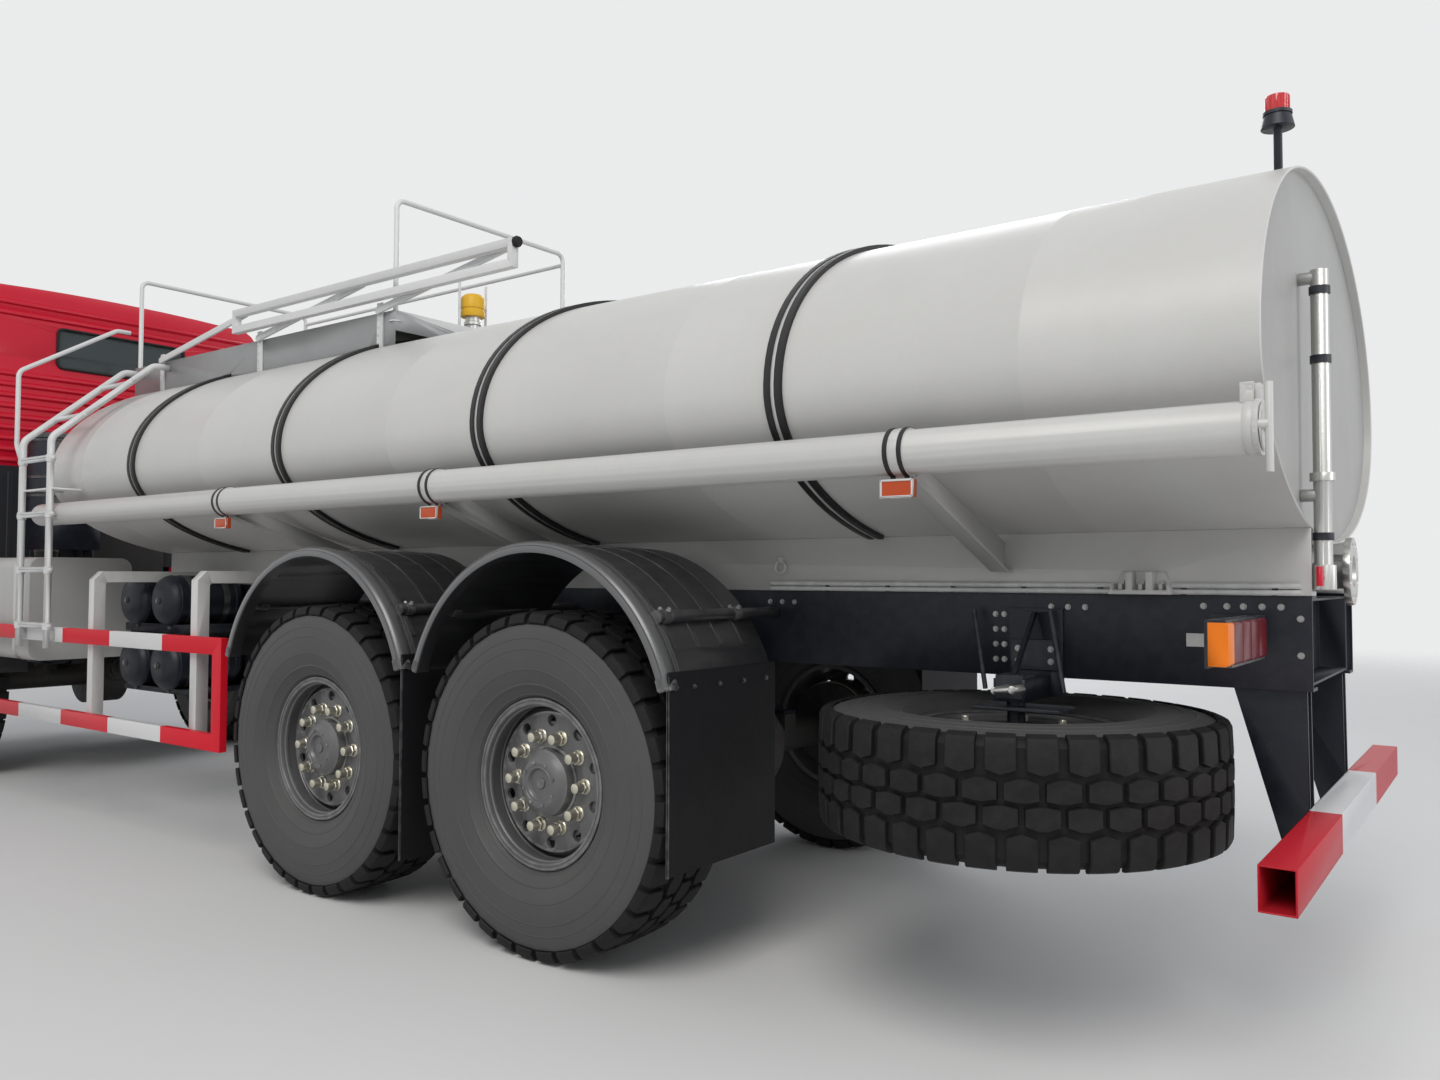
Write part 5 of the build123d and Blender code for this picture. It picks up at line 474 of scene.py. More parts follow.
# Columns: name, colour, second colour, metal, roughness low and high, drift, dust, dust height, grain scale and
# strength, edge wear with its bare colour, further shader sockets
FINISH_TABLE = [
    ("tank_paint", (0.61, 0.606, 0.59), (0.55, 0.545, 0.525), 0.0, (0.32, 0.48), 0.45, 0.12, 2.4, (160, 0.1), None,
     {"Coat Weight": 0.12, "Coat Roughness": 0.2}),
    # The rear head's finish below is the tank paint made darker grey: painted shade on the recessed rear head
    ("tank_head", (0.42, 0.42, 0.41), (0.35, 0.35, 0.34), 0.0, (0.34, 0.54), 0.5, 0.3, 2.6, (120, 0.15), None, SATIN),
    ("cab_red", (0.62, 0.006, 0.03), (0.52, 0.005, 0.024), 0.0, (0.26, 0.42), 0.35, 0.05, 2.4, (180, 0.07), None,
     {"Coat Weight": 0.15, "Coat Roughness": 0.1, "Specular IOR Level": 0.3}),
    ("cab_dark", (0.022, 0.024, 0.03), (0.034, 0.036, 0.042), 0.0, (0.42, 0.62), 0.4, 0.15, 2.0, (220, 0.2), None,
     DULL),
    ("chassis_black", (0.007, 0.01, 0.019), (0.012, 0.0155, 0.026), 0.0, (0.34, 0.56), 0.5, 0.05, 1.9,
     (150, 0.18), (0.3, (0.1, 0.1, 0.1)), SATIN),
    ("moulded_black", (0.024, 0.025, 0.0285), (0.039, 0.04, 0.043), 0.0, (0.24, 0.4), 0.5, 0.08, 1.9,
     (260, 0.2), (0.35, (0.2, 0.2, 0.205)), {"Coat Weight": 0.5, "Coat Roughness": 0.28}),
    # The guard lips' grey base colour below is a painted sheen: it stands in for the sky's reflection on glossy black
    # plastic
    ("lip_black", (0.09, 0.092, 0.096), (0.12, 0.122, 0.126), 0.0, (0.24, 0.38), 0.5, 0.08, 1.9, (260, 0.16),
     None, {"Coat Weight": 0.8, "Coat Roughness": 0.25}),
    ("clamp_grey", (0.08, 0.081, 0.085), (0.115, 0.116, 0.118), 0.3, (0.32, 0.5), 0.5, 0.08, 1.9,
     (200, 0.2), (0.5, (0.35, 0.35, 0.35)), {}),
    ("flap_rubber", (0.006, 0.0065, 0.009), (0.01, 0.0105, 0.013), 0.0, (0.55, 0.78), 0.5, 0.06, 1.4,
     (300, 0.35), None, DULL),
    ("band_black", (0.01, 0.01, 0.0115), (0.02, 0.02, 0.0215), 0.0, (0.42, 0.6), 0.4, 0.05, 2.8, (240, 0.3),
     None, SATIN),
    ("band_groove", (0.62, 0.62, 0.61), (0.5, 0.5, 0.49), 0.2, (0.28, 0.45), 0.4, 0.05, 2.8, (200, 0.2), None, {}),
    ("tread_rubber", (0.0065, 0.0067, 0.0075), (0.011, 0.011, 0.0115), 0.0, (0.55, 0.78), 0.6, 0.05, 1.4,
     (110, 0.45), (0.2, (0.035, 0.035, 0.036)), DULL),
    ("wall_rubber", (0.064, 0.0645, 0.066), (0.086, 0.086, 0.086), 0.0, (0.46, 0.68), 0.6, 0.08, 1.1,
     (140, 0.3), None, SATIN),
    ("rim_dark", (0.135, 0.136, 0.14), (0.175, 0.176, 0.178), 0.3, (0.28, 0.46), 0.4, 0.08, 1.4, (130, 0.16),
     (0.6, (0.45, 0.45, 0.45)), {}),
    ("nut_zinc", (0.66, 0.63, 0.52), (0.46, 0.43, 0.34), 0.85, (0.26, 0.44), 0.5, 0.1, 1.4, (200, 0.2),
     (0.5, (0.8, 0.79, 0.74)), {}),
    ("bolt_steel", (0.42, 0.42, 0.42), (0.3, 0.3, 0.3), 0.5, (0.3, 0.5), 0.5, 0.1, 1.9, (200, 0.2), None, {}),
    ("bracket_white", (0.7, 0.7, 0.685), (0.6, 0.6, 0.585), 0.0, (0.3, 0.46), 0.4, 0.15, 2.0, (160, 0.14),
     (0.25, (0.3, 0.3, 0.29)), {}),
    ("rail_white", (0.72, 0.725, 0.72), (0.62, 0.625, 0.62), 0.0, (0.3, 0.46), 0.4, 0.1, 2.4, (160, 0.16),
     (0.25, (0.34, 0.34, 0.33)), {}),
    ("deck_metal", (0.34, 0.345, 0.35), (0.25, 0.255, 0.26), 0.7, (0.36, 0.56), 0.5, 0.2, 2.8, (150, 0.3), None, {}),
    ("box_grey", (0.5, 0.5, 0.49), (0.42, 0.42, 0.41), 0.0, (0.34, 0.52), 0.4, 0.2, 1.9, (160, 0.16), None, {}),
    ("cast_dark", (0.022, 0.022, 0.024), (0.042, 0.041, 0.039), 0.2, (0.48, 0.7), 0.6, 0.3, 1.6, (70, 0.6), None,
     SATIN),
    ("zinc_pipe", (0.58, 0.58, 0.56), (0.46, 0.46, 0.44), 0.9, (0.28, 0.48), 0.5, 0.1, 1.9, (200, 0.2), None, {}),
    ("yellow_cap", (0.78, 0.45, 0.02), (0.68, 0.38, 0.02), 0.0, (0.35, 0.5), 0.4, 0.05, 2.8, (160, 0.2), None, SATIN),
    ("seal_rubber", (0.012, 0.012, 0.013), (0.02, 0.02, 0.021), 0.0, (0.55, 0.7), 0.4, 0.1, 2.4, (260, 0.3),
     None, DULL),
    ("dash_plastic", (0.045, 0.046, 0.05), (0.062, 0.063, 0.067), 0.0, (0.5, 0.66), 0.4, 0.05, 2.0, (420, 0.4),
     None, SATIN),
    ("lens_red", (0.14, 0.003, 0.011), (0.09, 0.002, 0.008), 0.0, (0.26, 0.38), 0.5, 0.03, 1.8, (60, 0.1), None,
     TAIL_LENS),
    ("lens_amber", (0.9, 0.21, 0.006), (0.76, 0.16, 0.005), 0.0, (0.26, 0.38), 0.4, 0.03, 1.8, (60, 0.1), None,
     TAIL_LENS),
    ("lens_marker", (0.52, 0.075, 0.018), (0.4, 0.05, 0.014), 0.0, (0.2, 0.32), 0.4, 0.03, 1.8, (60, 0.1), None,
     TAIL_LENS),
    ("beacon_red", (0.62, 0.006, 0.014), (0.5, 0.005, 0.01), 0.0, (0.1, 0.2), 0.3, 0.02, 2.8, (60, 0.1), None, LENS),
    ("reflector", (0.75, 0.76, 0.78), (0.6, 0.61, 0.63), 1.0, (0.1, 0.2), 0.3, 0.08, 1.8, (60, 0.1), None, {}),
]


def make_finishes(sizes):
    """Makes every finish of the table, the stripes, the glass and the seat cloth."""
    weathering, grain, wear, stripes = make_weathering(), make_grain(), make_edge_wear(), make_stripes()

    def finish(name, clean, second, metal, rough, drift, dust, height, texture, edges, more, stripe=None):
        material, tree, shader = new_material(name)
        shader.inputs["Metallic"].default_value = metal
        for key, value in more.items():
            shader.inputs[key].default_value = value
        field = use_group(tree, weathering, [
            ("Clean", rgb(clean)), ("Second", rgb(second)), ("Scale", 2.2), ("Drift", drift), ("Dust Amount", dust),
            ("Dust Height", height), ("Rough Low", rough[0]), ("Rough High", rough[1])])
        if stripe:
            for target, share in (("Clean", 1.0), ("Second", 0.85)):
                band = use_group(tree, stripes, [
                    ("First", rgb(clean, share)), ("Other", rgb(second, share)),
                    ("Direction", stripe[0]), ("Start", stripe[1]), ("Length", stripe[2])])
                tree.links.new(band.outputs["Color"], field.inputs[target])
        colour = field.outputs["Color"]
        if edges:
            colour = use_group(tree, wear, [("Color", colour), ("Bare", rgb(edges[1])),
                                            ("Amount", edges[0])]).outputs["Color"]
        tree.links.new(colour, shader.inputs["Base Color"])
        tree.links.new(field.outputs["Roughness"], shader.inputs["Roughness"])
        skin = use_group(tree, grain, [("Scale", float(texture[0])), ("Strength", texture[1])])
        tree.links.new(skin.outputs["Normal"], shader.inputs["Normal"])
        FINISHES[name] = material

    own = {"tank_paint": sizes.tank_colour, "cab_red": sizes.cab_colour}
    for name, clean, *rest in FINISH_TABLE:
        finish(name, tuple(own.get(name, clean)), *rest)
    red, white = (0.74, 0.006, 0.024), (0.78, 0.78, 0.78)
    finish("guard_stripes", red, white, 0.0, (0.32, 0.48), 0.3, 0.06, 1.5, (160, 0.12), None, DULL,
           ((1.0, 0.0, 0.0), -0.445, 0.55))
    finish("bumper_stripes", (0.52, 0.007, 0.022), (0.7, 0.7, 0.71), 0.0, (0.34, 0.5), 0.3, 0.08, 1.5, (160, 0.12),
           None, DULL, ((0.0, 1.0, 0.0), -1.242, 0.828))
    finish("guard_red", red, (0.62, 0.005, 0.02), 0.0, (0.32, 0.48), 0.3, 0.06, 1.5, (160, 0.12), None, DULL)
    for name, colour, rough in (("window_glass", (0.3, 0.36, 0.37), 0.03), ("lens_clear", (0.9, 0.93, 0.95), 0.05)):
        FINISHES[name], tree, shader = new_material(name)
        shader.inputs["Transmission Weight"].default_value = 0.85
        shader.inputs["IOR"].default_value = 1.3
        field = use_group(tree, weathering, [
            ("Clean", rgb(colour)), ("Second", rgb(colour, 0.9)), ("Scale", 1.6), ("Drift", 0.3),
            ("Dust Amount", 0.06), ("Dust Height", 3.0), ("Rough Low", rough), ("Rough High", rough + 0.05)])
        tree.links.new(field.outputs["Color"], shader.inputs["Base Color"])
        tree.links.new(field.outputs["Roughness"], shader.inputs["Roughness"])
    FINISHES["seat_cloth"], tree, shader = new_material("seat_cloth")
    shader.inputs["Sheen Weight"].default_value = 0.4
    field = use_group(tree, weathering, [
        ("Clean", rgb((0.055, 0.058, 0.068))), ("Second", rgb((0.085, 0.088, 0.1))), ("Scale", 30.0),
        ("Drift", 0.6), ("Dust Amount", 0.05), ("Rough Low", 0.8), ("Rough High", 0.95)])
    tree.links.new(field.outputs["Color"], shader.inputs["Base Color"])
    tree.links.new(field.outputs["Roughness"], shader.inputs["Roughness"])
    place = node(tree, "ShaderNodeTexCoord").outputs["Object"]
    warp = node(tree, "ShaderNodeTexWave", [("Vector", place), ("Scale", 160.0)], bands_direction="X").outputs["Fac"]
    weft = node(tree, "ShaderNodeTexWave", [("Vector", place), ("Scale", 160.0)], bands_direction="Y").outputs["Fac"]
    weave = math_node(tree, "MAXIMUM", warp, weft)
    bump = node(tree, "ShaderNodeBump", [("Strength", 0.4), ("Distance", 0.001), ("Height", weave)])
    tree.links.new(bump.outputs[0], shader.inputs["Normal"])


# Repeats made with Geometry Nodes


TREES = {}


def open_tree(name, sizes):
    """A Geometry Nodes tree kept under its name, with a mesh, its sizes and a finish as inputs."""
    tree = TREES[name] = bpy.data.node_groups.new(name, "GeometryNodeTree")
    for label, kind in (("Geometry", "Geometry"), *sizes, ("Finish", "Material")):
        tree.interface.new_socket(name=label, in_out="INPUT", socket_type=f"NodeSocket{kind}")
    tree.interface.new_socket(name="Geometry", in_out="OUTPUT", socket_type="NodeSocketGeometry")
    return tree, tree.nodes.new("NodeGroupInput")


def close_tree(tree, given, made):
    """Makes the copies real and gives them the finish."""
    real = node(tree, "GeometryNodeRealizeInstances", [(0, made)])
    dressed = node(tree, "GeometryNodeSetMaterial", [("Geometry", real.outputs[0]),
                                                     ("Material", given.outputs["Finish"])])
    node(tree, "NodeGroupOutput", [(0, dressed.outputs[0])])


def make_repeat_tree():
    """Repeats a mesh in even steps and turns at once."""
    tree, given = open_tree("Repeat in Steps", [("Count", "Int"), ("Step", "Vector"), ("Turn", "Vector"),
                                                ("Pivot", "Vector")])
    index = node(tree, "GeometryNodeInputIndex").outputs[0]
    points = node(tree, "GeometryNodePoints", [("Count", given.outputs["Count"])]).outputs[0]
    copies = node(tree, "GeometryNodeInstanceOnPoints", [("Points", points), ("Instance", given.outputs["Geometry"])])
    turn = node(tree, "ShaderNodeVectorMath", [(0, given.outputs["Turn"]), ("Scale", index)], operation="SCALE")
    angle = node(tree, "FunctionNodeEulerToRotation", [(0, turn.outputs[0])]).outputs[0]
    turned = node(tree, "GeometryNodeRotateInstances", [
        ("Instances", copies.outputs[0]), ("Rotation", angle), ("Pivot Point", given.outputs["Pivot"]),
        ("Local Space", False)])
    step = node(tree, "ShaderNodeVectorMath", [(0, given.outputs["Step"]), ("Scale", index)], operation="SCALE")
    moved = node(tree, "GeometryNodeTranslateInstances", [
        ("Instances", turned.outputs[0]), ("Translation", step.outputs[0]), ("Local Space", False)])
    close_tree(tree, given, moved.outputs[0])


def make_bar_tree():
    """Gives a path of points a round section."""
    tree, given = open_tree("Round Bar on a Path", [("Radius", "Float"), ("Sides", "Int")])
    path = node(tree, "GeometryNodeMeshToCurve", [("Mesh", given.outputs["Geometry"])]).outputs[0]
    section = node(tree, "GeometryNodeCurvePrimitiveCircle", [("Resolution", given.outputs["Sides"]),
                                                              ("Radius", given.outputs["Radius"])]).outputs[0]
    bar = node(tree, "GeometryNodeCurveToMesh", [("Curve", path), ("Profile Curve", section), ("Fill Caps", True)])
    close_tree(tree, given, bar.outputs[0])


def make_bolt_tree():
    """Stands a hexagon head with its washer on every point, along the point's facing."""
    tree, given = open_tree("Bolts at Places", [("Radius", "Float"), ("Height", "Float")])
    radius, height = given.outputs["Radius"], given.outputs["Height"]
    joined = tree.nodes.new("GeometryNodeJoinGeometry")
    # Columns: corners, radius as a share, top as a share of the height
    for corners, wide, top in ((14, 1.3, 0.25), (6, 1.0, 1.0), (6, 0.8, 1.12)):
        depth = math_node(tree, "MULTIPLY", height, top)
        block = node(tree, "GeometryNodeMeshCylinder", [
            ("Vertices", corners), ("Radius", math_node(tree, "MULTIPLY", radius, wide)), ("Depth", depth)])
        lift = node(tree, "ShaderNodeCombineXYZ", [("Z", math_node(tree, "MULTIPLY", depth, 0.5))]).outputs[0]
        moved = node(tree, "GeometryNodeTransform", [("Geometry", block.outputs[0]), ("Translation", lift)])
        tree.links.new(moved.outputs[0], joined.inputs[0])
    facing = node(tree, "GeometryNodeInputNamedAttribute", [("Name", "facing")], data_type="FLOAT_VECTOR").outputs[0]
    turn = node(tree, "FunctionNodeAlignRotationToVector", [("Vector", facing)], axis="Z").outputs[0]
    copies = node(tree, "GeometryNodeInstanceOnPoints", [
        ("Points", given.outputs["Geometry"]), ("Instance", joined.outputs[0]), ("Rotation", turn)])
    close_tree(tree, given, copies.outputs[0])


def run_tree(obj, tree, finish, **values):
    """Runs a tree on an object with its inputs set, and keeps the result as a plain mesh."""
    values["Finish"] = FINISHES[finish]
    modifier = obj.modifiers.new(tree, "NODES")
    modifier.node_group = TREES[tree]
    for item in TREES[tree].interface.items_tree:
        if item.item_type == "SOCKET" and item.in_out == "INPUT" and item.name in values:
            modifier[item.identifier] = values[item.name]
    return finished_mesh(obj)


def repeated(name, shape, finish, body, count, step=(0.0, 0.0, 0.0), turn=(0.0, 0.0, 0.0),
             pivot=(0.0, 0.0, 0.0), bevel=0.0, angle=32.0):
    """A piece made of one small shape repeated by steps and turns."""
    obj = run_tree(shape_object(name, shape), "Repeat in Steps", finish, Count=count, Step=step, Turn=turn,
                   Pivot=pivot)
    return settled(obj, body, (), bevel, angle)


def bars(name, paths, radius, finish, body, sides=12):
    """Round bars along paths of points."""
    points, edges = [], []
    for path in paths:
        start = len(points)
        points.extend(tuple(p) for p in path)
        edges.extend((start + i, start + i + 1) for i in range(len(path) - 1))
    mesh = bpy.data.meshes.new(name)
    mesh.from_pydata(points, edges, [])
    obj = run_tree(linked(name, mesh), "Round Bar on a Path", finish, Radius=radius, Sides=sides)
    outward(obj.data)
    return settled(obj, body)


def bolts(name, places, radius, height, finish, body):
    """Bolt heads at (place, direction they stand in) pairs."""
    mesh = bpy.data.meshes.new(name)
    mesh.from_pydata([tuple(place) for place, out in places], [], [])
    facing = mesh.attributes.new("facing", "FLOAT_VECTOR", "POINT")
    facing.data.foreach_set("vector", [value for place, out in places for value in out])
    return settled(run_tree(linked(name, mesh), "Bolts at Places", finish, Radius=radius, Height=height), body)


# Wheels and tyres

TREAD_BASE = 0.601
WALL_TOP = 0.569


def carcass():
    """Sidewalls with their rings, beads and the base of the tread."""
    wall = [(0.2935, 0.122), (0.304, 0.1225), (0.3105, 0.133), (0.319, 0.1445), (0.3225, 0.145),
            (0.326, 0.1475), (0.34, 0.158), (0.35, 0.164), (0.353, 0.1675), (0.357, 0.169),
            (0.361, 0.168), (0.38, 0.176), (0.408, 0.1832), (0.4095, 0.1848), (0.4125, 0.185),
            (0.414, 0.1838), (0.45, 0.1868), (0.48, 0.1858), (0.4815, 0.187), (0.4845, 0.1868),
            (0.486, 0.1852), (0.52, 0.182), (0.5215, 0.1832), (0.5245, 0.1828), (0.526, 0.1812),
            (0.548, 0.178), (0.57, 0.1715), (0.586, 0.164), (0.595, 0.156), (TREAD_BASE, 0.145)]
    return wall + [(r, -h) for r, h in reversed(wall)]


def tread_point(along, across, radius):
    """A point of the tread, from its place along and across the unrolled tyre."""
    angle = along / TYRE_RADIUS
    return radius * math.cos(angle), radius * math.sin(angle), across


def tread_pitch(pitch):
    """One pitch of tread: two staggered centre blocks and two shoulder blocks."""
    shape = Shape()
    for side in (-1, 1):
        middle = side * pitch / 4
        hexagon = [(-0.44 * pitch, 0.01), (-0.44 * pitch, 0.056), (-0.012, 0.068), (0.012, 0.068),
                   (0.44 * pitch, 0.056), (0.44 * pitch, 0.01), (0.012, 0.003), (-0.012, 0.003)]
        rim = [(middle + u, side * v) for u, v in hexagon]
        centre = (middle, side * 0.034)
        top = [(centre[0] + (u - centre[0]) * 0.93, centre[1] + (v - centre[1]) * 0.93) for u, v in rim]
        points = [tread_point(u, v, TREAD_BASE - 0.004) for u, v in rim] + [tread_point(u, v, 0.6185) for u, v in top]
        points += [tread_point(*centre, 0.6195)]
        size = len(rim)
        shape.add(points, [(i, (i + 1) % size, size + (i + 1) % size, size + i) for i in range(size)] +
                  [(size + i, size + (i + 1) % size, 2 * size) for i in range(size)])
        sections = []
        middle = -middle
        for along, inner in ((-0.38 * pitch, 0.088), (-0.35 * pitch, 0.086), (0.0, 0.074), (0.35 * pitch, 0.086),
                             (0.38 * pitch, 0.088)):
            drop = 0.003 if abs(along) > 0.36 * pitch else 0.0
            outline = [(inner, 0.598), (inner + 0.002, 0.618 - drop), (0.158, 0.615 - drop), (0.1705, 0.6085 - drop),
                       (0.1775, 0.593), (0.18, 0.579), (0.1745, 0.574), (0.166, 0.579), (0.15, 0.592)]
            sections.append([tread_point(middle + along, side * v, r) for v, r in outline])
        shape.skin(sections)
    return shape


def placed(shape, place):
    """A Shape moved to a place."""
    made = Shape().add(shape.points, shape.faces, 0, place)
    made.finishes = list(shape.finishes)
    return made


def add_tyre(label, place, axis, centre, body, count):
    """A tyre's casing and tread in place of the CAD node of the same name."""
    casing = Shape().turned(carcass(), 96, closed_profile=True)
    reach = [math.hypot(point[0], point[1]) for point in casing.points]
    casing.finishes = [1 if min(reach[i] for i in face) > WALL_TOP else 0 for face in casing.faces]
    piece(f"{label}_carcass", placed(casing, place), ["wall_rubber", "tread_rubber"], body, (label,),
          angle=24)
    repeated(f"{label}_tread", placed(tread_pitch(TAU * TYRE_RADIUS / count), place), "tread_rubber", body,
             count, turn=[share * TAU / count for share in axis], pivot=centre, angle=28)


def stud_nut():
    """A long wheel nut: washer, hexagon foot and round sleeve with a rounded end."""
    shape = Shape()
    shape.turned([(0.0, 0.0), (0.0285, 0.0), (0.0285, 0.004), (0.0255, 0.007), (0.0, 0.007)], 24)
    shape.turned([(0.0, 0.0065), (0.0245, 0.0065), (0.0245, 0.02), (0.0225, 0.0225), (0.0, 0.0225)], 6)
    shape.turned([(0.0, 0.022), (0.0192, 0.022), (0.0192, 0.05), (0.0172, 0.055), (0.011, 0.058),
                  (0.0, 0.0586)], 20)
    return shape


def rim_steps(label, place, body):
    """The stepped edge of a rim and the ridge round its disc."""
    ring = [(0.3055, 0.124), (0.307, 0.13), (0.3055, 0.1365), (0.301, 0.1388), (0.2965, 0.1372),
            (0.2948, 0.133), (0.2925, 0.133), (0.2912, 0.1364), (0.287, 0.138), (0.2825, 0.1366),
            (0.2798, 0.132), (0.2785, 0.119), (0.2735, 0.115), (0.2722, 0.1085), (0.2735, 0.1025),
            (0.2785, 0.098), (0.2788, 0.064), (0.276, 0.06), (0.276, 0.052), (0.279, 0.048),
            (0.2795, 0.03), (0.286, 0.03), (0.286, 0.1235)]
    edge = Shape().turned(ring, 96, 0, place, closed_profile=True)
    edge.turned([(0.25, DISC_FACE - 0.004), (0.252, DISC_FACE + 0.0035), (0.2465, DISC_FACE + 0.0045),
                 (0.244, DISC_FACE - 0.001)], 96, 0, place, closed_profile=True)
    piece(f"{label}_rim_steps", edge, ["rim_dark"], body, angle=30)


def on_disc(place, radius, angle, height):
    """A place on a wheel's face, at a radius, an angle and a height out of it."""
    return place @ Matrix.Rotation(angle, 4, "Z") @ Matrix.Translation((radius, 0, height))


def add_wheel_dressing(label, place, centre):
    """Nuts, hub cap ring and rim edge on one wheel."""
    nut = placed(stud_nut(), on_disc(place, NUT_RING, 0.0, DISC_FACE))
    repeated(f"{label}_nuts", nut, "nut_zinc", label, 10, turn=(0, TAU / 10, 0), pivot=centre)
    trim = Shape()
    cap = [(0.1205, DISC_FACE - 0.001), (0.1205, 0.1085), (0.119, 0.1125), (0.105, 0.1225), (0.102, 0.125),
           (0.087, 0.135), (0.083, 0.1365), (0.0705, 0.137), (0.069, 0.1353), (0.0605, 0.1353),
           (0.059, 0.1365), (0.0565, 0.1365), (0.055, 0.1352), (0.05, 0.1245), (0.048, 0.1234),
           (0.0205, 0.1234), (0.0195, 0.128), (0.0175, 0.1295), (0.0, 0.1295)]
    trim.turned(cap, 48, 0, place)
    trim.turned([(0.131, DISC_FACE - 0.002), (0.131, DISC_FACE + 0.004), (0.122, DISC_FACE + 0.007),
                 (0.1205, DISC_FACE + 0.004)], 48, 0, place)
    piece(f"{label}_hub_cap", trim, ["rim_dark"], label, angle=25)
    rim_steps(label, place, label)
    bolt = Shape().turned([(0.0, 0.0), (0.0065, 0.0), (0.0065, 0.004), (0.0055, 0.0055), (0.0, 0.0055)], 6, 0,
                          on_disc(place, 0.0765, 0.3, 0.1365))
    repeated(f"{label}_cap_bolts", bolt, "rim_dark", label, 8, turn=(0, TAU / 8, 0), pivot=centre)


def wheel_pick(centre):
    """Nuts bright, the rest dark: a face's finish from its place on the wheel."""
    def pick(middle, normal):
        off = middle - Vector(centre)
        out = abs(off.y) - 0.073
        ring = math.hypot(off.x, off.z)
        return 1 if out > 0 and 0.14 < ring < 0.19 else 0
    return pick


# Copies of CAD nodes that need only rounding and a finish
# Columns: node, body, slot, finish, rounding in metres
PLAIN_COPIES = [
    ("frame", "chassis", "chassis_black", "chassis_black", 0.002),
    ("tank_cradle", "chassis", "tank_paint", "tank_paint", 0.003),
    ("axle_beams", "chassis", "cast_dark", "cast_dark", 0.008),
    ("springs", "chassis", "spring_steel", "chassis_black", 0.002),
    ("driveline", "chassis", "cast_dark", "cast_dark", 0.008),
    ("engine", "chassis", "cast_dark", "cast_dark", 0.02),
    ("front_bumper", "chassis", "chassis_black", "chassis_black", 0.008),
    ("rear_brackets", "chassis", "chassis_black", "chassis_black", 0.002),
    ("mudflaps", "chassis", "flap_rubber", "flap_rubber", 0.002),
    ("rear_pipework", "chassis", "rail_metal", "zinc_pipe", 0.002),
    ("guard_leg_rear", "guard_leg_rear", "guard_paint", "rail_white", 0.002),
    ("guard_leg_middle", "guard_leg_middle", "guard_paint", "rail_white", 0.002),
    ("guard_leg_front", "guard_leg_front", "guard_paint", "rail_white", 0.002),
    ("guard_bar", "guard_bar", "guard_paint", "rail_white", 0.005),
    ("tube_cap", "tube_cap", "tank_paint", "tank_paint", 0.003),
    ("manhole_lid", "manhole_lid", "tank_paint", "tank_paint", 0.003),
    ("manhole_neck", "chassis", "tank_paint", "tank_paint", 0.002),
    ("knuckle_left", "knuckle_left", "cast_dark", "cast_dark", 0.008),
    ("knuckle_right", "knuckle_right", "cast_dark", "cast_dark", 0.008),
    # The spare's rim takes the near-black chassis finish, not the grey rim finish: painted shade in the well of the
    # spare lying flat
    ("spare_rim", "chassis", "rim_dark", "chassis_black", 0.002),
]


class TankerSizes(bpy.types.PropertyGroup):
    """Sizes and colours a user would change."""

    tank_colour: bpy.props.FloatVectorProperty(
        name="Tank Colour", description="Base colour of the tank and hose tube", subtype="COLOR", size=3,
        default=(0.61, 0.606, 0.59), min=0.0, max=1.0)
    cab_colour: bpy.props.FloatVectorProperty(
        name="Cab Colour", description="Base colour of the cab", subtype="COLOR", size=3,
        default=(0.62, 0.006, 0.03), min=0.0, max=1.0)
    tread_pitches: bpy.props.IntProperty(
        name="Tread Pitches", description="Tread patterns round one tyre", default=36, min=24, max=64)
    band_rib: bpy.props.FloatProperty(
        name="Band Rib Width", description="Width of each black rib on a tank band", default=0.0235, unit="LENGTH")
    edge_rounding: bpy.props.FloatProperty(
        name="Edge Rounding", description="Share of the rounding on pressed and welded edges", default=1.0,
        min=0.2, max=1.5, subtype="FACTOR")
    lamp_strength: bpy.props.FloatProperty(
        name="Light Strength", description="Power of the main soft light", default=280.0, unit="POWER")


class TANKER_OT_finishes(bpy.types.Operator):
    """Makes the repeat trees and every finish"""
    bl_idname = "tanker.finishes"
    bl_label = "Finishes"
    bl_options = {"REGISTER", "UNDO"}

    def execute(self, context):
        make_repeat_tree()
        make_bar_tree()
        make_bolt_tree()
        make_finishes(context.scene.tanker_sizes)
        return {"FINISHED"}


class TANKER_OT_chassis(bpy.types.Operator):
    """Rounds and finishes the plain parts of the chassis and tank gear"""
    bl_idname = "tanker.chassis"
    bl_label = "Chassis and Plain Parts"
    bl_options = {"REGISTER", "UNDO"}

    def execute(self, context):
        sizes = context.scene.tanker_sizes
        for name, body, slot, finish, rounding in PLAIN_COPIES:
            cad_copy(name, f"{name}_finish", [finish], body, rounding * sizes.edge_rounding)
        return {"FINISHED"}


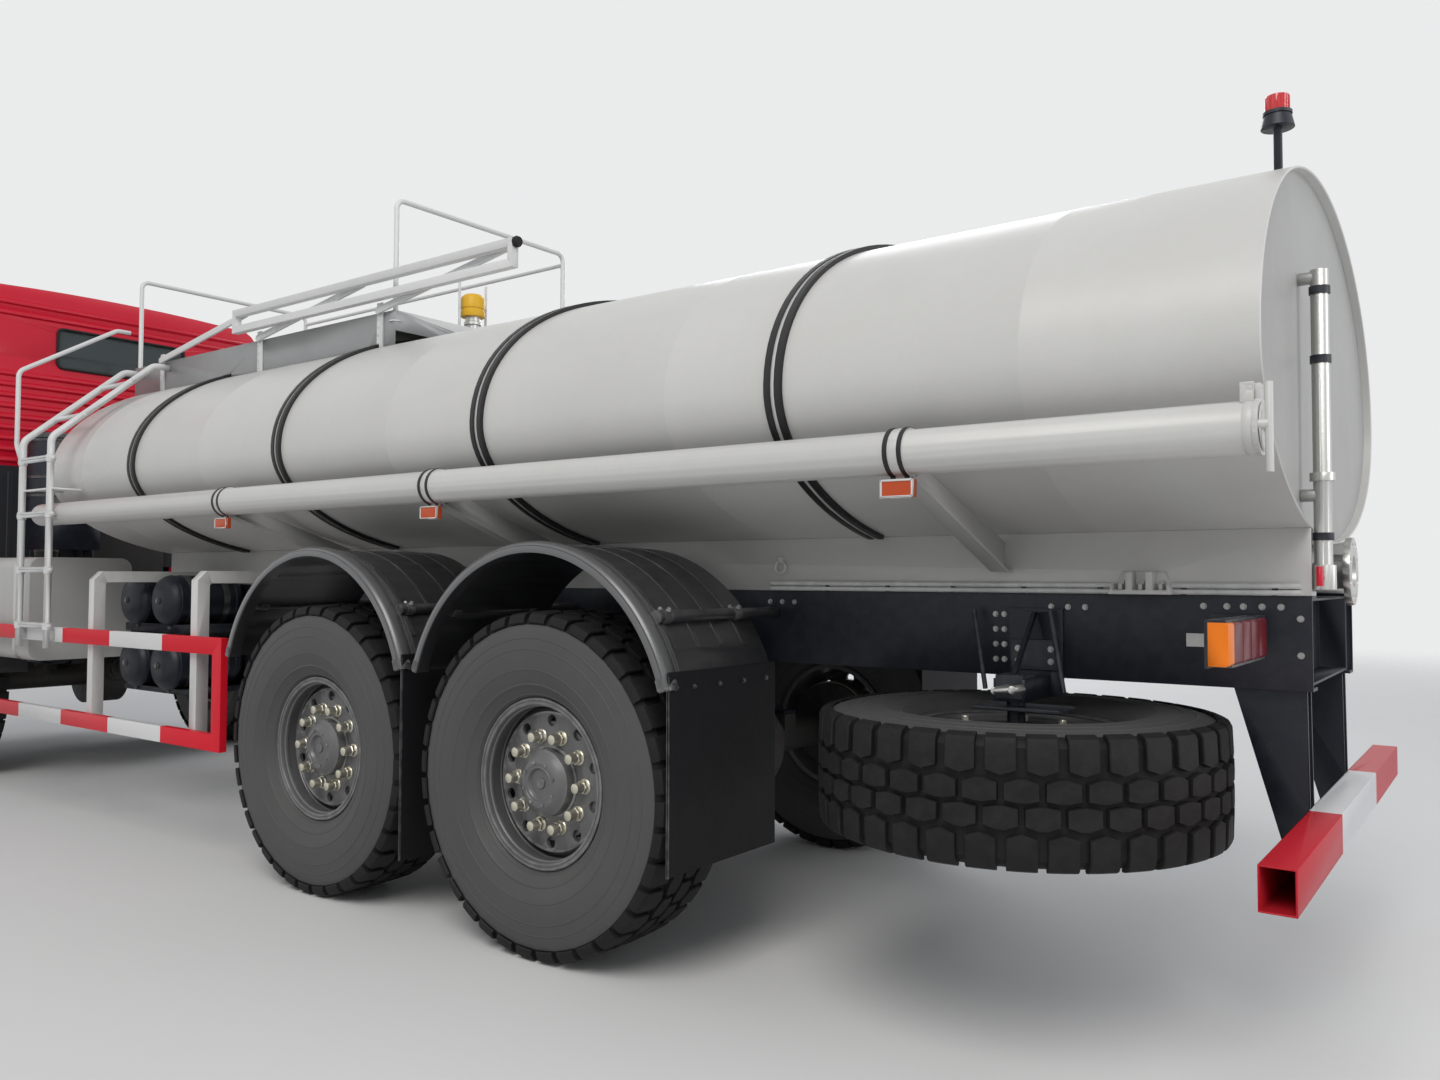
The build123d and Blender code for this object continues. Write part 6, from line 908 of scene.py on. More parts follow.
class TANKER_OT_wheels(bpy.types.Operator):
    """Adds the tyres with their tread, and dresses rims, nuts and hubs"""
    bl_idname = "tanker.wheels"
    bl_label = "Wheels and Tyres"
    bl_options = {"REGISTER", "UNDO"}

    def execute(self, context):
        pitches = context.scene.tanker_sizes.tread_pitches
        for name, axle, side in WHEELS:
            centre = (axle, side * WHEEL_Y, TYRE_RADIUS)
            place = quarter_turned(centre, "X", -side)
            wheel = f"wheel_{name}"
            add_tyre(f"tyre_{name}", place, (0, 1, 0), centre, wheel, pitches)
            cad_copy(wheel, f"{wheel}_disc", ["rim_dark", "nut_zinc"], wheel, 0.002,
                     pick=wheel_pick(centre))
            add_wheel_dressing(wheel, place, centre)
        flat = Matrix.Translation(SPARE_PLACE)
        add_tyre("spare_tyre", flat, (0, 0, 1), SPARE_PLACE, "chassis", pitches)
        rim_steps("spare", flat, "chassis")
        stud = Shape()
        spot = on_disc(flat, NUT_RING, math.radians(45), 0)
        stud.turned([(0.0, 0.07), (0.012, 0.07), (0.012, 0.158), (0.01, 0.161), (0.0, 0.161)], 16, 0, spot)
        stud.turned([(0.0, 0.122), (0.021, 0.122), (0.021, 0.142), (0.018, 0.145), (0.0, 0.145)], 6, 0, spot)
        repeated("spare_studs", stud, "nut_zinc", "chassis", 3, turn=(0, 0, TAU / 3), pivot=SPARE_PLACE)
        return {"FINISHED"}


def strap(shape, x_low, x_high, grow_low, grow_high, finish):
    """An open hoop over the tank between two places along it and two heights off its skin."""
    corners = ((x_low, grow_low), (x_low, grow_high), (x_high, grow_high), (x_high, grow_low))
    angles = [math.radians(-66.0 + 312.0 * i / 84) for i in range(85)]
    shape.skin([[(x, *tank_point(angle, grow)) for x, grow in corners] for angle in angles], finish)


class TANKER_OT_tank(bpy.types.Operator):
    """Adds the tank shell with its heads, weld rings and bands"""
    bl_idname = "tanker.tank"
    bl_label = "Tank"
    bl_options = {"REGISTER", "UNDO"}

    def execute(self, context):
        steps = 128
        shape = Shape()
        # Columns: X, growth of the section, finish of the strip after it
        stations = [
            (-4.817, -0.25, 1), (-4.815, -0.06, 1), (-4.8165, -0.012, 1), (-4.818, -0.007, 0),
            (-4.842, -0.0068, 0), (TANK_REAR_X, -0.0035, 0), (-4.842, 0.0, 0)]
        for x in (-4.25, -3.02, -1.52, -0.02, 1.24):
            stations += [(x - 0.012, 0.0, 0), (x - 0.004, 0.0016, 0), (x + 0.004, 0.0016, 0), (x + 0.012, 0.0, 0)]
        stations += [(TANK_FRONT_X, 0.0, 0), (1.66, -0.006, 0), (1.7, -0.022, 0), (1.745, -0.052, 0),
                     (1.79, -0.1, 0), (1.828, -0.165, 0), (1.852, -0.24, 0), (1.866, -0.32, 0),
                     (1.8695, -0.4, 0)]
        shape.add([(x, *tank_point(TAU * i / steps, grow)) for x, grow, finish in stations for i in range(steps)], [])
        for k, (x, grow, finish) in enumerate(stations[:-1]):
            here, there = k * steps, (k + 1) * steps
            faces = [(here + i, here + (i + 1) % steps, there + (i + 1) % steps, there + i) for i in range(steps)]
            shape.faces.extend(faces)
            shape.finishes.extend([finish] * len(faces))
        for x, first in ((-4.8175, 0), (1.87, (len(stations) - 1) * steps)):
            hub = len(shape.points)
            shape.points.append((x, 0.0, TANK_WAIST_Z + 0.06))
            shape.faces.extend((hub, first + (i + 1) % steps, first + i) for i in range(steps))
            shape.finishes.extend([1 if first == 0 else 0] * steps)
        # The recessed rear head and the inner wall of its rim take the darker head finish, as painted shade
        piece("tank_shell", shape, ["tank_paint", "tank_head"], "chassis", ("tank",), angle=40)
        bands = Shape()
        rib = context.scene.tanker_sizes.band_rib
        for centre in BAND_PLACES:
            low, high = centre - 0.031, centre + 0.031
            strap(bands, low + rib, high - rib, 0.0003, 0.0128, 1)
            for start in (low, high - rib):
                strap(bands, start, start + rib, 0.0003, 0.0163, 0)
        piece("tank_bands_ribs", bands, ["band_black", "band_groove"], "chassis", ("tank_bands",),
              bevel=0.0015)
        return {"FINISHED"}


def arc_band(shape, centre, radius, wall, start, end, y_low, y_high, steps=40):
    """A curved strip over a wheel, angles in degrees above level."""
    inner = arc_points(centre, radius, start, end, steps)
    outer = arc_points(centre, radius + wall, start, end, steps)
    shape.skin([[(xi, y_low, zi), (xo, y_low, zo), (xo, y_high, zo), (xi, y_high, zi)]
                for (xi, zi), (xo, zo) in zip(inner, outer)])


GUARD_CENTRE_Z = 0.812
GUARD_RADIUS = 0.662
# The thick rounded lip of a guard: (radius, Y) points round its section
LIP_SECTION = [(0.66, 1.156), (0.6665, 1.1578), (0.6715, 1.163), (0.6755, 1.173), (0.6772, 1.186),
               (0.6762, 1.199), (0.6722, 1.2105), (0.665, 1.219), (0.656, 1.2232), (0.645, 1.224),
               (0.635, 1.2225), (0.6338, 1.2185), (0.644, 1.216), (0.656, 1.208), (0.6595, 1.19)]


def guard_lip(shape, axle, side, grow, low, high, steps):
    """Sweeps the lip's section round a guard between two angles above level."""
    middle_r, middle_y = 0.655, 1.19
    section = [(middle_r + (r - middle_r) * grow, middle_y + (y - middle_y) * grow) for r, y in LIP_SECTION]
    start = -high if side > 0 else low
    shape.turned(section, steps, 0, quarter_turned((axle, 0, GUARD_CENTRE_Z), "X", -side), math.radians(start),
                 math.radians(high - low), True)


class TANKER_OT_guards(bpy.types.Operator):
    """Adds the wheel guards with rounded lips, ribs, clamps, bars and flaps"""
    bl_idname = "tanker.guards"
    bl_label = "Wheel Guards"
    bl_options = {"REGISTER", "UNDO"}

    def execute(self, context):
        sizes = context.scene.tanker_sizes
        cad_copy("mudguards", "mudguards_sheet", ["moulded_black"], "chassis",
                 0.006 * sizes.edge_rounding, angle=40)
        ribs, fittings = Shape(), Shape()
        heads, band_heads = [], []
        for side in (-1, 1):
            for axle in (AXLE_3_X, AXLE_2_X):
                centre = (axle, GUARD_CENTRE_Z)
                guard_lip(ribs, axle, side, 1.0, 16.0, 164.0, 60)
                for y, lift in ((1.13, 0.005), (1.146, 0.008)):
                    arc_band(ribs, centre, GUARD_RADIUS - 0.001, lift, 17, 163,
                             *side_span(side, y - 0.0035, y + 0.0035))
                for start in (16.4, 160.2):
                    guard_lip(fittings, axle, side, 1.1, start, start + 3.4, 4)
                    arc_band(fittings, centre, GUARD_RADIUS - 0.001, 0.005, start, start + 3.4,
                             *side_span(side, 0.62, 1.15), steps=4)
                    middle = math.radians(start + 1.7)
                    out = Vector((math.cos(middle), 0, math.sin(middle)))
                    foot = Vector((axle, 0, GUARD_CENTRE_Z))
                    for y in (0.66, 0.83, 0.97, 1.1):
                        heads.append((foot + Vector((0, side * y, 0)) + out * (GUARD_RADIUS + 0.003), out))
                    heads.append((foot + Vector((0, side * 1.187, 0)) + out * (GUARD_RADIUS + 0.016), out))
                for angle in (38, 142):
                    x = axle + (GUARD_RADIUS + 0.013) * math.cos(math.radians(angle))
                    z = min(GUARD_CENTRE_Z + (GUARD_RADIUS + 0.013) * math.sin(math.radians(angle)), RAIL_HIGH - 0.04)
                    for y in (0.7, 1.1):
                        fittings.tube([(x, side * (y - 0.018), z), (x, side * (y + 0.018), z)], 0.0255, steps=20)
                        for along in (-1, 1):
                            band_heads.append(((x + along * 0.017, side * y, z + 0.02), (along * 0.5, 0, 1)))
                    fittings.tube([(x, side * 1.139, z), (x, side * 1.146, z)], 0.0235, steps=20)
        # The lips and ribs take the lighter lip finish, a painted sheen of the sky on the guards' glossy tops
        piece("mudguards_lips", ribs, ["lip_black"], "chassis", angle=50)
        piece("mudguards_clamps", fittings, ["clamp_grey"], "chassis", angle=40)
        bolts("mudguards_bolts", heads, 0.008, 0.007, "clamp_grey", "chassis")
        bolts("mudguards_clamp_bolts", band_heads, 0.0075, 0.011, "bolt_steel", "chassis")
        edges, heads = Shape(), []
        for side in (-1, 1):
            for axle, bottom in ((AXLE_3_X, 0.4), (AXLE_2_X, 0.25)):
                x = axle - 0.6447
                edges.block((x, x + 0.009), side_span(side, 1.2085, 1.214), (bottom, 1.04))
                heads += [((x, side * y, 1.0), (-1, 0, 0)) for y in (0.66, 0.8, 0.94, 1.08, 1.18)]
        piece("mudflaps_edges", edges, ["moulded_black"], "chassis")
        bolts("mudflap_bolts", heads, 0.007, 0.006, "moulded_black", "chassis")
        return {"FINISHED"}


class TANKER_OT_tube(bpy.types.Operator):
    """Adds the hose tube's finish, strap lines, mouth ring and markers"""
    bl_idname = "tanker.tube"
    bl_label = "Hose Tube"
    bl_options = {"REGISTER", "UNDO"}

    def execute(self, context):
        def strap_pick(middle, normal):
            ring = math.hypot(middle.y - TUBE_Y, middle.z - TUBE_Z)
            near = min(abs(middle.x - x) for x in TUBE_STRAPS)
            return 1 if near < 0.031 and 0.064 < ring < 0.0695 else 0

        cad_copy("hose_tube", "hose_tube_finish", ["tank_paint", "band_groove"], "chassis", 0.001,
                 pick=strap_pick, angle=35)
        lines = Shape()
        for x in TUBE_STRAPS:
            for start in (-0.0295, 0.0145):
                lines.turned([(0.0685, 0.0), (0.0715, 0.001), (0.0715, 0.014), (0.0685, 0.015)], 40, 0,
                             quarter_turned((x + start, TUBE_Y, TUBE_Z), "Y"), closed_profile=True)
                lines.block((x + start, x + start + 0.015), (1.1715, 1.1815), (1.606, 1.652))
        piece("hose_tube_strap_lines", lines, ["band_black"], "chassis", angle=35)
        mouth = Shape()
        mouth.turned([(0.0592, 0.0), (0.064, 0.0), (0.0655, 0.004), (0.0655, 0.018), (0.0632, 0.022), (0.0592, 0.022)],
                     48, 0, quarter_turned((-4.8418, TUBE_Y, TUBE_Z), "Y"), closed_profile=True)
        piece("hose_tube_mouth", mouth, ["tank_paint"], "chassis", angle=35)
        cap = Shape()
        cap.turned([(0.0, -0.001), (0.058, -0.001), (0.056, 0.003), (0.046, 0.003), (0.044, 0.001), (0.012, 0.001),
                    (0.012, 0.006), (0.0, 0.006)], 48, 0, quarter_turned((-4.8573, TUBE_Y, TUBE_Z), "Y", -1))
        piece("tube_cap_face", cap, ["tank_paint"], "tube_cap", angle=35)
        frames = Shape()
        low, high = MARKER_Z - 0.025, MARKER_Z + 0.025
        for x in TUBE_STRAPS:
            left, right = x - 0.05, x + 0.05
            for across, upward in (((left, right), (high - 0.005, high)), ((left, right), (low, low + 0.005)),
                                   ((left, left + 0.005), (low, high)), ((right - 0.005, right), (low, high))):
                frames.block(across, (1.196, 1.2055), upward)
        piece("marker_frames", frames, ["bracket_white"], "chassis", bevel=0.001)
        return {"FINISHED"}


class TANKER_OT_side_guards(bpy.types.Operator):
    """Adds the striped side guards with end caps and bolts"""
    bl_idname = "tanker.side_guards"
    bl_label = "Side Guards"
    bl_options = {"REGISTER", "UNDO"}

    def execute(self, context):
        def guard_pick(middle, normal):
            if middle.x < -0.3655 and 0.621 < middle.z < 0.99:
                return 1
            return 2 if abs(middle.y) < 1.1835 else 0

        cad_copy("side_guards", "side_guards_finish", ["guard_stripes", "guard_red", "bracket_white"], "chassis",
                 0.005 * context.scene.tanker_sizes.edge_rounding, pick=guard_pick)
        heads = [((x + along, side * 0.4503, 1.29), (0, side, 0)) for side in (-1, 1) for x in (-0.133, 0.946)
                 for along in (-0.018, 0.018)]
        bolts("side_guard_bolts", heads, 0.008, 0.007, "bolt_steel", "chassis")
        return {"FINISHED"}


class TANKER_OT_reservoirs(bpy.types.Operator):
    """Adds the air reservoirs with domed ends, seams, straps and drains"""
    bl_idname = "tanker.reservoirs"
    bl_label = "Air Reservoirs"
    bl_options = {"REGISTER", "UNDO"}

    def execute(self, context):
        shape = Shape()
        half = [(0.0, -0.0012), (0.049, -0.0012), (0.07, 0.002), (0.088, 0.007), (0.104, 0.012),
                (0.116, 0.018), (0.127, 0.029), (0.1345, 0.04), (0.1395, 0.051), (0.1408, 0.06),
                (0.1425, 0.062), (0.1425, 0.072), (0.1408, 0.074)]
        barrel = half + [(r, 0.45 - h) for r, h in reversed(half)]
        for x, z in ((0.77, 1.222), (1.13, 1.222), (0.77, 0.865), (1.13, 0.865)):
            place = quarter_turned((x, 0.455, z), "X", -1)
            shape.turned(barrel, 48, 0, place)
            for y in (0.13, 0.32):
                shape.turned([(0.14, y - 0.018), (0.1435, y - 0.018), (0.1435, y + 0.018), (0.14, y + 0.018)],
                             48, 1, place, closed_profile=True)
            shape.turned([(0.0, -0.003), (0.02, -0.003), (0.02, 0.006), (0.014, 0.009), (0.014, 0.014), (0.0, 0.014)],
                         6, 1, quarter_turned((x, 0.905, z), "X", -1))
            shape.turned([(0.0, 0.0), (0.012, 0.0), (0.012, 0.018), (0.0, 0.018)], 12, 1,
                         Matrix.Translation((x, 0.84, z - 0.139)) @ Matrix.Rotation(math.pi, 4, "X"))
        piece("air_reservoir_barrels", shape, ["chassis_black", "moulded_black"], "chassis", angle=30)
        cad_copy("air_reservoirs", "air_reservoir_shelves", ["chassis_black"], "chassis")
        return {"FINISHED"}


class TANKER_OT_top_gear(bpy.types.Operator):
    """Adds the walkway, hoops, ladder, vent and manhole fittings"""
    bl_idname = "tanker.top_gear"
    bl_label = "Top Gear and Ladder"
    bl_options = {"REGISTER", "UNDO"}

    def execute(self, context):
        def walk_pick(middle, normal):
            post = min(abs(middle.x - x) for x in POST_PLACES) < 0.06 and middle.y > 0.6015
            return 1 if post or middle.z > 2.79 or middle.z > 2.64 and abs(middle.y) < 0.596 else 0

        cad_copy("walkway", "walkway_finish", ["deck_metal", "rail_white"], "chassis", 0.0015,
                 pick=walk_pick, angle=40)
        for name, low, high in (("walkway_grip_left", 0.345, 0.585), ("walkway_grip_right", -0.585, -0.345)):
            ridge = Shape().prism([(-0.8695, DECK_Z), (-0.8605, DECK_Z), (-0.862, DECK_Z + 0.0035),
                                   (-0.868, DECK_Z + 0.0035)], low, high, "Y")
            repeated(name, ridge, "deck_metal", "chassis", 86, step=(0.03, 0, 0))
        heads = [((x + 0.012, 0.608, z), (0, 1, 0)) for x in POST_PLACES for z in (2.52, 2.56, 2.6, 2.64, 2.68)]
        bolts("walkway_rivets", heads, 0.0055, 0.003, "rail_white", "chassis")
        fittings = Shape()
        for x in (-0.859, 1.719):
            for side in (-1, 1):
                fittings.turned([(0.013, 0.0), (0.032, 0.0), (0.032, 0.006), (0.018, 0.007), (0.0145, 0.016),
                                 (0.013, 0.016)], 24, 0, Matrix.Translation((x, side * 0.579, DECK_Z)),
                                closed_profile=True)
        piece("walkway_fittings", fittings, ["rail_white"], "chassis")
        cad_copy("ladder", "ladder_finish", ["rail_white"], "chassis", 0.0, angle=50)
        rungs = Shape()
        for x in (1.318, 1.685):
            rungs.turned([(0.0185, 0.0), (0.0235, 0.002), (0.0235, 0.04), (0.0185, 0.042)], 24, 0,
                         Matrix.Translation((x, 1.251, 1.056)), closed_profile=True)
        rungs.block((1.334, 1.669), (1.2335, 1.2685), (1.084, 1.0925))
        for i in range(11):
            x = 1.35 + 0.0303 * i
            rungs.block((x - 0.004, x + 0.004), (1.2335, 1.2685), (1.0915, 1.0955))
        repeated("ladder_treads", rungs, "rail_white", "chassis", 4, step=(0, 0, 0.314), angle=35)
        vent = Shape()
        spot = Matrix.Translation((VENT_X, VENT_Y, 0.0))
        vent.turned([(0.034, 2.56), (0.0345, 2.6), (0.05, 2.602), (0.05, 2.614), (0.0345, 2.616), (0.0345, 2.7),
                     (0.046, 2.702), (0.046, 2.716), (0.04, 2.72), (0.04, 2.7455)], 40, 1, spot)
        vent.turned([(0.034, 2.7448), (0.0628, 2.7448), (0.0645, 2.75), (0.0645, 2.772), (0.0605, 2.776),
                     (0.0605, 2.786), (0.0645, 2.79), (0.0645, 2.838), (0.06, 2.85), (0.044, 2.864),
                     (0.015, 2.8655), (0.0, 2.8655)], 40, 0, spot)
        spots = [(VENT_X + 0.043 * math.cos(TAU * i / 6), VENT_Y + 0.043 * math.sin(TAU * i / 6)) for i in range(6)]
        bolts("vent_flange_bolts", [((x, y, 2.614), (0, 0, 1)) for x, y in spots], 0.004, 0.005, "zinc_pipe",
              "chassis")
        piece("vent_valve_body", vent, ["yellow_cap", "zinc_pipe"], "chassis", ("vent_valve",), angle=30)
        posts = [[(VENT_X, y, DECK_Z), (VENT_X, y, 2.93)] for y in (VENT_Y + 0.09, VENT_Y - 0.09)]
        bars("vent_posts", posts, 0.007, "rail_white", "chassis")
        middle = Matrix.Translation((MANHOLE_X, 0, 0))
        lid = Shape().turned([(0.205, LID_TOP_Z - 0.002), (0.222, LID_TOP_Z - 0.002), (0.219, LID_TOP_Z + 0.0075),
                              (0.208, LID_TOP_Z + 0.0075)], 64, 0, middle, closed_profile=True)
        piece("manhole_lid_ring", lid, ["tank_paint"], "manhole_lid")
        clamp = Shape()
        clamp.block((0.128, 0.174), (-0.011, 0.011), (LID_TOP_Z, LID_TOP_Z + 0.008), 0, middle)
        clamp.turned([(0.0, 0.0), (0.01, 0.0), (0.01, 0.012), (0.006, 0.016), (0.0, 0.016)], 6, 0,
                     Matrix.Translation((0.06, 0, LID_TOP_Z + 0.007)))
        turn = middle @ Matrix.Rotation(math.radians(30), 4, "Z") @ middle.inverted()
        repeated("manhole_lid_clamps", placed(clamp, turn), "zinc_pipe", "manhole_lid", 5,
                 turn=(0, 0, math.radians(60)), pivot=(MANHOLE_X, 0, 0), bevel=0.0015)
        knob = Shape().turned([(0.0, -0.004), (0.016, -0.004), (0.024, 0.002), (0.0255, 0.014), (0.02, 0.026),
                               (0.0, 0.029)], 24, 0, quarter_turned((-1.7825, 0.646, 2.832), "Y", -1))
        piece("guard_bar_knob", knob, ["seal_rubber"], "guard_bar")
        return {"FINISHED"}


class TANKER_OT_rear(bpy.types.Operator):
    """Adds the striped rear bumper, tail lamps, pipe clips, valve lever and the beacon"""
    bl_idname = "tanker.rear"
    bl_label = "Rear Bumper and Lamps"
    bl_options = {"REGISTER", "UNDO"}

    def execute(self, context):
        def bumper_pick(middle, normal):
            return 0 if middle.x < -4.8255 and middle.z < 0.701 else 1

        cad_copy("rear_bumper", "rear_bumper_finish", ["bumper_stripes", "chassis_black"], "chassis",
                 0.004 * context.scene.tanker_sizes.edge_rounding, pick=bumper_pick)
        cad_copy("lamps_red", "lamps_red_lens", ["lens_red", "beacon_red"], "chassis", 0.004,
                 pick=lambda middle, normal: 1 if middle.z > 2.5 else 0)
        cad_copy("lamps_amber", "lamps_amber_lens", ["lens_amber", "lens_marker"], "chassis", 0.004,
                 pick=lambda middle, normal: 1 if middle.z > 1.5 else 0)
        housing = Shape()
        for side in (-1, 1):
            housing.block((-4.736, -4.69), side_span(side, 0.514, 0.5205), (1.134, 1.256))
            housing.block((-4.736, -4.69), side_span(side, 0.514, 0.938), (1.1335, 1.1405))
        piece("lamp_housings", housing, ["clamp_grey"], "chassis", bevel=0.001)
        spot = Matrix.Translation(BEACON_PLACE)
        beacon = Shape().turned([(0.0, 2.728), (0.04, 2.728), (0.04, 2.737), (0.0335, 2.74), (0.0, 2.74)], 32, 0,
                                spot)
        piece("beacon_base_ring", beacon, ["chassis_black"], "chassis")
        rib = Shape().prism([(0.0318, 2.7385), (0.0335, 2.7385), (0.0335, 2.781), (0.0318, 2.783)], -0.0016, 0.0016,
                            "Y", 0, spot)
        repeated("beacon_lens_ribs", rib, "beacon_red", "chassis", 24, turn=(0, 0, TAU / 24),
                 pivot=BEACON_PLACE)
        clips = Shape()
        for z in (1.47, 1.98, 2.18):
            clips.tube([(PIPE_X, PIPE_Y, z), (PIPE_X, PIPE_Y, z + 0.022)], 0.028, steps=20)
        piece("pipe_clips", clips, ["chassis_black"], "chassis")
        grip = Shape()
        grip.rod((PIPE_X, PIPE_Y, 1.365), (PIPE_X, 0.48, 1.365), 0.006)
        grip.rod((PIPE_X, 0.48, 1.34), (PIPE_X, 0.48, 1.395), 0.009)
        piece("valve_lever", grip, ["cab_red"], "chassis", bevel=0.001)
        return {"FINISHED"}


# Bolt heads on both rails, in (X, Z) places read off the photograph
RAIL_BOLTS = [(start + 0.055 * i, 1.268) for start in (-4.2, -3.1, -0.3, 0.3, 1.95, 2.85) for i in range(3)]
RAIL_BOLTS += [(x, 1.09 + 0.05 * i) for x in (-3.93, -3.9, -1.805, -1.785) for i in range(4)]
RAIL_BOLTS += [(x, 1.278) for x in (-4.555, -4.62, -4.665, -4.715, -4.765)]
RAIL_BOLTS += [(-4.815, z) for z in (1.245, 1.14)]


class TANKER_OT_frame_details(bpy.types.Operator):
    """Adds rail bolts, conduit, foot bolts, ring, plate and spare carrier parts"""
    bl_idname = "tanker.frame_details"
    bl_label = "Frame Details"
    bl_options = {"REGISTER", "UNDO"}

    def execute(self, context):
        heads, studs = [], Shape()
        for side in (-1, 1):
            heads += [((x, side * RAIL_Y, z), (0, side, 0)) for x, z in RAIL_BOLTS]
            for offset in (-0.06, 0.0, 0.06):
                heads.append(((-4.383 + offset, side * 0.446, 1.347), (0, side, 0)))
                studs.turned([(0.0, 0.0), (0.011, 0.0), (0.011, 0.018), (0.0, 0.018)], 6, 0,
                             Matrix.Translation((-4.383 + offset, side * 0.466, 1.3253)))
        bolts("rail_bolts", heads, 0.0075, 0.008, "bolt_steel", "chassis")
        piece("cradle_foot_nuts", studs, ["bolt_steel"], "chassis")
        lines = [[(-4.82, y, z), (-3.0, y, z)] for y, z in ((0.44, 1.3195), (0.4385, 1.3385))]
        bars("rail_conduit", lines, 0.0085, "rail_white", "chassis", 12)
        clip = Shape().block((-4.76, -4.744), (RAIL_Y, 0.4445), (1.3095, 1.34))
        repeated("conduit_clips", clip, "chassis_black", "chassis", 7, step=(0.25, 0, 0))
        arc = [(-3.045 + 0.022 * math.cos(TAU * i / 20), 0.4445, 1.4 + 0.022 * math.sin(TAU * i / 20))
               for i in range(20)]
        ring = Shape().tube(arc, 0.0045, steps=8, closed=True)
        ring.block((-3.055, -3.035), (0.4318, 0.4445), (1.42, 1.438))
        piece("cradle_ring", ring, ["bracket_white"], "chassis")
        plate = Shape().block((-4.615, -4.505), (RAIL_Y, 0.4325), (1.155, 1.195))
        piece("rail_plate", plate, ["bracket_white"], "chassis", bevel=0.0008)
        crank = Shape()
        crank.rod((-4.041, 0.672, 1.02), (-4.041, 0.79, 1.02), 0.012)
        crank.rod((-4.041, 0.786, 1.02), (-4.12, 0.8, 1.03), 0.01)
        crank.rod((-4.12, 0.77, 1.03), (-4.12, 0.85, 1.032), 0.013)
        crank.block((-4.085, -3.997), (0.56, 0.675), (0.985, 1.06), 1)
        crank.block((-4.206, -3.921), (0.54, 0.69), (0.95, 0.962), 1)
        crank.block((-4.12, -3.96), (0.442, 0.452), (1.06, 1.16), 1)
        bolts("hoist_bolts", [((x, 0.452, z), (0, 1, 0)) for z in (1.09, 1.13) for x in (-4.095, -3.985)], 0.008, 0.008,
              "bolt_steel", "chassis")
        piece("spare_hoist", crank, ["zinc_pipe", "chassis_black"], "chassis", bevel=0.003)
        rods = [[(-4.16, 0.52, 0.998), (-4.1, 0.47, 1.255)], [(-3.9, 0.52, 0.998), (-3.84, 0.47, 1.255)]]
        bars("spare_stay_rods", rods, 0.008, "chassis_black", "chassis", 10)
        return {"FINISHED"}


def box_outline(side, grow):
    """Points (y, z) of a side box's rounded section, larger all round by grow."""
    points = []
    for middle, start in (((1.0795, 1.4005), 0), ((0.6305, 1.4005), 90), ((0.6305, 0.9235), 180),
                          ((1.0795, 0.9235), 270)):
        points += [(side * y, z) for y, z in arc_points(middle, 0.07 + grow, start, start + 90, 8)]
    return points


class TANKER_OT_boxes(bpy.types.Operator):
    """Adds the fuel tank, battery box, air cleaner and silencer with their straps"""
    bl_idname = "tanker.boxes"
    bl_label = "Boxes and Canisters"
    bl_options = {"REGISTER", "UNDO"}

    def execute(self, context):
        cad_copy("side_boxes", "side_boxes_finish", ["box_grey", "chassis_black"], "chassis", 0.002,
                 pick=lambda middle, normal: 1 if abs(middle.y) < 0.559 else 0, angle=40)
        straps = Shape()
        for x, side in ((2.008, 1), (2.503, 1), (2.01, -1), (2.33, -1)):
            low, high = x - 0.022, x + 0.022
            straps.skin([[(low, *outer), (high, *outer), (high, *inner), (low, *inner)]
                         for outer, inner in zip(box_outline(side, 0.0035), box_outline(side, 0.0))], closed=True)
        piece("box_straps", straps, ["zinc_pipe"], "chassis", angle=35)
        filler = Shape()
        spot = Matrix.Translation((1.973, 1.0, 1.47))
        filler.turned([(0.06, 0.0), (0.0615, 0.002), (0.0615, 0.03), (0.066, 0.032), (0.066, 0.044), (0.06, 0.0475),
                       (0.0, 0.0475)], 40, 0, spot)
        for i in range(3):
            filler.block((0.02, 0.064), (-0.008, 0.008), (0.046, 0.051), 0,
                         spot @ Matrix.Rotation(TAU * i / 3, 4, "Z"))
        piece("fuel_filler_cap", filler, ["seal_rubber"], "chassis", bevel=0.001)
        lid = Shape()
        lid.block((1.872, 2.468), (-1.1535, -1.1495), (0.935, 1.395))
        for x in (1.95, 2.17, 2.39):
            lid.block((x - 0.014, x + 0.014), (-1.164, -1.152), (1.35, 1.41))
        piece("battery_box_cover", lid, ["box_grey"], "chassis", bevel=0.003)
        cad_copy("air_cleaner", "air_cleaner_finish", ["chassis_black"], "chassis", 0.004, angle=35)
        rings = Shape()
        spot = Matrix.Translation((2.875, 0.56, 0.0))
        for z in (1.79, 1.905, 2.03, 2.16, 2.285):
            rings.turned([(0.1995, z - 0.012), (0.2045, z - 0.007), (0.2045, z + 0.007), (0.1995, z + 0.012)], 56, 0,
                         spot, closed_profile=True)
        rings.turned([(0.1995, 2.3), (0.206, 2.302), (0.206, 2.322), (0.196, 2.334), (0.15, 2.338), (0.0, 2.34)],
                     56, 0, spot)
        turn = quarter_turned((1.08, -0.6, 1.0), "X")
        for y in (0.012, 0.25, 0.488):
            rings.turned([(0.1895, y - 0.012), (0.1945, y - 0.008), (0.1945, y + 0.008), (0.1895, y + 0.012)], 56, 0,
                         turn, closed_profile=True)
        piece("canister_rings", rings, ["moulded_black"], "chassis", angle=35)
        return {"FINISHED"}


CAB_REAR_X = 3.205
CAB_FRONT_X = 4.87
CAB_FLOOR_Z = 1.4353
DASH_FRONT_X = 4.8247
CAB_MIDDLE = Vector((4.03, 0.0, 2.45))


def side_y(z):
    """Half width of the cab at a height."""
    return 1.2 if z < 2.26 else 1.2 - (z - 2.26) * 0.09


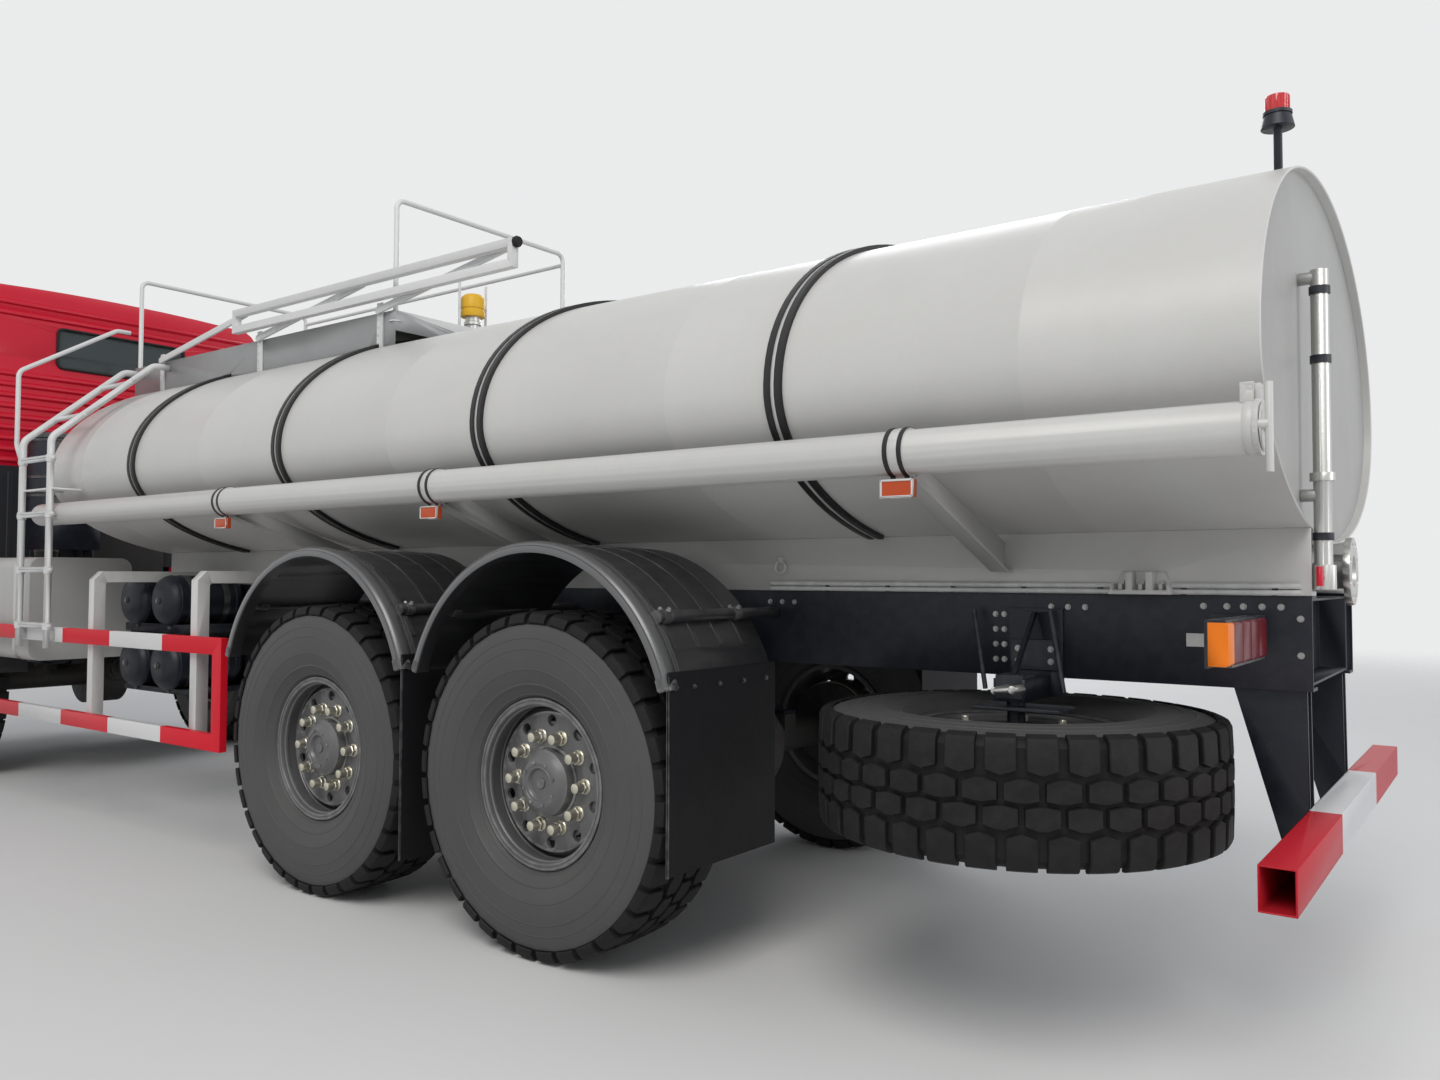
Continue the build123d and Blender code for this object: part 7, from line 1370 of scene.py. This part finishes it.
def cab_pick(middle, normal):
    """1 for faces that look into the cab, 2 for its underside, 0 for the painted outside."""
    if normal.z < -0.7 and middle.z < 1.6:
        return 2
    within = (CAB_REAR_X + 0.012 < middle.x < CAB_FRONT_X - 0.012 - max(0.0, middle.z - 2.33) * 0.21
              and abs(middle.y) < side_y(middle.z) - 0.01 and 1.42 < middle.z < 3.425)
    return 1 if within and normal.dot(CAB_MIDDLE - middle) > 0 else 0


def screen_x(z):
    """X of the windscreen's outer face at a height."""
    return CAB_FRONT_X - (z - 2.33) * 0.195 / 0.93


def seal(name, path, body, radius=0.01):
    """A closed rubber seal along a path."""
    shape = Shape().tube(path, radius, steps=10, closed=True)
    piece(name, shape, ["seal_rubber"], body, angle=50)


class TANKER_OT_cab(bpy.types.Operator):
    """Adds the cab shell's finish, rear ribs, seals, wipers, rails, lamps, grille and mirrors"""
    bl_idname = "tanker.cab"
    bl_label = "Cab Shell"
    bl_options = {"REGISTER", "UNDO"}

    def execute(self, context):
        rounding = 0.006 * context.scene.tanker_sizes.edge_rounding
        cad_copy("cab_shell", "cab_shell_finish", ["cab_red", "dash_plastic", "cab_dark"], "cab", rounding,
                 pick=cab_pick)
        cad_copy("cab_roof", "cab_roof_finish", ["cab_red", "box_grey", "cab_dark"], "cab", rounding,
                 pick=cab_pick)
        for name in ("cab_glass", "door_glass_left", "door_glass_right"):
            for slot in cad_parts[name].material_slots:
                slot.material = FINISHES["window_glass"]
        for name, foot, count, half in (("cab_rear_ribs", 2.15, 9, 1.08), ("cab_rear_upper_ribs", 3.186, 2, 1.02)):
            rib = Shape().prism([(0.001, foot), (-0.014, foot + 0.014), (-0.014, foot + 0.034), (0.001, foot + 0.048)],
                                -half, half, "Y", 0, Matrix.Translation((CAB_REAR_X, 0, 0)))
            repeated(name, rib, "cab_red", "cab", count, step=(0, 0, 0.076), bevel=0.003)
        panel = Shape().block((CAB_REAR_X - 0.004, CAB_REAR_X + 0.001), (-1.12, 1.12), (1.43, 2.13))
        piece("cab_rear_cover", panel, ["cab_dark"], "cab", bevel=0.002)
        ridge = Shape().prism([(0.0, -0.018), (-0.006, -0.01), (-0.006, 0.01), (0.0, 0.018)], 1.47, 2.09, "Z", 0,
                              Matrix.Translation((CAB_REAR_X - 0.0035, -1.05, 0)))
        repeated("cab_rear_cover_ribs", ridge, "cab_dark", "cab", 15, step=(0, 0.15, 0), bevel=0.002)
        x = CAB_REAR_X - 0.001
        seal("cab_rear_window_seal", rounded_loop([(x, -0.461, 2.864), (x, 0.461, 2.864), (x, 0.461, 3.151),
                                                   (x, -0.461, 3.151)], 0.045), "cab")
        low, high = 2.389, 3.131
        seal("windscreen_seal", rounded_loop([(screen_x(low), -1.011, low), (screen_x(low), 1.011, low),
                                              (screen_x(high), 1.011, high), (screen_x(high), -1.011, high)], 0.06),
             "cab", 0.012)
        arms, blades = [], Shape()
        half = Vector((0.02, -0.1, -0.09)).normalized() * 0.26
        for y in (-0.78, 0.1):
            arms.append([(4.862, y, 2.352), (screen_x(2.46) + 0.022, y + 0.136, 2.44),
                         (screen_x(2.8) + 0.016, y + 0.459, 2.79)])
            tip = Vector((screen_x(2.8) + 0.007, y + 0.459, 2.79))
            blades.tube([tip - half, tip + half], 0.0,
                        profile=[(-0.006, -0.009), (0.006, -0.009), (0.003, 0.009), (-0.003, 0.009)])
        bars("wiper_arms", arms, 0.006, "seal_rubber", "cab", 8)
        piece("wiper_blades", blades, ["seal_rubber"], "cab")
        rails = []
        for side in (-1, 1):
            y = side * (side_y(2.0) + 0.045)
            rails.append(bent([(3.445, side * 1.199, 1.75), (3.445, y, 1.75), (3.445, y, 2.18),
                               (3.445, side * 1.199, 2.18)], 0.03))
            rails.append(bent([(4.83, side * 0.62, 2.33), (4.896, side * 0.62, 2.33), (4.896, side * 0.98, 2.33),
                               (4.83, side * 0.98, 2.33)], 0.03))
        bars("cab_grab_rails", rails, 0.0105, "seal_rubber", "cab", 12)
        lamps = Shape()
        for side in (-1, 1):
            lamps.block((4.868, 4.886), (side * 0.905 - 0.06, side * 0.905 + 0.06), (2.13, 2.19))
            lamps.block((4.64, 4.694), (side * 0.7 - 0.05, side * 0.7 + 0.05), (3.243, 3.272))
        piece("cab_marker_lamps", lamps, ["lens_amber"], "cab", bevel=0.004)
        cad_copy("cab_grille", "cab_grille_finish", ["moulded_black"], "cab", 0.001)

        def mirror_pick(middle, normal):
            return 1 if normal.x < -0.9 and middle.x < 4.7465 and abs(middle.y) > 1.232 else 0

        cad_copy("mirrors", "mirrors_finish", ["moulded_black", "reflector"], "cab", 0.004,
                 pick=mirror_pick)
        return {"FINISHED"}


class TANKER_OT_doors(bpy.types.Operator):
    """Adds the doors with seals, handles and inner panels"""
    bl_idname = "tanker.doors"
    bl_label = "Doors"
    bl_options = {"REGISTER", "UNDO"}

    def execute(self, context):
        rounding = 0.003 * context.scene.tanker_sizes.edge_rounding
        outline = [(3.614, 2.329), (4.461, 2.329), (4.326, 3.096), (3.614, 3.096)]
        for name, side in (("door_left", 1), ("door_right", -1)):
            cad_copy(name, f"{name}_finish", ["cab_red", "dash_plastic", "cab_dark"], name, rounding,
                     pick=cab_pick)
            seal(f"{name}_window_seal", rounded_loop([(x, side * (side_y(z) - 0.002), z) for x, z in outline], 0.03),
                 name, 0.008)
            parts = Shape().block((3.585, 3.765), side_span(side, 1.2, 1.204), (2.085, 2.17))
            parts.turned([(0.0, 0.0), (0.011, 0.0), (0.011, 0.005), (0.0, 0.005)], 20, 0,
                         quarter_turned((3.61, side * 1.2035, 2.15), "X", -side))
            piece(f"{name}_handle_plate", parts, ["moulded_black"], name, bevel=0.0015)
            swage = Shape()
            for z in (1.76, 1.96):
                swage.block((3.57, 4.505), side_span(side, 1.1995, 1.2055), (z - 0.016, z + 0.016))
            piece(f"{name}_swages", swage, ["cab_red"], name, bevel=0.005, segments=3)
            inner = Shape().block((3.59, 4.5), side_span(side, 1.143, 1.155), (1.56, 2.21))
            inner.block((3.78, 4.25), side_span(side, 1.095, 1.143), (1.96, 2.01))
            piece(f"{name}_inner_panel", inner, ["dash_plastic"], name, bevel=0.004)
        return {"FINISHED"}


def pad(name, centre, size, turn, body, replaces, grow=0.01):
    """A stuffed pad: a rounded block blown up as cloth, held to a small swell."""
    work = bmesh.new()
    bmesh.ops.create_cube(work, size=1.0)
    bmesh.ops.scale(work, vec=[length - 2 * grow for length in size], verts=work.verts)
    bmesh.ops.bevel(work, geom=work.edges[:], offset=min(size) * 0.24, segments=4, profile=0.6, affect="EDGES")
    bmesh.ops.transform(work, matrix=Matrix.Translation(centre) @ turn, verts=work.verts)
    mesh = bpy.data.meshes.new(name)
    work.to_mesh(mesh)
    work.free()
    mesh.materials.append(FINISHES["seat_cloth"])
    obj = linked(name, mesh)
    remesh = obj.modifiers.new("Even Faces", "REMESH")
    remesh.mode = "VOXEL"
    remesh.voxel_size = 0.01
    finished_mesh(obj)
    start = [v.co.copy() for v in obj.data.vertices]
    cloth = obj.modifiers.new("Stuffing", "CLOTH")
    cloth.settings.use_pressure = True
    cloth.settings.uniform_pressure_force = 4.0
    cloth.settings.effector_weights.gravity = 0.0
    cloth.point_cache.frame_start = 1
    cloth.point_cache.frame_end = 20
    for number in range(1, 21):
        bpy.context.scene.frame_set(number)
    finished_mesh(obj)
    for vertex, first in zip(obj.data.vertices, start):
        move = vertex.co - first
        if move.length > grow:
            vertex.co = first + move.normalized() * grow
    bpy.context.scene.frame_set(1)
    smooth = obj.modifiers.new("Soft Skin", "SUBSURF")
    smooth.levels = smooth.render_levels = 1
    finished_mesh(obj)
    obj.data.polygons.foreach_set("use_smooth", [True] * len(obj.data.polygons))
    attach(obj, body)
    if replaces:
        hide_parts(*replaces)
    return obj


class TANKER_OT_interior(bpy.types.Operator):
    """Adds the seats, dash and steering wheel"""
    bl_idname = "tanker.interior"
    bl_label = "Cab Interior"
    bl_options = {"REGISTER", "UNDO"}

    def execute(self, context):
        shape = Shape()
        for side in (-1, 1):
            y = side * 0.7
            label = "left" if side > 0 else "right"
            shape.block((3.43, 3.82), (y - 0.19, y + 0.19), (CAB_FLOOR_Z, CAB_FLOOR_Z + 0.36))
            shape.block((3.385, 3.88), (y - 0.225, y + 0.225), (CAB_FLOOR_Z + 0.36, CAB_FLOOR_Z + 0.4235))
            pad(f"seat_cushion_{label}", (3.635, y, CAB_FLOOR_Z + 0.48), (0.52, 0.49, 0.12), Matrix.Identity(4),
                "cab", ("cab_seats",) if side > 0 else ())
            lean = Matrix.Rotation(math.radians(-7.6), 4, "Y")
            pad(f"seat_back_{label}", (3.392, y, CAB_FLOOR_Z + 0.845), (0.12, 0.47, 0.6), lean, "cab", ())
        piece("seat_bases", shape, ["dash_plastic"], "cab", bevel=0.012, segments=3)
        dash = Shape()
        x = DASH_FRONT_X
        dash.prism([(x - 0.3, 2.12), (x, 2.12), (x, 2.31), (x - 0.12, 2.33), (x - 0.3, 2.29)], -1.0, 1.0,
                   "Y")
        dash.prism([(x - 0.306, 2.19), (x - 0.298, 2.19), (x - 0.298, 2.285), (x - 0.306, 2.28)], 0.45, 0.95, "Y",
                   1)
        piece("dash_body", dash, ["dash_plastic", "seal_rubber"], "cab", bevel=0.012, segments=3)
        dials = Shape()
        for y, radius in ((0.6, 0.036), (0.7, 0.026), (0.8, 0.036)):
            dials.turned([(0.0, 0.0), (radius, 0.0), (radius, 0.004), (radius - 0.003, 0.005), (radius - 0.004, 0.002),
                          (0.0, 0.002)], 32, 0, quarter_turned((x - 0.306, y, 2.236), "Y", -1))
        piece("dash_dials", dials, ["reflector"], "cab")
        wheel = Shape()
        centre = Vector((x - 0.48, 0.7, 2.338))
        turn = Matrix.Translation(centre) @ Vector((-0.785, 0, 0.62)).to_track_quat("Z", "Y").to_matrix().to_4x4()
        wheel.turned([(0.21 + 0.0145 * math.cos(TAU * i / 12), 0.0145 * math.sin(TAU * i / 12)) for i in range(12)],
                     56, 0, turn, closed_profile=True)
        for i in range(4):
            spoke = turn @ Matrix.Rotation(TAU * i / 4, 4, "Z")
            wheel.block((0.03, 0.204), (-0.017, 0.017), (-0.005, 0.005), 0, spoke)
        wheel.turned([(0.0, -0.012), (0.052, -0.012), (0.056, 0.0), (0.046, 0.012), (0.0, 0.016)], 32, 0, turn)
        wheel.rod((x - 0.484, 0.7, 2.341), (x - 0.285, 0.7, 2.184), 0.028, 0, 24)
        piece("steering_wheel", wheel, ["dash_plastic"], "cab", angle=40)
        return {"FINISHED"}


class TANKER_OT_front(bpy.types.Operator):
    """Adds the headlamps with bowls, lenses and indicators"""
    bl_idname = "tanker.front"
    bl_label = "Headlamps"
    bl_options = {"REGISTER", "UNDO"}

    def execute(self, context):
        front, height = 4.904, 0.86
        # Columns: Y of the bowl's middle, its radius
        lamps = ((0.722, 0.062), (0.841, 0.044))

        def bowl_pick(middle, normal):
            within = any(math.hypot(abs(middle.y) - y, middle.z - height) < radius - 0.002 for y, radius in lamps)
            return 1 if within and middle.x < front - 0.0005 else 0

        cad_copy("headlamps", "headlamp_units", ["moulded_black", "reflector"], "chassis",
                 pick=bowl_pick, angle=40)
        bulbs, lenses = Shape(), Shape()
        for side in (-1, 1):
            for y, radius in lamps:
                turn = quarter_turned((front, side * y, height), "Y")
                for share in (0.93, 0.8):
                    bulbs.turned([(radius * share, -0.006), (radius * share - 0.0015, -0.004),
                                  (radius * share - 0.003, -0.006)], 48, 0, turn, closed_profile=True)
                rim = radius - 0.0015
                lenses.turned([(rim, -0.003), (rim, 0.0), (rim * 0.8, 0.0026), (rim * 0.45, 0.0043), (0.0, 0.005),
                               (0.0, 0.003), (rim * 0.45, 0.0023), (rim * 0.8, 0.0006), (rim * 0.96, -0.003)],
                              48, 0, turn)
                bulbs.turned([(radius + 0.0045, -0.001), (radius + 0.0045, 0.001), (radius + 0.001, 0.0016),
                              (radius - 0.0012, 0.0004), (radius - 0.0012, -0.001)], 48, 1, turn, closed_profile=True)
        piece("headlamp_rings", bulbs, ["reflector", "moulded_black"], "chassis", angle=30)
        piece("headlamp_lenses", lenses, ["lens_clear"], "chassis", angle=30)
        amber = Shape()
        for side in (-1, 1):
            amber.block((front - 0.001, front + 0.004), (side * 0.778 - 0.006, side * 0.778 + 0.006), (0.905, 0.94))
        piece("front_indicators", amber, ["lens_amber"], "chassis", bevel=0.002)
        slots = Shape()
        for i in range(3):
            slots.block((4.905, 4.9098), (-0.52, 0.52), (0.965 + 0.03 * i, 0.981 + 0.03 * i))
        piece("bumper_slots", slots, ["seal_rubber"], "chassis")
        return {"FINISHED"}


def seen_rays(tree):
    """1 for what the camera sees straight, in a reflection or through glass."""
    rays = node(tree, "ShaderNodeLightPath")
    direct = math_node(tree, "ADD", rays.outputs["Is Camera Ray"], rays.outputs["Is Glossy Ray"])
    return math_node(tree, "ADD", direct, rays.outputs["Is Transmission Ray"], clamp=True)


class TANKER_OT_stage(bpy.types.Operator):
    """Adds the pale floor, soft lights and the photograph's camera"""
    bl_idname = "tanker.stage"
    bl_label = "Stage"
    bl_options = {"REGISTER", "UNDO"}

    def execute(self, context):
        scene = context.scene
        mesh = bpy.data.meshes.new("floor")
        half = 60.0
        mesh.from_pydata([(-half, -half, 0), (half, -half, 0), (half, half, 0), (-half, half, 0)], [], [(0, 1, 2, 3)])
        floor = linked("floor", mesh)
        material, tree, shader = new_material("floor_pale")
        shader.inputs["Roughness"].default_value = 0.9
        shader.inputs["Specular IOR Level"].default_value = 0.2
        place = node(tree, "ShaderNodeTexCoord").outputs["Object"]
        cloud = node(tree, "ShaderNodeTexNoise", [("Vector", place), ("Scale", 0.8), ("Detail", 6.0)]).outputs["Fac"]
        colour = mix_colour(tree, cloud, rgb((0.74, 0.74, 0.735)), rgb((0.78, 0.78, 0.775)))
        tree.links.new(colour, shader.inputs["Base Color"])
        # Far away the floor lets the pale sky show, so that no horizon line is left
        far = node(tree, "ShaderNodeVectorMath", [(0, place)], operation="LENGTH").outputs["Value"]
        fade = node(tree, "ShaderNodeMapRange", [("Value", far), ("From Min", 8.0), ("From Max", 22.0)],
                    interpolation_type="SMOOTHSTEP").outputs[0]
        clear = node(tree, "ShaderNodeBsdfTransparent")
        mixed = node(tree, "ShaderNodeMixShader", [(0, math_node(tree, "MULTIPLY", fade, seen_rays(tree))),
                                                   (1, shader.outputs[0]), (2, clear.outputs[0])])
        tree.links.new(mixed.outputs[0], tree.nodes["Material Output"].inputs["Surface"])
        mesh.materials.append(material)
        world = bpy.data.worlds.new("soft_sky")
        scene.world = world
        world.use_nodes = True
        tree = world.node_tree
        ground = tree.nodes["Background"]
        ground.inputs["Color"].default_value = rgb((0.86, 0.89, 0.93))
        ground.inputs["Strength"].default_value = 0.45
        seen = node(tree, "ShaderNodeBackground", [("Color", rgb((0.9, 0.905, 0.91))), ("Strength", 0.92)])
        mixed = node(tree, "ShaderNodeMixShader", [(0, seen_rays(tree)), (1, ground.outputs[0]),
                                                   (2, seen.outputs[0])])
        tree.links.new(mixed.outputs[0], tree.nodes["World Output"].inputs["Surface"])
        # Columns: name, place, aim, size, power share, colour
        lamps = [
            ("sky_light", (-6.0, 9.0, 11.0), (-0.5, 0.0, 1.4), 9.0, 3.4, (1.0, 0.98, 0.95)),
            ("rear_light", (-14.0, -1.0, 5.0), (-3.0, 0.0, 1.5), 7.0, 1.0, (0.95, 0.97, 1.0)),
            ("right_light", (3.0, -12.0, 8.0), (0.5, 0.0, 1.4), 8.0, 1.8, (0.95, 0.97, 1.0)),
        ]
        for name, spot, aim, width, share, tint in lamps:
            light = bpy.data.lights.new(name, "AREA")
            light.shape = "DISK"
            light.size = width
            light.energy = scene.tanker_sizes.lamp_strength * share
            light.color = tint
            along = Vector(aim) - Vector(spot)
            linked(name, light).matrix_world = (Matrix.Translation(spot) @
                                                along.to_track_quat("-Z", "Y").to_matrix().to_4x4())
        data = bpy.data.cameras.new("photo_camera")
        data.sensor_width = 36.0
        data.lens = 27.4
        data.clip_end = 200.0
        camera = linked("photo_camera", data)
        forward = Vector((0.5945, -0.8034, 0.0346)).normalized()
        upward = Vector((-0.0183, 0.0295, 0.9994))
        right = forward.cross(upward).normalized()
        upward = right.cross(forward)
        turn = Matrix((right, upward, -forward)).transposed().to_4x4()
        camera.matrix_world = Matrix.Translation((-5.348, 3.945, 1.358)) @ turn
        scene.camera = camera
        scene.view_settings.view_transform = "Standard"
        return {"FINISHED"}


OPERATORS = [
    TANKER_OT_finishes, TANKER_OT_chassis, TANKER_OT_wheels, TANKER_OT_tank, TANKER_OT_guards, TANKER_OT_tube,
    TANKER_OT_side_guards, TANKER_OT_reservoirs, TANKER_OT_top_gear, TANKER_OT_rear, TANKER_OT_frame_details,
    TANKER_OT_boxes, TANKER_OT_cab, TANKER_OT_doors, TANKER_OT_interior, TANKER_OT_front, TANKER_OT_stage]


class TANKER_PT_panel(bpy.types.Panel):
    """Lists the truck's pieces in the sidebar"""
    bl_label = "Tanker Truck"
    bl_idname = "TANKER_PT_panel"
    bl_space_type = "VIEW_3D"
    bl_region_type = "UI"
    bl_category = "Tanker Truck"

    def draw(self, context):
        layout = self.layout
        for name in TankerSizes.__annotations__:
            layout.prop(context.scene.tanker_sizes, name)
        for operator in OPERATORS:
            layout.operator(operator.bl_idname)


CLASSES = [TankerSizes, *OPERATORS, TANKER_PT_panel]


def register():
    for entry in CLASSES:
        bpy.utils.register_class(entry)
    bpy.types.Scene.tanker_sizes = bpy.props.PointerProperty(type=TankerSizes)


def unregister():
    del bpy.types.Scene.tanker_sizes
    for entry in reversed(CLASSES):
        bpy.utils.unregister_class(entry)


def main():
    register()
    for operator in OPERATORS:
        group, name = operator.bl_idname.split(".")
        getattr(getattr(bpy.ops, group), name)()


if __name__ == "__main__":
    main()
